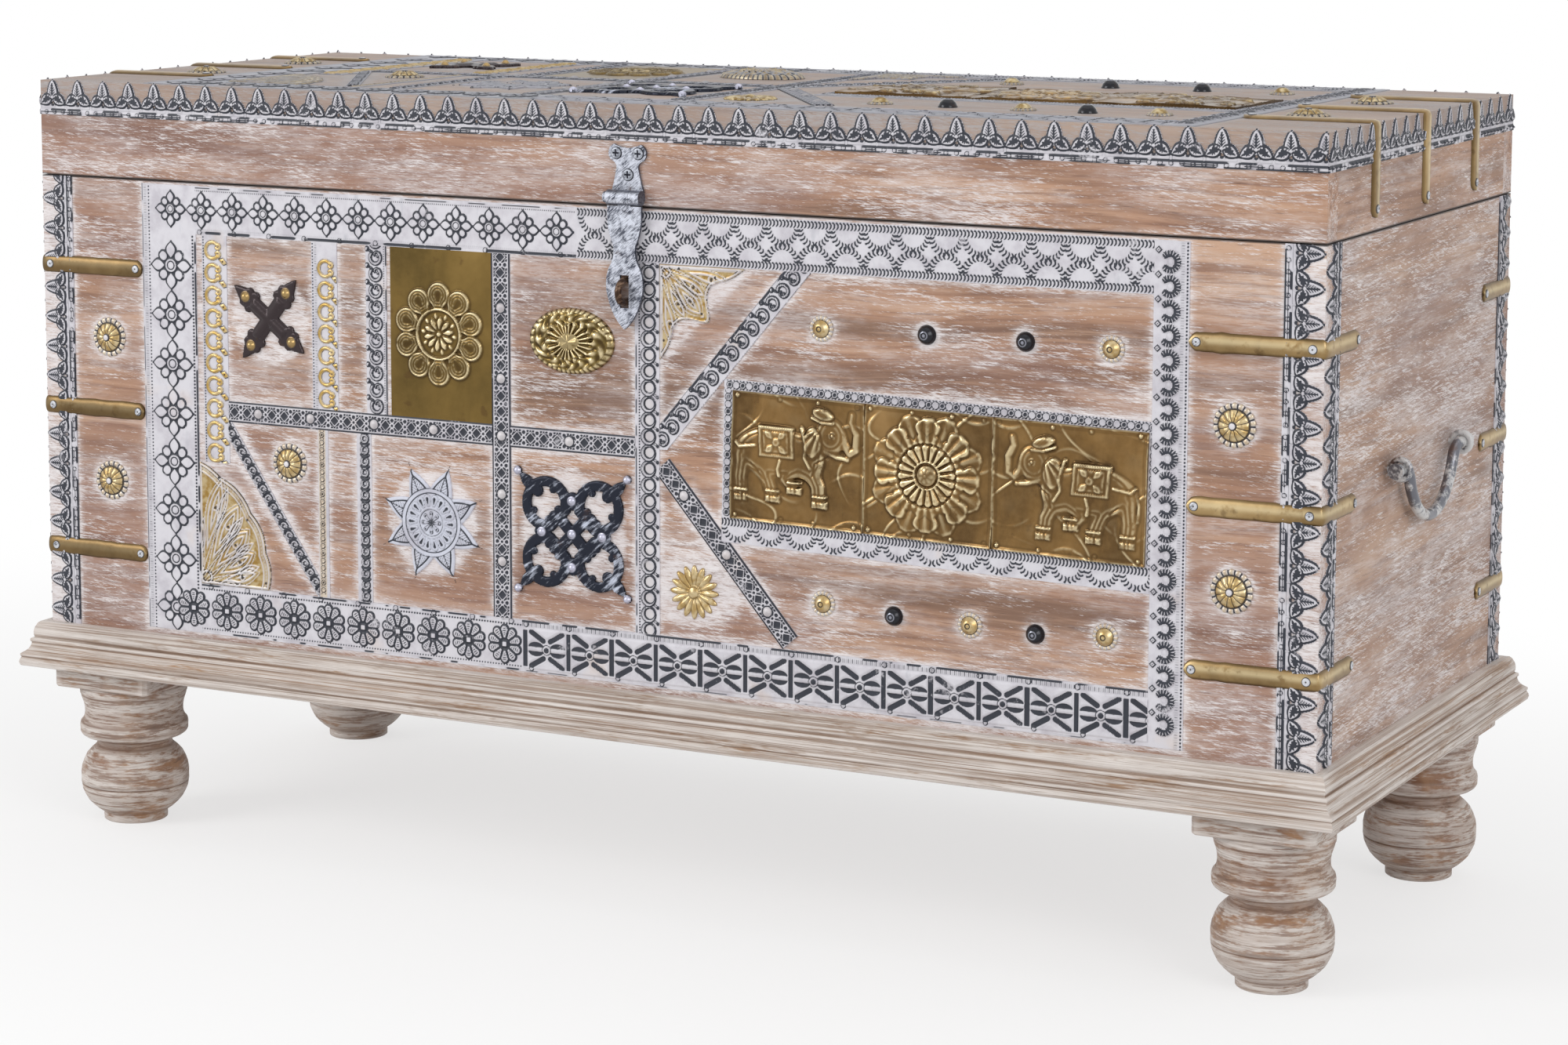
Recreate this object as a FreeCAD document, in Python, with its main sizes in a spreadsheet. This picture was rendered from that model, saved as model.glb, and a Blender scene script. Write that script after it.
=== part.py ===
import FreeCAD, Part
import math
import os

import Sketcher
from FreeCAD import Placement, Rotation, Vector

# Dowry chest: a board chest with a flat box lid on four turned feet, a mitred plinth moulding,
# sheet-metal ornament nailed on the front and the lid, iron hasp and staple, two iron bail handles
# and two butt hinges at the back.
# Frame: +X to the right, +Y to the back, +Z up, the floor at zero, the chest centred on the Z axis.

# Driving dimensions, millimetres.
SIZES = (
    # Carcass
    ("body_width", 1150),
    ("body_depth", 446),
    ("front_height", 387),
    ("board_thick", 22),
    ("floor_thick", 18),
    # Lid
    ("lid_height", 80),
    ("lid_top_thick", 22),
    ("lid_gap", 0.8),
    # Plinth moulding
    ("plinth_height", 38),
    ("plinth_reach", 21),
    # Feet
    ("foot_height", 121),
    ("foot_radius", 47),
    ("block_side", 97),
    ("block_height", 20),
    ("bolt_radius", 4),
    ("bolt_length", 62),
    ("bolt_head_radius", 8),
    ("bolt_head_height", 4),
    # Hinges
    ("hinge_length", 80),
    ("hinge_leaf_height", 40),
    ("hinge_leaf_thick", 2.5),
    ("hinge_knuckle_radius", 5),
    ("hinge_pin_radius", 2.5),
    ("hinge_spacing", 700),
    ("knuckle_gap", 0.3),
    # Screws
    ("screw_head_radius", 5),
    ("screw_head_height", 1.6),
    ("screw_radius", 2),
    ("screw_length", 16),
    # Hasp
    ("hasp_width", 30),
    ("hasp_plate_height", 42),
    ("hasp_plate_thick", 2.2),
    ("hasp_strap_length", 104),
    ("hasp_strap_width", 33),
    ("hasp_strap_thick", 2.5),
    ("hasp_knuckle_radius", 6),
    ("hasp_middle_length", 11),
    ("hasp_pin_radius", 2.5),
    ("hasp_pin_head_radius", 4.5),
    ("hasp_pin_head_length", 3),
    ("hasp_pin_height", 7),
    ("hasp_slot_width", 8),
    ("hasp_slot_height", 26),
    ("hasp_slot_drop", 74),
    # Staple
    ("staple_wire_radius", 2.75),
    ("staple_half_height", 8.5),
    ("staple_straight", 8.8),
    ("staple_root", 16),
    # Bail handles
    ("bail_span", 150),
    ("bail_drop", 46),
    ("bail_radius", 4.5),
    ("bail_bend", 16),
    ("bail_end", 13),
    ("bail_start", 7),
    ("bail_cap_radius", 6),
    ("bail_cap_length", 3.5),
    ("bail_standoff", 10.2),
    ("eye_ring_radius", 7.5),
    ("eye_wire_radius", 2.4),
    ("eye_root", 16),
    # Sheet-metal ornament
    ("sheet_thick", 1.2),
    ("strap_thick", 1.5),
    ("leaf_band", 31),
    ("lid_leaf_band", 29),
    ("frame_side_gap", 104),
    ("frame_base_gap", 5),
    ("frame_top_gap", 2.5),
    ("frame_top_band", 40.5),
    ("frame_base_band", 42.5),
    ("frame_left_band", 55),
    ("frame_right_band", 28),
    ("scroll_band", 25),
    ("ring_band", 20),
    ("thin_band", 10),
    ("narrow_ring_band", 14),
    ("centre_band", 22),
    ("studded_band", 17.4),
    ("diagonal_ring_band", 11),
    ("horseshoe_band", 18),
    ("seam_gap", 0.4),
    ("strap_height", 14),
    ("strap_front_reach", 104),
    ("strap_side_reach", 72),
    ("strap_lid_width", 17),
    ("strap_lid_drop", 70),
    ("scroll_side_gap", 6),
    ("strip_space", 28.3),
    ("plate_gap", 3.7),
    ("frieze_space", 56.8),
    ("frieze_gap", 2.7),
    ("frieze_width", 348),
    ("frieze_height", 101),
    ("frieze_edge", 8),
    ("frieze_scallop", 20),
    ("flower_plate_width", 96),
    ("flower_radius", 42.7),
    ("flower_relief", 3),
    ("cross_arm", 44),
    ("cross_thick", 4),
    ("boss_length", 78),
    ("boss_height", 53),
    ("boss_relief", 9),
    ("star_radius", 47.5),
    ("star_relief", 2.4),
    ("arabesque_width", 110),
    ("arabesque_thick", 3),
    ("triangle_leg", 79),
    ("fan_width", 69),
    ("fan_height", 105),
    ("corner_relief", 2),
    ("gold_stud_radius", 10.5),
    ("gold_stud_height", 7),
    ("black_stud_radius", 7.7),
    ("black_stud_height", 8),
    ("rosette_radius", 17),
    ("rosette_height", 6.5),
    ("sunburst_radius", 21.7),
    ("sunburst_height", 4.5),
    # Shop values
    ("seat_gap", 0.3),
    ("overrun", 5),
)

# Outlines and places, as shares of the sizes that they follow.
PLINTH_PROFILE_SHARES = (
    ("start", 0, 0), ("line", 0.95, 0), ("line", 1, 0.09), ("line", 0.92, 0.2),
    ("line", 0.96, 0.28), ("arc", 0.7, 0.37, 0.62, 0.52), ("line", 0.66, 0.6),
    ("line", 0.52, 0.64), ("arc", 0.53, 0.8, 0.46, 0.92), ("line", 0.36, 1), ("line", 0, 1),
)
FOOT_PROFILE_SHARES = (
    ("start", 0, 0), ("line", 0.58, 0), ("line", 0.58, 0.065), ("line", 0.63, 0.069),
    ("arc", 0.868, 0.152, 0.984, 0.262), ("line", 0.965, 0.27), ("line", 0.988, 0.278),
    ("arc", 0.915, 0.43, 0.69, 0.545), ("arc", 0.67, 0.572, 0.73, 0.6), ("line", 0.9, 0.608),
    ("arc", 0.99, 0.672, 0.93, 0.742), ("line", 0.89, 0.762), ("line", 0.92, 0.785),
    ("arc", 0.985, 0.86, 0.99, 0.93), ("line", 0.99, 1), ("line", 0, 1),
)
HASP_PLATE_SHARES = (
    ("start", 0.48, 0), ("line", 0.48, 0.1), ("arc", 0.4, 0.3, 0.34, 0.5),
    ("arc", 0.35, 0.62, 0.47, 0.68), ("arc", 0.56, 0.85, 0.4, 0.99), ("arc", 0.2, 0.94, 0, 0.92),
)
HASP_STRAP_SHARES = (
    ("start", 0.46, 0), ("line", 0.46, 0.05), ("arc", 0.42, 0.2, 0.3, 0.32),
    ("arc", 0.31, 0.42, 0.42, 0.5), ("arc", 0.5, 0.62, 0.44, 0.76), ("arc", 0.26, 0.9, 0.06, 0.985),
    ("line", 0, 1),
)
HASP_SCREW_SHARES = ((-0.33, 0.82), (0.33, 0.82), (0.02, 0.42))
HINGE_SCREW_SHARES = (-0.34, 0, 0.34)
HINGE_SCREW_HEIGHT_SHARE = 0.6
SCREW_CROWN_SHARE = 0.6
EYE_HEIGHT_SHARE = 0.525
STRAP_SHARES = (0.174, 0.49, 0.805)
LID_STRAP_SHARES = (0.232, 0.498, 0.773)
ROSETTE_SHARES = (0.2731, 0.6882)
# The room for the ornament is what its pieces take, times these.
LEFT_ROOM_SHARE = 1.4366
HEIGHT_ROOM_SHARE = 1.499
MIDDLE_BAND_SHARE = 0.5029
SCROLL_FOOT_SHARE = 0.3541
CROSS_HEIGHT_SHARE = 0.7743
BOSS_HEIGHT_SHARE = 0.7756
STAR_HEIGHT_SHARE = 0.2431
ARABESQUE_HEIGHT_SHARE = 0.2509
# Across the field left of the centre strip, and up.
FLORAL_END_SHARE = 0.8738
DAISY_END_SHARE = 0.7497
STUDDED_SHARE = 0.707
THIN_SHARE = 0.2966
NARROW_RING_SHARE = 0.3927
RING_DIAGONAL_SHARES = ((0.0621, 0.4781), (0.2918, 0.0095))
SMALL_ROSETTE_SHARES = (0.2176, 0.371)
# Across the field right of the centre strip, and up.
HORSESHOE_DIAGONAL_SHARES = ((0.0159, 0.5485), (0.2792, 0.978))
STUDDED_DIAGONAL_SHARES = ((0.0534, 0.3847), (0.2323, 0.0961))
SUNBURST_SHARES = (0.0751, 0.1269)
# Across the frieze and up in the field.
FRIEZE_HEIGHT_SHARE = 0.4958
FRIEZE_SEAM_SHARES = (0, 0.331, 0.642, 1)
GOLD_STUD_SHARES = (
    (0.2237, 0.8566), (0.9144, 0.8566), (0.2303, 0.1335), (0.5889, 0.1178), (0.9078, 0.1256),
)
BLACK_STUD_SHARES = ((0.4798, 0.8592), (0.7138, 0.8592), (0.4042, 0.12), (0.7442, 0.1126))
FRIEZE_TILT = -1.2
STAR_POINTS = 8
FLOWER_PETALS = 10
ROSETTE_PETALS = 12
SUNBURST_PETALS = 16
PETAL_DEPTH_SHARE = 0.14
STAR_WAIST_SHARE = 0.72
LOBE_REACH_SHARE = 0.6
LOBE_RADIUS_SHARE = 0.42
LOBE_HOLE_SHARE = 0.23
ARM_START_SHARE = 0.88
ARM_LENGTH_SHARE = 0.45
ARM_WIDTH_SHARE = 0.13
HUB_SHARE = 0.2
CROSS_ARM_SHARES = (
    (0, 0.17), (0.5, 0.17), (0.62, 0.3), (0.8, 0.2), (1, 0),
)
TRIANGLE_EDGE_SHARES = ((1, 0), (0.78, 0.3), (0.5, 0.36), (0.42, 0.6), (0.22, 0.72), (0, 1))
FAN_EDGE_SHARES = ((1, 0), (0.97, 0.3), (0.8, 0.55), (0.66, 0.74), (0.42, 0.9), (0, 1))

doc = FreeCAD.newDocument("dowry_chest")
sheet = doc.addObject("Spreadsheet::Sheet", "dims")


class Size:
    """A length that knows its value and the expression that it comes from."""

    def __init__(self, value, text):
        self.value = value
        self.text = text

    def __float__(self):
        return self.value

    def __add__(self, other):
        return joined(self, "+", other, self.value + float(other))

    def __radd__(self, other):
        return joined(other, "+", self, float(other) + self.value)

    def __sub__(self, other):
        return joined(self, "-", other, self.value - float(other))

    def __mul__(self, other):
        return joined(self, "*", other, self.value * float(other))

    def __rmul__(self, other):
        return joined(other, "*", self, float(other) * self.value)

    def __truediv__(self, other):
        return joined(self, "/", other, self.value / float(other))

    def __neg__(self):
        return Size(-self.value, "(-%s)" % self.text)


def joined(left, sign, right, value):
    texts = [side.text if isinstance(side, Size) else repr(side) for side in (left, right)]
    return Size(value, "(%s %s %s)" % (texts[0], sign, texts[1]))


class Dims:
    """One attribute for each row of the sheet."""


d = Dims()
for row, (alias, value) in enumerate(SIZES, start=1):
    sheet.set("A%d" % row, alias)
    sheet.set("B%d" % row, str(value))
    sheet.setAlias("B%d" % row, alias)
doc.recompute()
for alias, value in SIZES:
    setattr(d, alias, Size(float(sheet.get(alias)), "dims." + alias))

# Levels and planes that several pieces share.
base_z = d.foot_height + d.block_height
face_z = base_z + d.plinth_height
rim_z = face_z + d.front_height
lid_z = rim_z + d.lid_gap
lid_panel_z = lid_z + d.lid_height - d.lid_top_thick
lid_top_z = lid_z + d.lid_height
half_width = d.body_width / 2
half_depth = d.body_depth / 2
hasp_axis_y = -half_depth - d.hasp_knuckle_radius - d.seat_gap
hasp_axis_z = lid_z + d.hasp_pin_height
staple_z = hasp_axis_z - d.hasp_slot_drop
hinge_axis_y = half_depth + d.hinge_knuckle_radius + d.seat_gap
hinge_axis_z = rim_z + d.lid_gap / 2
eye_z = face_z + d.front_height * EYE_HEIGHT_SHARE

parts = []


# Helpers

def vec(x, y, z):
    return Vector(float(x), float(y), float(z))


def bind(thing, prop, size):
    if isinstance(size, Size):
        thing.setExpression(prop, size.text)


def place(thing, base, rotation=Rotation()):
    """Puts a piece at a base that the sheet drives, with a fixed rotation."""
    thing.Placement = Placement(vec(*base), rotation)
    for axis, size in zip("xyz", base):
        bind(thing, "Placement.Base." + axis, size)


def keep(thing, label):
    thing.Label = label
    parts.append(thing)
    return thing


def box(label, lengths, base):
    blank = doc.addObject("Part::Box", label)
    for prop, size in zip(("Length", "Width", "Height"), lengths):
        setattr(blank, prop, float(size))
        bind(blank, prop, size)
    place(blank, base)
    blank.Label = label
    return blank


def cut(label, blank, tool):
    result = doc.addObject("Part::Cut", label)
    result.Base = blank
    result.Tool = tool
    return keep(result, label)


def feature(label, shape, placement=Placement()):
    """A piece whose shape is made here from the sheet's values."""
    piece = doc.addObject("Part::Feature", label)
    piece.Shape = shape
    piece.Placement = placement
    piece.Label = label
    return piece


def group(label, solids, placement=Placement()):
    return keep(feature(label, Part.makeCompound(solids), placement), label)


def body(label):
    piece = doc.addObject("PartDesign::Body", label)
    return keep(piece, label)


def sketch(piece, role, name, offset=0):
    """A sketch on one of the body's own origin planes, moved along the plane's normal."""
    drawing = piece.newObject("Sketcher::SketchObject", name)
    plane = [item for item in piece.Origin.OriginFeatures if item.Role == role][0]
    drawing.AttachmentSupport = [(plane, "")]
    drawing.MapMode = "FlatFace"
    drawing.AttachmentOffset = Placement(vec(0, 0, offset), Rotation())
    bind(drawing, "AttachmentOffset.Base.z", offset)
    return drawing


def pin_point(drawing, geometry, position, x, y):
    """Ties a sketch point to the origin by two driven distances."""
    for kind, size, axis in (("DistanceX", x, -2), ("DistanceY", y, -1)):
        if float(size) == 0:
            drawing.addConstraint(Sketcher.Constraint("PointOnObject", geometry, position, axis))
            continue
        index = drawing.addConstraint(
            Sketcher.Constraint(kind, -1, 1, geometry, position, float(size)))
        bind(drawing, "Constraints[%d]" % index, size)


def outline(drawing, steps):
    """A closed outline of lines and arcs; an arc step holds a point on it and its end."""
    start = steps[0][1:]
    here = start
    count = len(steps)
    drawn = []
    for number, step in enumerate(steps[1:] + (("line",) + start,)):
        there = step[-2:]
        last = number == count - 1
        if last and float(here[0]) == float(start[0]) and float(here[1]) == float(start[1]):
            break
        a = vec(here[0], here[1], 0)
        b = vec(there[0], there[1], 0)
        if step[0] == "line":
            index = drawing.addGeometry(Part.LineSegment(a, b), False)
            drawn.append((index, 1, 2))
        else:
            middle = vec(step[1], step[2], 0)
            forward = (middle - a).cross(b - middle).z > 0
            arc = Part.Arc(a, middle, b) if forward else Part.Arc(b, middle, a)
            index = drawing.addGeometry(arc, False)
            drawn.append((index, 1, 2) if forward else (index, 2, 1))
            through = drawing.addGeometry(Part.Point(middle), True)
            drawing.addConstraint(Sketcher.Constraint("PointOnObject", through, 1, index))
            pin_point(drawing, through, 1, step[1], step[2])
        pin_point(drawing, drawn[-1][0], drawn[-1][1], here[0], here[1])
        here = there
    for (index, _, end), (after, begin, _) in zip(drawn, drawn[1:] + drawn[:1]):
        drawing.addConstraint(Sketcher.Constraint("Coincident", index, end, after, begin))


def scaled(shares, width, height):
    """The steps of an outline from its shares and the two sizes that it follows."""
    steps = []
    for kind, *places in shares:
        sizes = [share * (height if number % 2 else width) if share else 0
                 for number, share in enumerate(places)]
        steps.append((kind, *sizes))
    return tuple(steps)


def mirrored(steps):
    """A closed outline from its right half, which ends on the axis or opposite its start."""
    right = list(steps)
    left = []
    here = right[0][1:]
    for step in right[1:]:
        if step[0] == "line":
            left.append(("line", -here[0], here[1]))
        else:
            left.append(("arc", -step[1] if isinstance(step[1], Size) else 0, step[2],
                         -here[0], here[1]))
        here = step[-2:]
    return tuple(right + left[::-1])


def circle(drawing, x, y, radius):
    index = drawing.addGeometry(Part.Circle(vec(x, y, 0), Vector(0, 0, 1), float(radius)), False)
    pin_point(drawing, index, 3, x, y)
    bound = drawing.addConstraint(Sketcher.Constraint("Radius", index, float(radius)))
    bind(drawing, "Constraints[%d]" % bound, radius)


def rectangle(drawing, left, low, right, high):
    outline(drawing, (("start", left, low), ("line", right, low), ("line", right, high),
                      ("line", left, high)))


def pad(piece, drawing, length, midplane=False, reverse=False):
    solid = piece.newObject("PartDesign::Pad", drawing.Name + "_pad")
    solid.Profile = drawing
    solid.Length = float(length)
    bind(solid, "Length", length)
    solid.Midplane = midplane
    solid.Reversed = reverse
    return solid


def pocket(piece, drawing, length=None, midplane=False, reverse=False):
    """A cut that has to take material away."""
    doc.recompute()
    before = piece.Shape.Volume
    hole = piece.newObject("PartDesign::Pocket", drawing.Name + "_pocket")
    hole.Profile = drawing
    if length is None:
        hole.Type = 1
    else:
        hole.Length = float(length)
        bind(hole, "Length", length)
    hole.Midplane = midplane
    hole.Reversed = reverse
    doc.recompute()
    if not piece.Shape.Volume < before:
        raise RuntimeError("the cut %s removes nothing" % hole.Name)
    return hole


def pipe(piece, path, profile):
    bar = piece.newObject("PartDesign::AdditivePipe", path.Name + "_pipe")
    bar.Profile = profile
    bar.Spine = (path, ["Edge%d" % (number + 1) for number in range(len(path.Geometry))])
    return bar


def rod(radius, length, base, direction):
    return Part.makeCylinder(float(radius), float(length), vec(*base), direction)


def screw(base, direction):
    """A countersunk-look wood screw whose head stands on the metal that it holds."""
    inward = direction.negative()
    shank = rod(d.screw_radius, d.screw_length, base, inward)
    head = Part.makeCone(float(d.screw_head_radius), float(d.screw_head_radius * SCREW_CROWN_SHARE),
                         float(d.screw_head_height), vec(*base), direction)
    return head.fuse(shank)


def screw_hole(base, direction):
    start = vec(*base) + direction * float(d.overrun)
    length = d.screw_length + d.overrun
    return Part.makeCylinder(float(d.screw_radius), float(length), start, direction.negative())


# Carcass boards

staple_holes = feature("staple_holes", Part.makeCompound([
    rod(d.staple_wire_radius, d.staple_root + d.overrun,
        (0, -half_depth - d.overrun, staple_z + side * d.staple_half_height), Vector(0, 1, 0))
    for side in (-1, 1)]))
front_blank = box("front_panel_blank", (d.body_width, d.board_thick, rim_z - base_z),
                  (-half_width, -half_depth, base_z))
cut("front_panel", front_blank, staple_holes)

hinge_centres = (-d.hinge_spacing / 2, d.hinge_spacing / 2)
back_face = half_depth + d.hinge_leaf_thick
hinge_body_places = [(centre + d.hinge_length * share, back_face,
                      hinge_axis_z - d.hinge_leaf_height * HINGE_SCREW_HEIGHT_SHARE)
                     for centre in hinge_centres for share in HINGE_SCREW_SHARES]
hinge_lid_places = [(centre + d.hinge_length * share, back_face,
                     hinge_axis_z + d.hinge_leaf_height * HINGE_SCREW_HEIGHT_SHARE)
                    for centre in hinge_centres for share in HINGE_SCREW_SHARES]
BACKWARD = Vector(0, 1, 0)
body_screw_holes = feature("body_screw_holes", Part.makeCompound(
    [screw_hole(spot, BACKWARD) for spot in hinge_body_places]))
back_blank = box("back_panel_blank", (d.body_width, d.board_thick, rim_z - base_z),
                 (-half_width, half_depth - d.board_thick, base_z))
cut("back_panel", back_blank, body_screw_holes)


def side_board(label, side):
    """A side board between the front and the back, with the two holes of the bail's eyes."""
    eye_holes = feature(label + "_holes", Part.makeCompound([
        rod(d.eye_wire_radius, d.eye_root + d.overrun,
            (side * (half_width + d.overrun), end * d.bail_span / 2, eye_z), Vector(-side, 0, 0))
        for end in (-1, 1)]))
    left_edge = -half_width if side < 0 else half_width - d.board_thick
    blank = box(label + "_blank",
                (d.board_thick, d.body_depth - 2 * d.board_thick, rim_z - base_z),
                (left_edge, d.board_thick - half_depth, base_z))
    cut(label, blank, eye_holes)


side_board("left_side_panel", -1)
side_board("right_side_panel", 1)

CORNERS = (("front_left", -1, -1), ("front_right", 1, -1), ("back_left", -1, 1), ("back_right", 1, 1))
foot_offset_x = half_width - d.block_side / 2
foot_offset_y = half_depth - d.block_side / 2
bolt_holes = feature("bolt_holes", Part.makeCompound([
    rod(d.bolt_radius, d.floor_thick + 2 * d.overrun,
        (x * foot_offset_x, y * foot_offset_y, base_z - d.overrun), Vector(0, 0, 1))
    for _, x, y in CORNERS]))
floor_blank = box("floor_panel_blank",
                  (d.body_width - 2 * d.board_thick, d.body_depth - 2 * d.board_thick, d.floor_thick),
                  (d.board_thick - half_width, d.board_thick - half_depth, base_z))
cut("floor_panel", floor_blank, bolt_holes)


# Plinth moulding: four mitred lengths planted on the boards

def moulding(label, run, base, turn):
    """A length of moulding with its back on the board and its ends mitred at the corners."""
    piece = body(label)
    profile = sketch(piece, "YZ_Plane", label + "_profile")
    steps = scaled(PLINTH_PROFILE_SHARES, -d.plinth_reach, d.plinth_height)
    outline(profile, steps)
    pad(piece, profile, run + 2 * d.plinth_reach, midplane=True)
    mitre = sketch(piece, "XY_Plane", label + "_mitre")
    tip = d.plinth_reach + d.overrun
    for side in (-1, 1):
        root_x = side * (run / 2 - d.overrun)
        tip_x = side * (run / 2 + tip)
        outline(mitre, (("start", root_x, d.overrun), ("line", tip_x, -tip),
                        ("line", tip_x, d.overrun)))
    pocket(piece, mitre, reverse=True)
    place(piece, base, Rotation(Vector(0, 0, 1), turn))


moulding("base_moulding_front", d.body_width, (0, -half_depth, base_z), 0)
moulding("base_moulding_back", d.body_width, (0, half_depth, base_z), 180)
moulding("base_moulding_left", d.body_depth, (-half_width, 0, base_z), -90)
moulding("base_moulding_right", d.body_depth, (half_width, 0, base_z), 90)


# Feet: a square block under the boards and a turned bun foot in one piece

def foot(label, x, y):
    piece = body(label)
    turned = sketch(piece, "XZ_Plane", label + "_turning")
    outline(turned, scaled(FOOT_PROFILE_SHARES, d.foot_radius, d.foot_height))
    turning = piece.newObject("PartDesign::Revolution", label + "_turned")
    turning.Profile = turned
    turning.ReferenceAxis = (turned, ["V_Axis"])
    block = sketch(piece, "XY_Plane", label + "_block", d.foot_height)
    half = d.block_side / 2
    rectangle(block, -half, -half, half, half)
    pad(piece, block, d.block_height)
    bore = sketch(piece, "XY_Plane", label + "_bore", base_z)
    circle(bore, 0, 0, d.bolt_radius)
    pocket(piece, bore, d.bolt_length - d.floor_thick)
    place(piece, (x * foot_offset_x, y * foot_offset_y, 0))


for corner, x, y in CORNERS:
    foot("foot_" + corner, x, y)

bolt_top = base_z + d.floor_thick
group("foot_bolts", [
    rod(d.bolt_radius, d.bolt_length, (x * foot_offset_x, y * foot_offset_y, bolt_top),
        Vector(0, 0, -1)).fuse(
            rod(d.bolt_head_radius, d.bolt_head_height,
                (x * foot_offset_x, y * foot_offset_y, bolt_top), Vector(0, 0, 1)))
    for _, x, y in CORNERS])


# Lid: a flat panel on a frame of four rails

keep(box("lid_top_panel", (d.body_width, d.body_depth, d.lid_top_thick),
         (-half_width, -half_depth, lid_panel_z)), "lid_top_panel")
rail_height = lid_panel_z - lid_z
FORWARD = Vector(0, -1, 0)
plate_front = -half_depth - d.hasp_plate_thick
hasp_screw_places = [(d.hasp_width * x, plate_front, hasp_axis_z + d.hasp_plate_height * z)
                     for x, z in HASP_SCREW_SHARES]
hasp_screw_holes = feature("hasp_screw_holes", Part.makeCompound(
    [screw_hole(spot, FORWARD) for spot in hasp_screw_places]))
lid_screw_holes = feature("lid_screw_holes", Part.makeCompound(
    [screw_hole(spot, BACKWARD) for spot in hinge_lid_places]))
cut("lid_front_rail", box("lid_front_rail_blank", (d.body_width, d.board_thick, rail_height),
                          (-half_width, -half_depth, lid_z)), hasp_screw_holes)
cut("lid_back_rail", box("lid_back_rail_blank", (d.body_width, d.board_thick, rail_height),
                         (-half_width, half_depth - d.board_thick, lid_z)), lid_screw_holes)
for label, left_edge in (("lid_left_rail", -half_width),
                         ("lid_right_rail", half_width - d.board_thick)):
    keep(box(label, (d.board_thick, d.body_depth - 2 * d.board_thick, rail_height),
             (left_edge, d.board_thick - half_depth, lid_z)), label)


# Butt hinges: three knuckles, the outer two on the body's leaf and the middle one on the lid's

def hinge_leaf(centre, upward):
    """A leaf with its knuckles, notched clear of the other leaf's knuckles."""
    third = d.hinge_length / 3
    low = hinge_axis_z if upward else hinge_axis_z - d.hinge_leaf_height
    plate = Part.makeBox(float(d.hinge_length), float(d.hinge_leaf_thick), float(d.hinge_leaf_height),
                         vec(centre - d.hinge_length / 2, half_depth, low))
    own, other = [], []
    for number in (-1, 0, 1):
        middle = number == 0
        (own if middle == upward else other).append(number)
    along = Vector(1, 0, 0)
    for number in other:
        start = centre + third * number - third / 2 - d.knuckle_gap
        plate = plate.cut(rod(d.hinge_knuckle_radius + d.knuckle_gap, third + 2 * d.knuckle_gap,
                              (start, hinge_axis_y, hinge_axis_z), along))
    for number in own:
        start = centre + third * number - third / 2
        plate = plate.fuse(rod(d.hinge_knuckle_radius, third, (start, hinge_axis_y, hinge_axis_z), along))
    clearance = d.knuckle_gap if upward else 0
    bore = rod(d.hinge_pin_radius + clearance, d.hinge_length + 2 * d.overrun,
               (centre - d.hinge_length / 2 - d.overrun, hinge_axis_y, hinge_axis_z), along)
    return plate.cut(bore).removeSplitter()


group("hinge_body_leaves",
      [hinge_leaf(centre, False).cut(body_screw_holes.Shape) for centre in hinge_centres])
group("hinge_lid_leaves",
      [hinge_leaf(centre, True).cut(lid_screw_holes.Shape) for centre in hinge_centres])
group("hinge_pins", [
    rod(d.hinge_pin_radius, d.hinge_length, (centre - d.hinge_length / 2, hinge_axis_y, hinge_axis_z),
        Vector(1, 0, 0)) for centre in hinge_centres])
group("hinge_body_screws", [screw(spot, BACKWARD) for spot in hinge_body_places])
group("hinge_lid_screws", [screw(spot, BACKWARD) for spot in hinge_lid_places])


# Hasp: a plate on the lid, a strap that swings on the pin, and the staple on the body

plate = body("hasp_plate")
plate_outline = sketch(plate, "XZ_Plane", "hasp_plate_outline",
                       -d.hasp_knuckle_radius - d.seat_gap)
outline(plate_outline, mirrored(scaled(HASP_PLATE_SHARES, d.hasp_width, d.hasp_plate_height)))
pad(plate, plate_outline, d.hasp_plate_thick)
plate_barrel = sketch(plate, "YZ_Plane", "hasp_plate_barrel")
circle(plate_barrel, 0, 0, d.hasp_knuckle_radius)
pad(plate, plate_barrel, d.hasp_width, midplane=True)
plate_notch = sketch(plate, "YZ_Plane", "hasp_plate_notch")
circle(plate_notch, 0, 0, d.hasp_knuckle_radius + d.seat_gap)
pocket(plate, plate_notch, d.hasp_middle_length + 2 * d.knuckle_gap, midplane=True)
plate_bore = sketch(plate, "YZ_Plane", "hasp_plate_bore")
circle(plate_bore, 0, 0, d.hasp_pin_radius)
pocket(plate, plate_bore, d.hasp_width + 2 * d.overrun, midplane=True)
plate_screws = sketch(plate, "XZ_Plane", "hasp_plate_screws")
for x, z in HASP_SCREW_SHARES:
    circle(plate_screws, d.hasp_width * x, d.hasp_plate_height * z, d.screw_radius)
pocket(plate, plate_screws, 2 * (d.hasp_knuckle_radius + d.overrun), midplane=True)
place(plate, (0, hasp_axis_y, hasp_axis_z))

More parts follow.
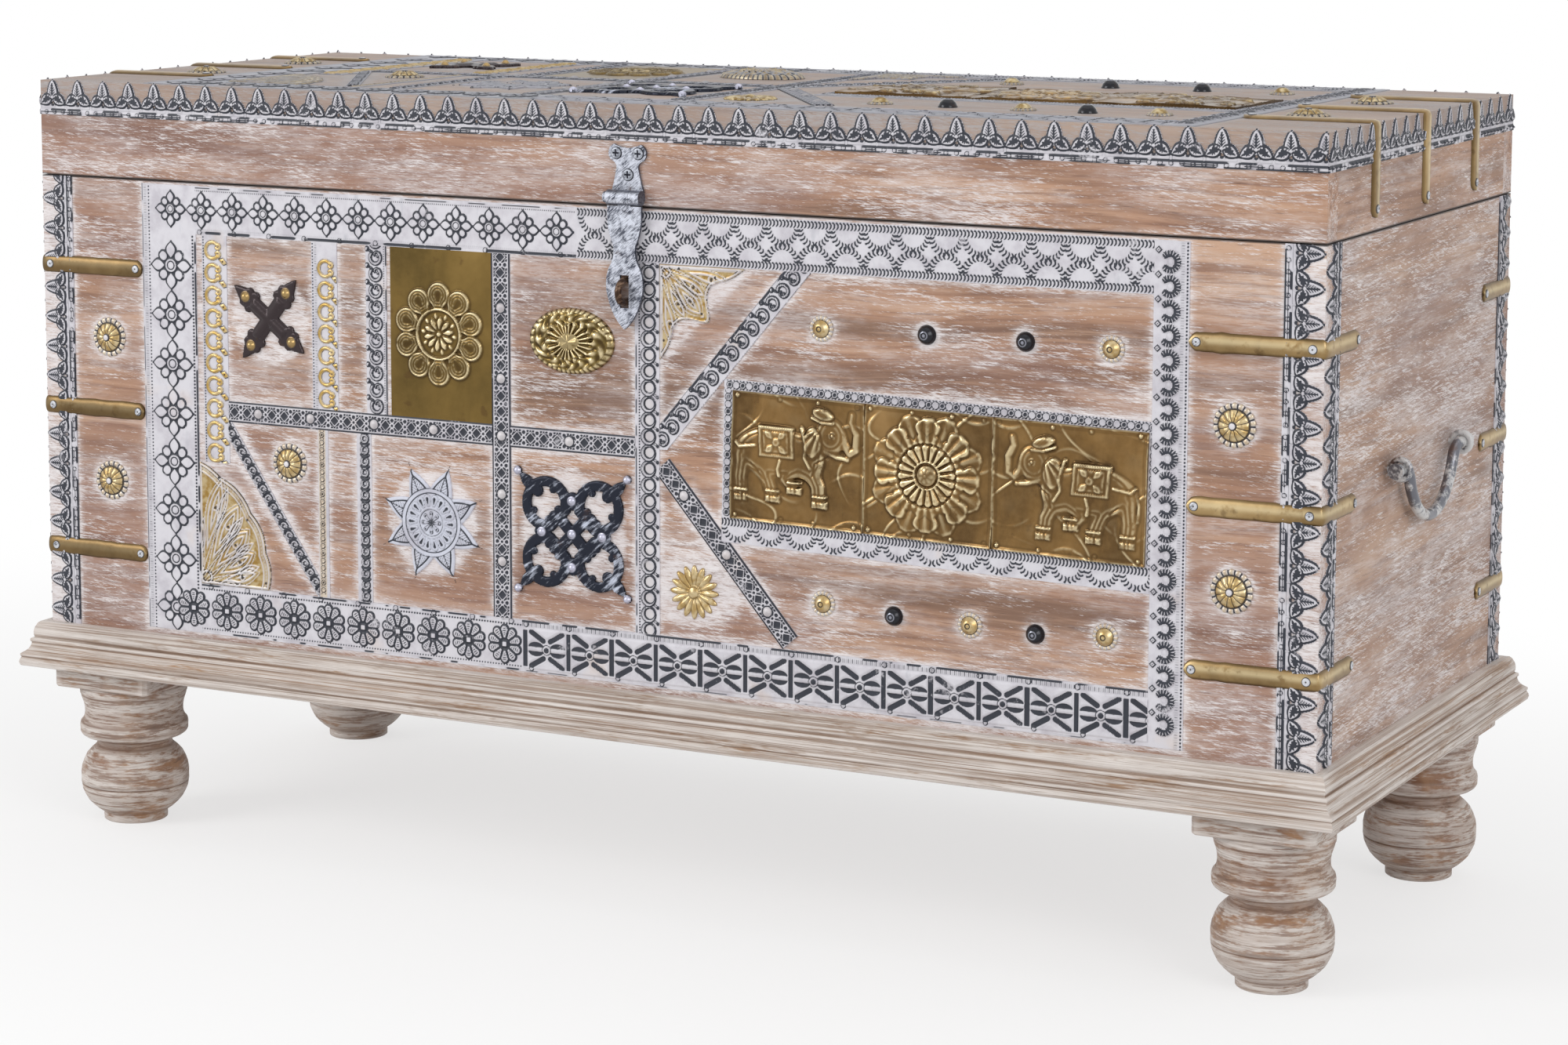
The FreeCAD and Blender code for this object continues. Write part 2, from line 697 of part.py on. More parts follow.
strap = body("hasp_strap")
strap_outline = sketch(strap, "XZ_Plane", "hasp_strap_outline")
strap_top = d.hasp_knuckle_radius + d.seat_gap * 2
blade = d.hasp_strap_length - strap_top
blade_steps = []
for kind, *places in scaled(HASP_STRAP_SHARES, d.hasp_strap_width, blade):
    lowered = [-(strap_top + size) if number % 2 else size for number, size in enumerate(places)]
    blade_steps.append((kind, *lowered))
outline(strap_outline, mirrored(blade_steps))
pad(strap, strap_outline, d.hasp_strap_thick, midplane=True)
strap_neck = sketch(strap, "XZ_Plane", "hasp_strap_neck")
half_middle = d.hasp_middle_length / 2
rectangle(strap_neck, -half_middle, -(strap_top + d.hasp_strap_thick), half_middle,
          -d.hasp_pin_radius)
pad(strap, strap_neck, d.hasp_strap_thick, midplane=True)
strap_barrel = sketch(strap, "YZ_Plane", "hasp_strap_barrel")
circle(strap_barrel, 0, 0, d.hasp_knuckle_radius)
pad(strap, strap_barrel, d.hasp_middle_length, midplane=True)
strap_bore = sketch(strap, "YZ_Plane", "hasp_strap_bore")
circle(strap_bore, 0, 0, d.hasp_pin_radius + d.seat_gap)
pocket(strap, strap_bore, d.hasp_middle_length + 2 * d.overrun, midplane=True)
strap_slot = sketch(strap, "XZ_Plane", "hasp_strap_slot")
half_slot = d.hasp_slot_width / 2
slot_low = -(d.hasp_slot_drop + d.hasp_slot_height / 2)
rectangle(strap_slot, -half_slot, slot_low, half_slot, slot_low + d.hasp_slot_height)
pocket(strap, strap_slot, 2 * d.hasp_strap_thick, midplane=True)
place(strap, (0, hasp_axis_y, hasp_axis_z))

hasp_pin_start = (-d.hasp_width / 2, hasp_axis_y, hasp_axis_z)
group("hasp_pin", [
    rod(d.hasp_pin_radius, d.hasp_width, hasp_pin_start, Vector(1, 0, 0)).fuse(
        rod(d.hasp_pin_head_radius, d.hasp_pin_head_length, hasp_pin_start, Vector(-1, 0, 0)))])
group("hasp_screws", [screw(spot, FORWARD) for spot in hasp_screw_places])

staple = body("staple")
staple_path = sketch(staple, "YZ_Plane", "staple_path")
half_eye = d.staple_half_height
staple_start = staple_path.addGeometry(
    Part.LineSegment(vec(d.staple_root, half_eye, 0), vec(-d.staple_straight, half_eye, 0)), False)
bend = staple_path.addGeometry(
    Part.Arc(vec(-d.staple_straight, half_eye, 0), vec(-d.staple_straight - half_eye, 0, 0),
             vec(-d.staple_straight, -half_eye, 0)), False)
staple_end = staple_path.addGeometry(
    Part.LineSegment(vec(-d.staple_straight, -half_eye, 0), vec(d.staple_root, -half_eye, 0)), False)
pin_point(staple_path, staple_start, 1, d.staple_root, half_eye)
pin_point(staple_path, staple_start, 2, -d.staple_straight, half_eye)
pin_point(staple_path, staple_end, 2, d.staple_root, -half_eye)
pin_point(staple_path, staple_end, 1, -d.staple_straight, -half_eye)
bend_place = staple_path.addConstraint(
    Sketcher.Constraint("DistanceX", -1, 1, bend, 3, -float(d.staple_straight)))
bind(staple_path, "Constraints[%d]" % bend_place, -d.staple_straight)
staple_path.addConstraint(Sketcher.Constraint("Coincident", staple_start, 2, bend, 1))
staple_path.addConstraint(Sketcher.Constraint("Coincident", bend, 2, staple_end, 1))
staple_section = sketch(staple, "XZ_Plane", "staple_section", -d.staple_root)
circle(staple_section, 0, half_eye, d.staple_wire_radius)
pipe(staple, staple_path, staple_section)
place(staple, (0, -half_depth, staple_z))


# Bail handles: a round bar through two screw eyes on each side

def bail(label, side):
    """The bar in its own plane: straight ends on the pivot line and a hanging bow between."""
    piece = body(label)
    path = sketch(piece, "YZ_Plane", label + "_path")
    end = d.bail_span / 2 + d.bail_end
    inner = d.bail_span / 2 - d.bail_start
    swing = 2 * math.atan2(float(d.bail_drop), float(inner))
    reach = float(inner) / math.sin(swing)
    bow_radius = reach - float(d.bail_bend)
    bend_radius = float(d.bail_bend)
    bend_y = float(inner) - bend_radius * math.sin(swing)
    bend_z = -bend_radius * (1 - math.cos(swing))
    half_swing = swing / 2
    half_y = float(inner) - bend_radius * math.sin(half_swing)
    half_z = -bend_radius * (1 - math.cos(half_swing))
    lines = []
    for hand in (-1, 1):
        outer, near = (vec(hand * end, 0, 0), vec(hand * inner, 0, 0))
        line = path.addGeometry(Part.LineSegment(outer, near), False)
        bent = vec(hand * bend_y, bend_z, 0)
        ends = (bent, near) if hand < 0 else (near, bent)
        corner = path.addGeometry(Part.Arc(ends[0], vec(hand * half_y, half_z, 0), ends[1]), False)
        pin_point(path, line, 1, hand * end, 0)
        pin_point(path, line, 2, hand * inner, 0)
        lines.append((line, corner))
    low = Vector(0, -float(d.bail_drop), 0)
    bow = path.addGeometry(Part.Arc(vec(-bend_y, bend_z, 0), low, vec(bend_y, bend_z, 0)), False)
    for (line, corner), hand in zip(lines, (-1, 1)):
        arc = path.Geometry[corner]
        top = 1 if abs(arc.StartPoint.y) < abs(arc.EndPoint.y) else 2
        path.addConstraint(Sketcher.Constraint("Tangent", line, 2, corner, top))
        bound = path.addConstraint(Sketcher.Constraint("Radius", corner, bend_radius))
        bind(path, "Constraints[%d]" % bound, d.bail_bend)
        bow_end = 1 if path.Geometry[bow].StartPoint.x * hand > 0 else 2
        path.addConstraint(Sketcher.Constraint("Tangent", corner, 3 - top, bow, bow_end))
    lowest = path.addGeometry(Part.Point(low), True)
    path.addConstraint(Sketcher.Constraint("PointOnObject", lowest, 1, bow))
    pin_point(path, lowest, 1, 0, -d.bail_drop)
    section = sketch(piece, "XZ_Plane", label + "_section", end)
    circle(section, 0, 0, d.bail_radius)
    bar = piece.newObject("PartDesign::AdditivePipe", label + "_bar")
    bar.Profile = section
    order = (lines[0][0], lines[0][1], bow, lines[1][1], lines[1][0])
    bar.Spine = (path, ["Edge%d" % (index + 1) for index in order])
    for hand in (-1, 1):
        inside = -hand * (end - d.bail_cap_length)
        cap = sketch(piece, "XZ_Plane", "%s_cap_%s" % (label, "front" if hand < 0 else "back"), inside)
        circle(cap, 0, 0, d.bail_cap_radius)
        pad(piece, cap, d.bail_cap_length, reverse=hand > 0)
    place(piece, (side * (half_width + d.bail_standoff), 0, eye_z))


def eyes(label, side):
    """Two screw eyes whose shanks go into the side board."""
    solids = []
    for hand in (-1, 1):
        centre = vec(side * (half_width + d.bail_standoff), hand * d.bail_span / 2, eye_z)
        ring = Part.makeTorus(float(d.eye_ring_radius), float(d.eye_wire_radius), centre,
                              Vector(0, 1, 0))
        root = centre - Vector(side * float(d.eye_ring_radius), 0, 0)
        length = d.bail_standoff - d.eye_ring_radius + d.eye_root
        shank = Part.makeCylinder(float(d.eye_wire_radius), float(length), root, Vector(-side, 0, 0))
        solids.append(ring.fuse(shank))
    group(label, solids)


bail("bail_right", 1)
bail("bail_left", -1)
eyes("bail_eyes_right", 1)
eyes("bail_eyes_left", -1)


# Sheet-metal ornament. A face has its own coordinates: across from the middle, up from its lower
# or front edge, and out from the board.

class Face:
    """One ornamented face: where its own coordinates lie, its frame, and the fields inside that."""

    def __init__(self, height, placement):
        self.placement = placement
        self.side = float(half_width - d.frame_side_gap)
        self.low = float(d.frame_base_gap)
        self.high = float(height - d.frame_top_gap)
        self.inner_left = -self.side + float(d.frame_left_band)
        self.inner_right = self.side - float(d.frame_right_band)
        self.inner_low = self.low + float(d.frame_base_band)
        self.inner_high = self.high - float(d.frame_top_band)
        # The centre strip runs along the right edge of the hasp strap.
        self.centre_left = float(d.hasp_strap_width - d.centre_band) / 2
        self.centre_right = float(d.hasp_strap_width + d.centre_band) / 2
        self.height = self.inner_high - self.inner_low
        rise = float(2 * d.flower_radius + d.studded_band + 2 * d.star_radius) * HEIGHT_ROOM_SHARE
        left = Field(self, self.inner_left, self.centre_left, rise,
                     float(2 * d.scroll_band + d.ring_band + d.flower_plate_width + d.studded_band
                           + d.arabesque_width) * LEFT_ROOM_SHARE)
        right = Field(self, self.centre_right, self.inner_right, rise,
                      float(d.frieze_space + d.frieze_edge + d.frieze_width + d.frieze_gap))
        self.left_field = left
        self.right_field = right
        # The strips and the plate stand side by side, each next to the one before.
        self.post_left = left.across(STUDDED_SHARE) - left.size(d.studded_band) / 2
        self.post_right = self.post_left + left.size(d.studded_band)
        self.shelf_low = self.up(MIDDLE_BAND_SHARE) - left.size(d.studded_band) / 2
        self.shelf_high = self.shelf_low + left.size(d.studded_band)
        self.plate_right = self.post_left - float(d.seam_gap)
        self.plate_left = self.plate_right - left.size(d.flower_plate_width)
        self.ring_right = self.plate_left - left.size(d.plate_gap)
        self.ring_left = self.ring_right - left.size(d.ring_band)
        self.scroll_right = self.ring_left - left.size(d.strip_space)
        self.scroll_left = self.scroll_right - left.size(d.scroll_band)
        self.edge_left = self.inner_left + left.size(d.scroll_side_gap)
        self.edge_right = self.edge_left + left.size(d.scroll_band)
        self.frieze_right = self.inner_right - right.size(d.frieze_gap)
        self.frieze_left = self.frieze_right - right.size(d.frieze_width)

    def up(self, share):
        return self.inner_low + share * self.height

    def frieze_spot(self, shares):
        return self.frieze_left + shares[0] * (self.frieze_right - self.frieze_left), self.up(shares[1])


class Field:
    """A part of a face, and how large the ornament in it can be."""

    def __init__(self, face, left, right, rise, reach):
        self.face = face
        self.left = left
        self.width = right - left
        self.scale = min(self.width / reach, face.height / rise)

    def size(self, length):
        return float(length) * self.scale

    def across(self, share):
        return self.left + share * self.width

    def spot(self, shares):
        return self.across(shares[0]), self.face.up(shares[1])


def sheet_metal(left, right, low, high, thick=None):
    """A flat piece of sheet between two sides and two ends, a hair short of its neighbours."""
    slack = float(d.seam_gap) / 2
    return Part.makeBox(right - left - 2 * slack, high - low - 2 * slack,
                        float(thick or d.sheet_thick), Vector(left + slack, low + slack, 0))


def upright(field, share, width, low, high):
    half = field.size(width) / 2
    return sheet_metal(field.across(share) - half, field.across(share) + half, low, high)


def slanted(field, shares, width, left, right, low, high):
    """A strip along the line through two spots, trimmed to a rectangle and clear of the frieze."""
    first = Vector(*field.spot(shares[0]), 0)
    second = Vector(*field.spot(shares[1]), 0)
    along = second - first
    along.normalize()
    across = Vector(-along.y, along.x, 0) * (field.size(width) / 2)
    far = along * float(d.body_width)
    corners = [first - far - across, first + far - across, first + far + across, first - far + across]
    strip = Part.Face(Part.makePolygon(corners + corners[:1])).extrude(
        Vector(0, 0, float(d.sheet_thick)))
    return strip.common(sheet_metal(left, right, low, high)).cut(frieze_area(field.face))


def dome(radius, height, centre):
    """A low dome: the cap of a ball."""
    radius = float(radius)
    height = float(height)
    ball = (radius * radius + height * height) / (2 * height)
    middle = Vector(centre[0], centre[1], height - ball)
    cap = Part.makeSphere(ball, middle)
    above = Part.makeBox(4 * ball, 4 * ball, height + ball,
                         Vector(centre[0] - 2 * ball, centre[1] - 2 * ball, 0))
    return cap.common(above)


def scalloped(radius, count, depth, thick, centre):
    """A thin disc with a rim of rounded petals."""
    points = []
    for number in range(2 * count):
        angle = math.pi * number / count
        reach = float(radius) * (1 if number % 2 else 1 - depth)
        points.append(Vector(centre[0] + reach * math.cos(angle), centre[1] + reach * math.sin(angle), 0))
    edges = []
    for number in range(0, 2 * count, 2):
        tip = points[(number + 1) % (2 * count)]
        edges.append(Part.Arc(points[number], tip, points[(number + 2) % (2 * count)]).toShape())
    return Part.Face(Part.Wire(edges)).extrude(Vector(0, 0, float(thick)))


def star(radius, count, waist, thick, centre):
    points = []
    for number in range(2 * count):
        angle = math.pi * (number + 0.5) / count
        reach = float(radius) * (waist if number % 2 else 1)
        points.append(Vector(centre[0] + reach * math.cos(angle), centre[1] + reach * math.sin(angle), 0))
    return Part.Face(Part.makePolygon(points + points[:1])).extrude(Vector(0, 0, float(thick)))


def rosette(radius, height, centre, count=ROSETTE_PETALS):
    thick = float(d.sheet_thick)
    rim = scalloped(radius, count, PETAL_DEPTH_SHARE, thick, centre)
    return rim.fuse(dome(float(radius) * (1 - 2 * PETAL_DEPTH_SHARE), height, centre))


def iron_cross(face):
    """Four arms with spade ends, turned to stand as an X."""
    arm = face.left_field.size(d.cross_arm)
    upper = [Vector(a * arm, b * arm, 0) for a, b in CROSS_ARM_SHARES]
    lower = [Vector(a * arm, -b * arm, 0) for a, b in reversed(CROSS_ARM_SHARES[:-1])]
    polygon = Part.makePolygon(upper + lower + upper[:1])
    blank = Part.Face(polygon).extrude(Vector(0, 0, float(d.cross_thick)))
    arms = []
    for quarter in range(4):
        copy = blank.copy()
        copy.rotate(Vector(0, 0, 0), Vector(0, 0, 1), 45 + 90 * quarter)
        arms.append(copy)
    whole = arms[0].multiFuse(arms[1:]).removeSplitter()
    whole.translate(Vector((face.edge_right + face.scroll_left) / 2, face.up(CROSS_HEIGHT_SHARE), 0))
    return whole


def arabesque(face):
    """Four pierced lobes and four pointed arms cut from one iron sheet."""
    half = face.left_field.size(d.arabesque_width) / 2
    thick = float(d.arabesque_thick)
    up = Vector(0, 0, 1)
    lobe_reach = half * LOBE_REACH_SHARE
    arm_width = half * ARM_WIDTH_SHARE
    lobes = []
    holes = []
    for quarter in range(4):
        angle = math.radians(45 + 90 * quarter)
        centre = Vector(lobe_reach * math.cos(angle), lobe_reach * math.sin(angle), 0)
        lobes.append(Part.makeCylinder(half * LOBE_RADIUS_SHARE, thick, centre, up))
        holes.append(Part.makeCylinder(half * LOBE_HOLE_SHARE, 4 * thick, centre - up * thick, up))
        arm = Part.makeBox(half * ARM_LENGTH_SHARE, arm_width, thick,
                           Vector(half * ARM_START_SHARE, -arm_width / 2, 0))
        arm.rotate(Vector(0, 0, 0), up, math.degrees(angle))
        lobes.append(arm)
    lobes.append(Part.makeCylinder(half * HUB_SHARE, thick, Vector(0, 0, 0), up))
    whole = lobes[0].multiFuse(lobes[1:])
    whole = whole.cut(Part.makeCompound(holes)).removeSplitter()
    whole.translate(Vector((face.post_right + face.centre_left) / 2, face.up(ARABESQUE_HEIGHT_SHARE), 0))
    return whole


def corner_plate(corner, width, height, shares, down):
    """A pressed corner piece: two straight edges and a curved long edge."""
    drop = -1 if down else 1
    x, y = corner
    curve = Part.BSplineCurve()
    curve.interpolate([Vector(x + a * width, y + drop * b * height, 0) for a, b in shares])
    first = Vector(x + width, y, 0)
    last = Vector(x, y + drop * height, 0)
    origin = Vector(x, y, 0)
    wire = Part.Wire([curve.toShape(), Part.makeLine(last, origin), Part.makeLine(origin, first)])
    return Part.Face(wire).extrude(Vector(0, 0, float(d.corner_relief)))


def tilted(shape, centre):
    shape.rotate(Vector(centre[0], centre[1], 0), Vector(0, 0, 1), FRIEZE_TILT)
    return shape


def border_strips(face):
    """The frame around the field: top, left, right and bottom strips."""
    split_top = face.left_field.across(FLORAL_END_SHARE)
    split_base = face.left_field.across(DAISY_END_SHARE)
    return {
        "top": [sheet_metal(face.inner_left, split_top, face.inner_high, face.high),
                sheet_metal(split_top, face.inner_right, face.inner_high, face.high)],
        "left": [sheet_metal(-face.side, face.inner_left, face.low, face.high)],
        "right": [sheet_metal(face.inner_right, face.side, face.low, face.high)],
        "bottom": [sheet_metal(face.inner_left, split_base, face.low, face.inner_low),
                   sheet_metal(split_base, face.inner_right, face.low, face.inner_low)],
    }


def inner_strips(face):
    """The strips that divide the fields."""
    left, right = face.left_field, face.right_field
    low, high = face.inner_low, face.inner_high
    thin_left = left.across(THIN_SHARE) - left.size(d.thin_band) / 2
    return {
        "scroll": [sheet_metal(face.edge_left, face.edge_right, face.up(SCROLL_FOOT_SHARE), high),
                   sheet_metal(face.scroll_left, face.scroll_right, face.shelf_high, high)],
        "ring": [sheet_metal(face.ring_left, face.ring_right, face.shelf_high, high),
                 upright(left, NARROW_RING_SHARE, d.narrow_ring_band, low, face.shelf_low),
                 upright(left, THIN_SHARE, d.thin_band, low, face.shelf_low),
                 sheet_metal(face.centre_left, face.centre_right, low, high),
                 slanted(left, RING_DIAGONAL_SHARES, d.diagonal_ring_band, face.edge_right,
                         thin_left, low, face.shelf_low)],
        "studded": [sheet_metal(face.post_left, face.post_right, low, high),
                    sheet_metal(face.edge_right, face.post_left, face.shelf_low, face.shelf_high),
                    sheet_metal(face.post_right, face.centre_left, face.shelf_low, face.shelf_high),
                    slanted(right, STUDDED_DIAGONAL_SHARES, d.studded_band, face.centre_right,
                            face.inner_right, low, face.up(MIDDLE_BAND_SHARE))],
        "horseshoe": [slanted(right, HORSESHOE_DIAGONAL_SHARES, d.horseshoe_band,
                              face.centre_right, face.inner_right, face.up(MIDDLE_BAND_SHARE), high)],
    }


def flower_plate(face):
    """A plate between the post and the ring strip, and the embossed flower on it."""
    backing = sheet_metal(face.plate_left, face.plate_right, face.shelf_high, face.inner_high)
    spot = ((face.plate_left + face.plate_right) / 2, (face.shelf_high + face.inner_high) / 2)
    flower = scalloped(face.left_field.size(d.flower_radius), FLOWER_PETALS, PETAL_DEPTH_SHARE,
                       d.sheet_thick + d.flower_relief, spot)
    return backing.fuse(flower)


def star_plaque(face):
    """A ribbed star between the narrow ring strip and the post."""
    left = face.left_field
    ring_right = left.across(NARROW_RING_SHARE) + left.size(d.narrow_ring_band) / 2
    return star(left.size(d.star_radius), STAR_POINTS, STAR_WAIST_SHARE, d.star_relief,
                ((ring_right + face.post_left) / 2, face.up(STAR_HEIGHT_SHARE)))


def frieze_middle(face):
    return (face.frieze_left + face.frieze_right) / 2, face.up(FRIEZE_HEIGHT_SHARE)


def frieze_halves(face):
    return (face.frieze_right - face.frieze_left) / 2, face.right_field.size(d.frieze_height) / 2


def frieze_area(face):
    """The tilted rectangle that the frieze and the strips around it take up."""
    x, y = frieze_middle(face)
    half_w, half_h = frieze_halves(face)
    edge = face.right_field.size(d.frieze_edge)
    scallop = face.right_field.size(d.frieze_scallop)
    area = Part.makeBox(2 * (half_w + edge), 2 * half_h + edge + scallop, 2 * float(d.overrun),
                        Vector(x - half_w - edge, y - half_h - scallop, -float(d.overrun)))
    return tilted(area, (x, y))


def frieze(face):
    """Three embossed plates, and the strips around them as far as the frame leaves room."""
    x, y = frieze_middle(face)
    half_w, half_h = frieze_halves(face)
    edge = face.right_field.size(d.frieze_edge)
    scallop = face.right_field.size(d.frieze_scallop)
    plates = []
    for start, stop in zip(FRIEZE_SEAM_SHARES, FRIEZE_SEAM_SHARES[1:]):
        left = x - half_w + start * 2 * half_w
        right = x - half_w + stop * 2 * half_w
        plates.append(tilted(sheet_metal(left, right, y - half_h, y + half_h), (x, y)))
    left, right = x - half_w - edge, x + half_w + edge
    strips = [
        sheet_metal(left, right, y + half_h, y + half_h + edge),
        sheet_metal(left, x - half_w, y - half_h, y + half_h),
        sheet_metal(x + half_w, right, y - half_h, y + half_h),
        sheet_metal(left, right, y - half_h - scallop, y - half_h),
    ]
    field = sheet_metal(face.inner_left, face.inner_right, face.inner_low, face.inner_high)
    return plates, [tilted(strip, (x, y)).common(field) for strip in strips]


def corner_plates(face):
    gap = float(d.seam_gap)
    leg = face.right_field.size(d.triangle_leg)
    return [
        corner_plate((face.centre_right + gap, face.inner_high - gap), leg, leg,
                     TRIANGLE_EDGE_SHARES, True),
        corner_plate((face.inner_left + gap, face.inner_low + gap),
                     face.left_field.size(d.fan_width), face.left_field.size(d.fan_height) - 2 * gap,
                     FAN_EDGE_SHARES, False),
    ]


def oval_boss(face):
    """A long dome."""
    cap = dome(face.left_field.size(d.boss_length) / 2, d.boss_relief, (0, 0))
    squeeze = FreeCAD.Matrix()
    squeeze.scale(Vector(1, float(d.boss_height) / float(d.boss_length), 1))
    cap = cap.transformGeometry(squeeze)
    cap.translate(Vector((face.post_right + face.centre_left) / 2, face.up(BOSS_HEIGHT_SHARE), 0))
    return cap


def rosettes(face):
    """Two on each stile between the frame and the corner, and two in the fields."""
    left, right = face.left_field, face.right_field
    stile = face.side + float(d.frame_side_gap - d.leaf_band) / 2
    solids = []
    for side in (-1, 1):
        for share in ROSETTE_SHARES:
            solids.append(rosette(d.rosette_radius, d.rosette_height, (side * stile, face.up(share))))
    solids.append(rosette(left.size(d.rosette_radius), d.rosette_height,
                          left.spot(SMALL_ROSETTE_SHARES)))
    solids.append(rosette(right.size(d.sunburst_radius), d.sunburst_height,
                          right.spot(SUNBURST_SHARES), SUNBURST_PETALS))
    return solids


def gold_studs(face):
    return [dome(face.right_field.size(d.gold_stud_radius), d.gold_stud_height, face.frieze_spot(shares))
            for shares in GOLD_STUD_SHARES]


def black_studs(face):
    return [dome(face.right_field.size(d.black_stud_radius), d.black_stud_height, face.frieze_spot(shares))
            for shares in BLACK_STUD_SHARES]


front = Face(d.front_height, Placement(vec(0, -half_depth, face_z), Rotation(Vector(1, 0, 0), 90)))
top = Face(d.body_depth, Placement(vec(0, -half_depth, lid_top_z), Rotation()))

frame = border_strips(front)
for edge in ("top", "left", "right", "bottom"):
    group("front_%s_border" % edge, frame[edge], front.placement)
strips = inner_strips(front)
group("front_scroll_strips", strips["scroll"], front.placement)
group("front_ring_strips", strips["ring"], front.placement)
group("front_studded_bands", strips["studded"], front.placement)
group("front_horseshoe_diagonal", strips["horseshoe"], front.placement)
group("front_flower_plate", [flower_plate(front)], front.placement)
group("front_iron_cross", [iron_cross(front)], front.placement)
group("front_oval_boss", [oval_boss(front)], front.placement)
group("front_star_plaque", [star_plaque(front)], front.placement)
group("front_arabesque", [arabesque(front)], front.placement)
group("front_corner_plates", corner_plates(front), front.placement)
frieze_plates, frieze_strips = frieze(front)
group("front_frieze_plates", frieze_plates, front.placement)
group("front_frieze_edging", frieze_strips, front.placement)
group("front_gold_studs", gold_studs(front), front.placement)
group("front_black_studs", black_studs(front), front.placement)
group("front_rosettes", rosettes(front), front.placement)

frame = border_strips(top)
group("lid_border_strips", [strip for edge in frame.values() for strip in edge], top.placement)
strips = inner_strips(top)
frieze_plates, frieze_strips = frieze(top)
group("lid_inner_strips", [strip for kind in strips.values() for strip in kind] + frieze_strips,
      top.placement)
group("lid_plaques", [flower_plate(top), iron_cross(top), oval_boss(top), star_plaque(top),
                      arabesque(top)] + corner_plates(top) + frieze_plates, top.placement)
group("lid_studs", gold_studs(top) + black_studs(top) + rosettes(top), top.placement)


# Leaf strips and brass straps that go round the corners

def corner_strip(x, y):
    """An upright L-shaped strip round one corner of the body."""
    band = float(d.leaf_band)
    thick = float(d.sheet_thick)
    height = float(rim_z - face_z)
    outer_x = float(half_width) + thick
    outer_y = float(half_depth) + thick
    outer = Part.makeBox(band + thick, band + thick, height,
                         Vector(outer_x - band - thick, outer_y - band - thick, float(face_z)))
    inner = Part.makeBox(float(half_width), float(half_depth), height, Vector(0, 0, float(face_z)))
    strip = outer.cut(inner)
    return mirrored_copy(strip, x, y)


def mirrored_copy(shape, x, y):
    """The same piece at another corner: a turn or a mirror image about the middle planes."""
    flip = FreeCAD.Matrix()
    flip.scale(Vector(x, y, 1))
    return shape.transformGeometry(flip) if (x, y) != (1, 1) else shape


def corner_strap(x, y, height):
    """A brass strap round a corner, over the leaf strip."""
    lift = float(d.sheet_thick)
    thick = float(d.strap_thick)
    front_reach = float(d.strap_front_reach if y < 0 else d.strap_side_reach)
    side_reach = float(d.strap_side_reach)
    low = float(face_z) + height - float(d.strap_height) / 2
    outer_x = float(half_width) + lift + thick
    outer_y = float(half_depth) + lift + thick
    across = Part.makeBox(front_reach + lift + thick, thick, float(d.strap_height),
                          Vector(outer_x - front_reach - lift - thick, outer_y - thick, low))
    along = Part.makeBox(thick, side_reach + lift + thick, float(d.strap_height),
                         Vector(outer_x - thick, outer_y - side_reach - lift - thick, low))
    return mirrored_copy(across.fuse(along).removeSplitter(), x, y)


def lid_strap(side, share):
    """A brass strap from the lid's top over its end."""
    lift = float(d.sheet_thick)
    thick = float(d.strap_thick)
    width = float(d.strap_lid_width)
    front_edge = -float(half_depth) + share * float(d.body_depth) - width / 2
    outer_x = float(half_width) + lift + thick
    outer_z = float(lid_top_z) + lift + thick
    over = Part.makeBox(float(d.strap_front_reach) + lift + thick, width, thick,
                        Vector(outer_x - float(d.strap_front_reach) - lift - thick, front_edge,
                               outer_z - thick))
    down = Part.makeBox(thick, width, float(d.strap_lid_drop) + lift + thick,
                        Vector(outer_x - thick, front_edge,
                               outer_z - float(d.strap_lid_drop) - lift - thick))
    return mirrored_copy(over.fuse(down).removeSplitter(), side, 1)


def lid_leaf_strips():
    """Strips round the lid's upper edge and along the two ends of its top."""
    band = float(d.lid_leaf_band)
    thick = float(d.sheet_thick)
    low = float(lid_top_z) - band
    width = float(d.body_width)
    depth = float(d.body_depth)
    front_strip = Part.makeBox(width, thick, band,
                               Vector(-width / 2, -depth / 2 - thick, low))
    back_strip = Part.makeBox(width, thick, band, Vector(-width / 2, depth / 2, low))
    pieces = [front_strip, back_strip]
    for side in (-1, 1):
        up = Part.makeBox(thick, depth, band, Vector(width / 2, -depth / 2, low))
        over = Part.makeBox(float(d.leaf_band) + thick, depth, thick,
                            Vector(width / 2 - float(d.leaf_band), -depth / 2, float(lid_top_z)))
        pieces.append(mirrored_copy(up.fuse(over).removeSplitter(), side, 1))
    return pieces


group("corner_leaf_strips", [corner_strip(x, y) for _, x, y in CORNERS])
group("corner_straps", [corner_strap(x, y, share * float(d.front_height))
                        for _, x, y in CORNERS for share in STRAP_SHARES])
group("lid_leaf_strips", lid_leaf_strips())
group("lid_straps", [lid_strap(side, share) for side in (-1, 1) for share in LID_STRAP_SHARES])


# Check and write

doc.recompute()
for thing in doc.Objects:
    if {"Invalid", "Error"} & set(thing.State):
        raise RuntimeError("%s failed: %s" % (thing.Label, thing.State))
for part in parts:
    if part.Shape.isNull() or not part.Shape.isValid():
        raise RuntimeError("%s has no valid shape" % part.Label)

os.makedirs("parts", exist_ok=True)
for part in parts:
    part.Shape.exportStep("parts/%s.step" % part.Label)
print("%d nodes written" % len(parts))
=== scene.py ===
import bpy
import math
from functools import reduce
import numpy as np
from mathutils import Matrix, Vector


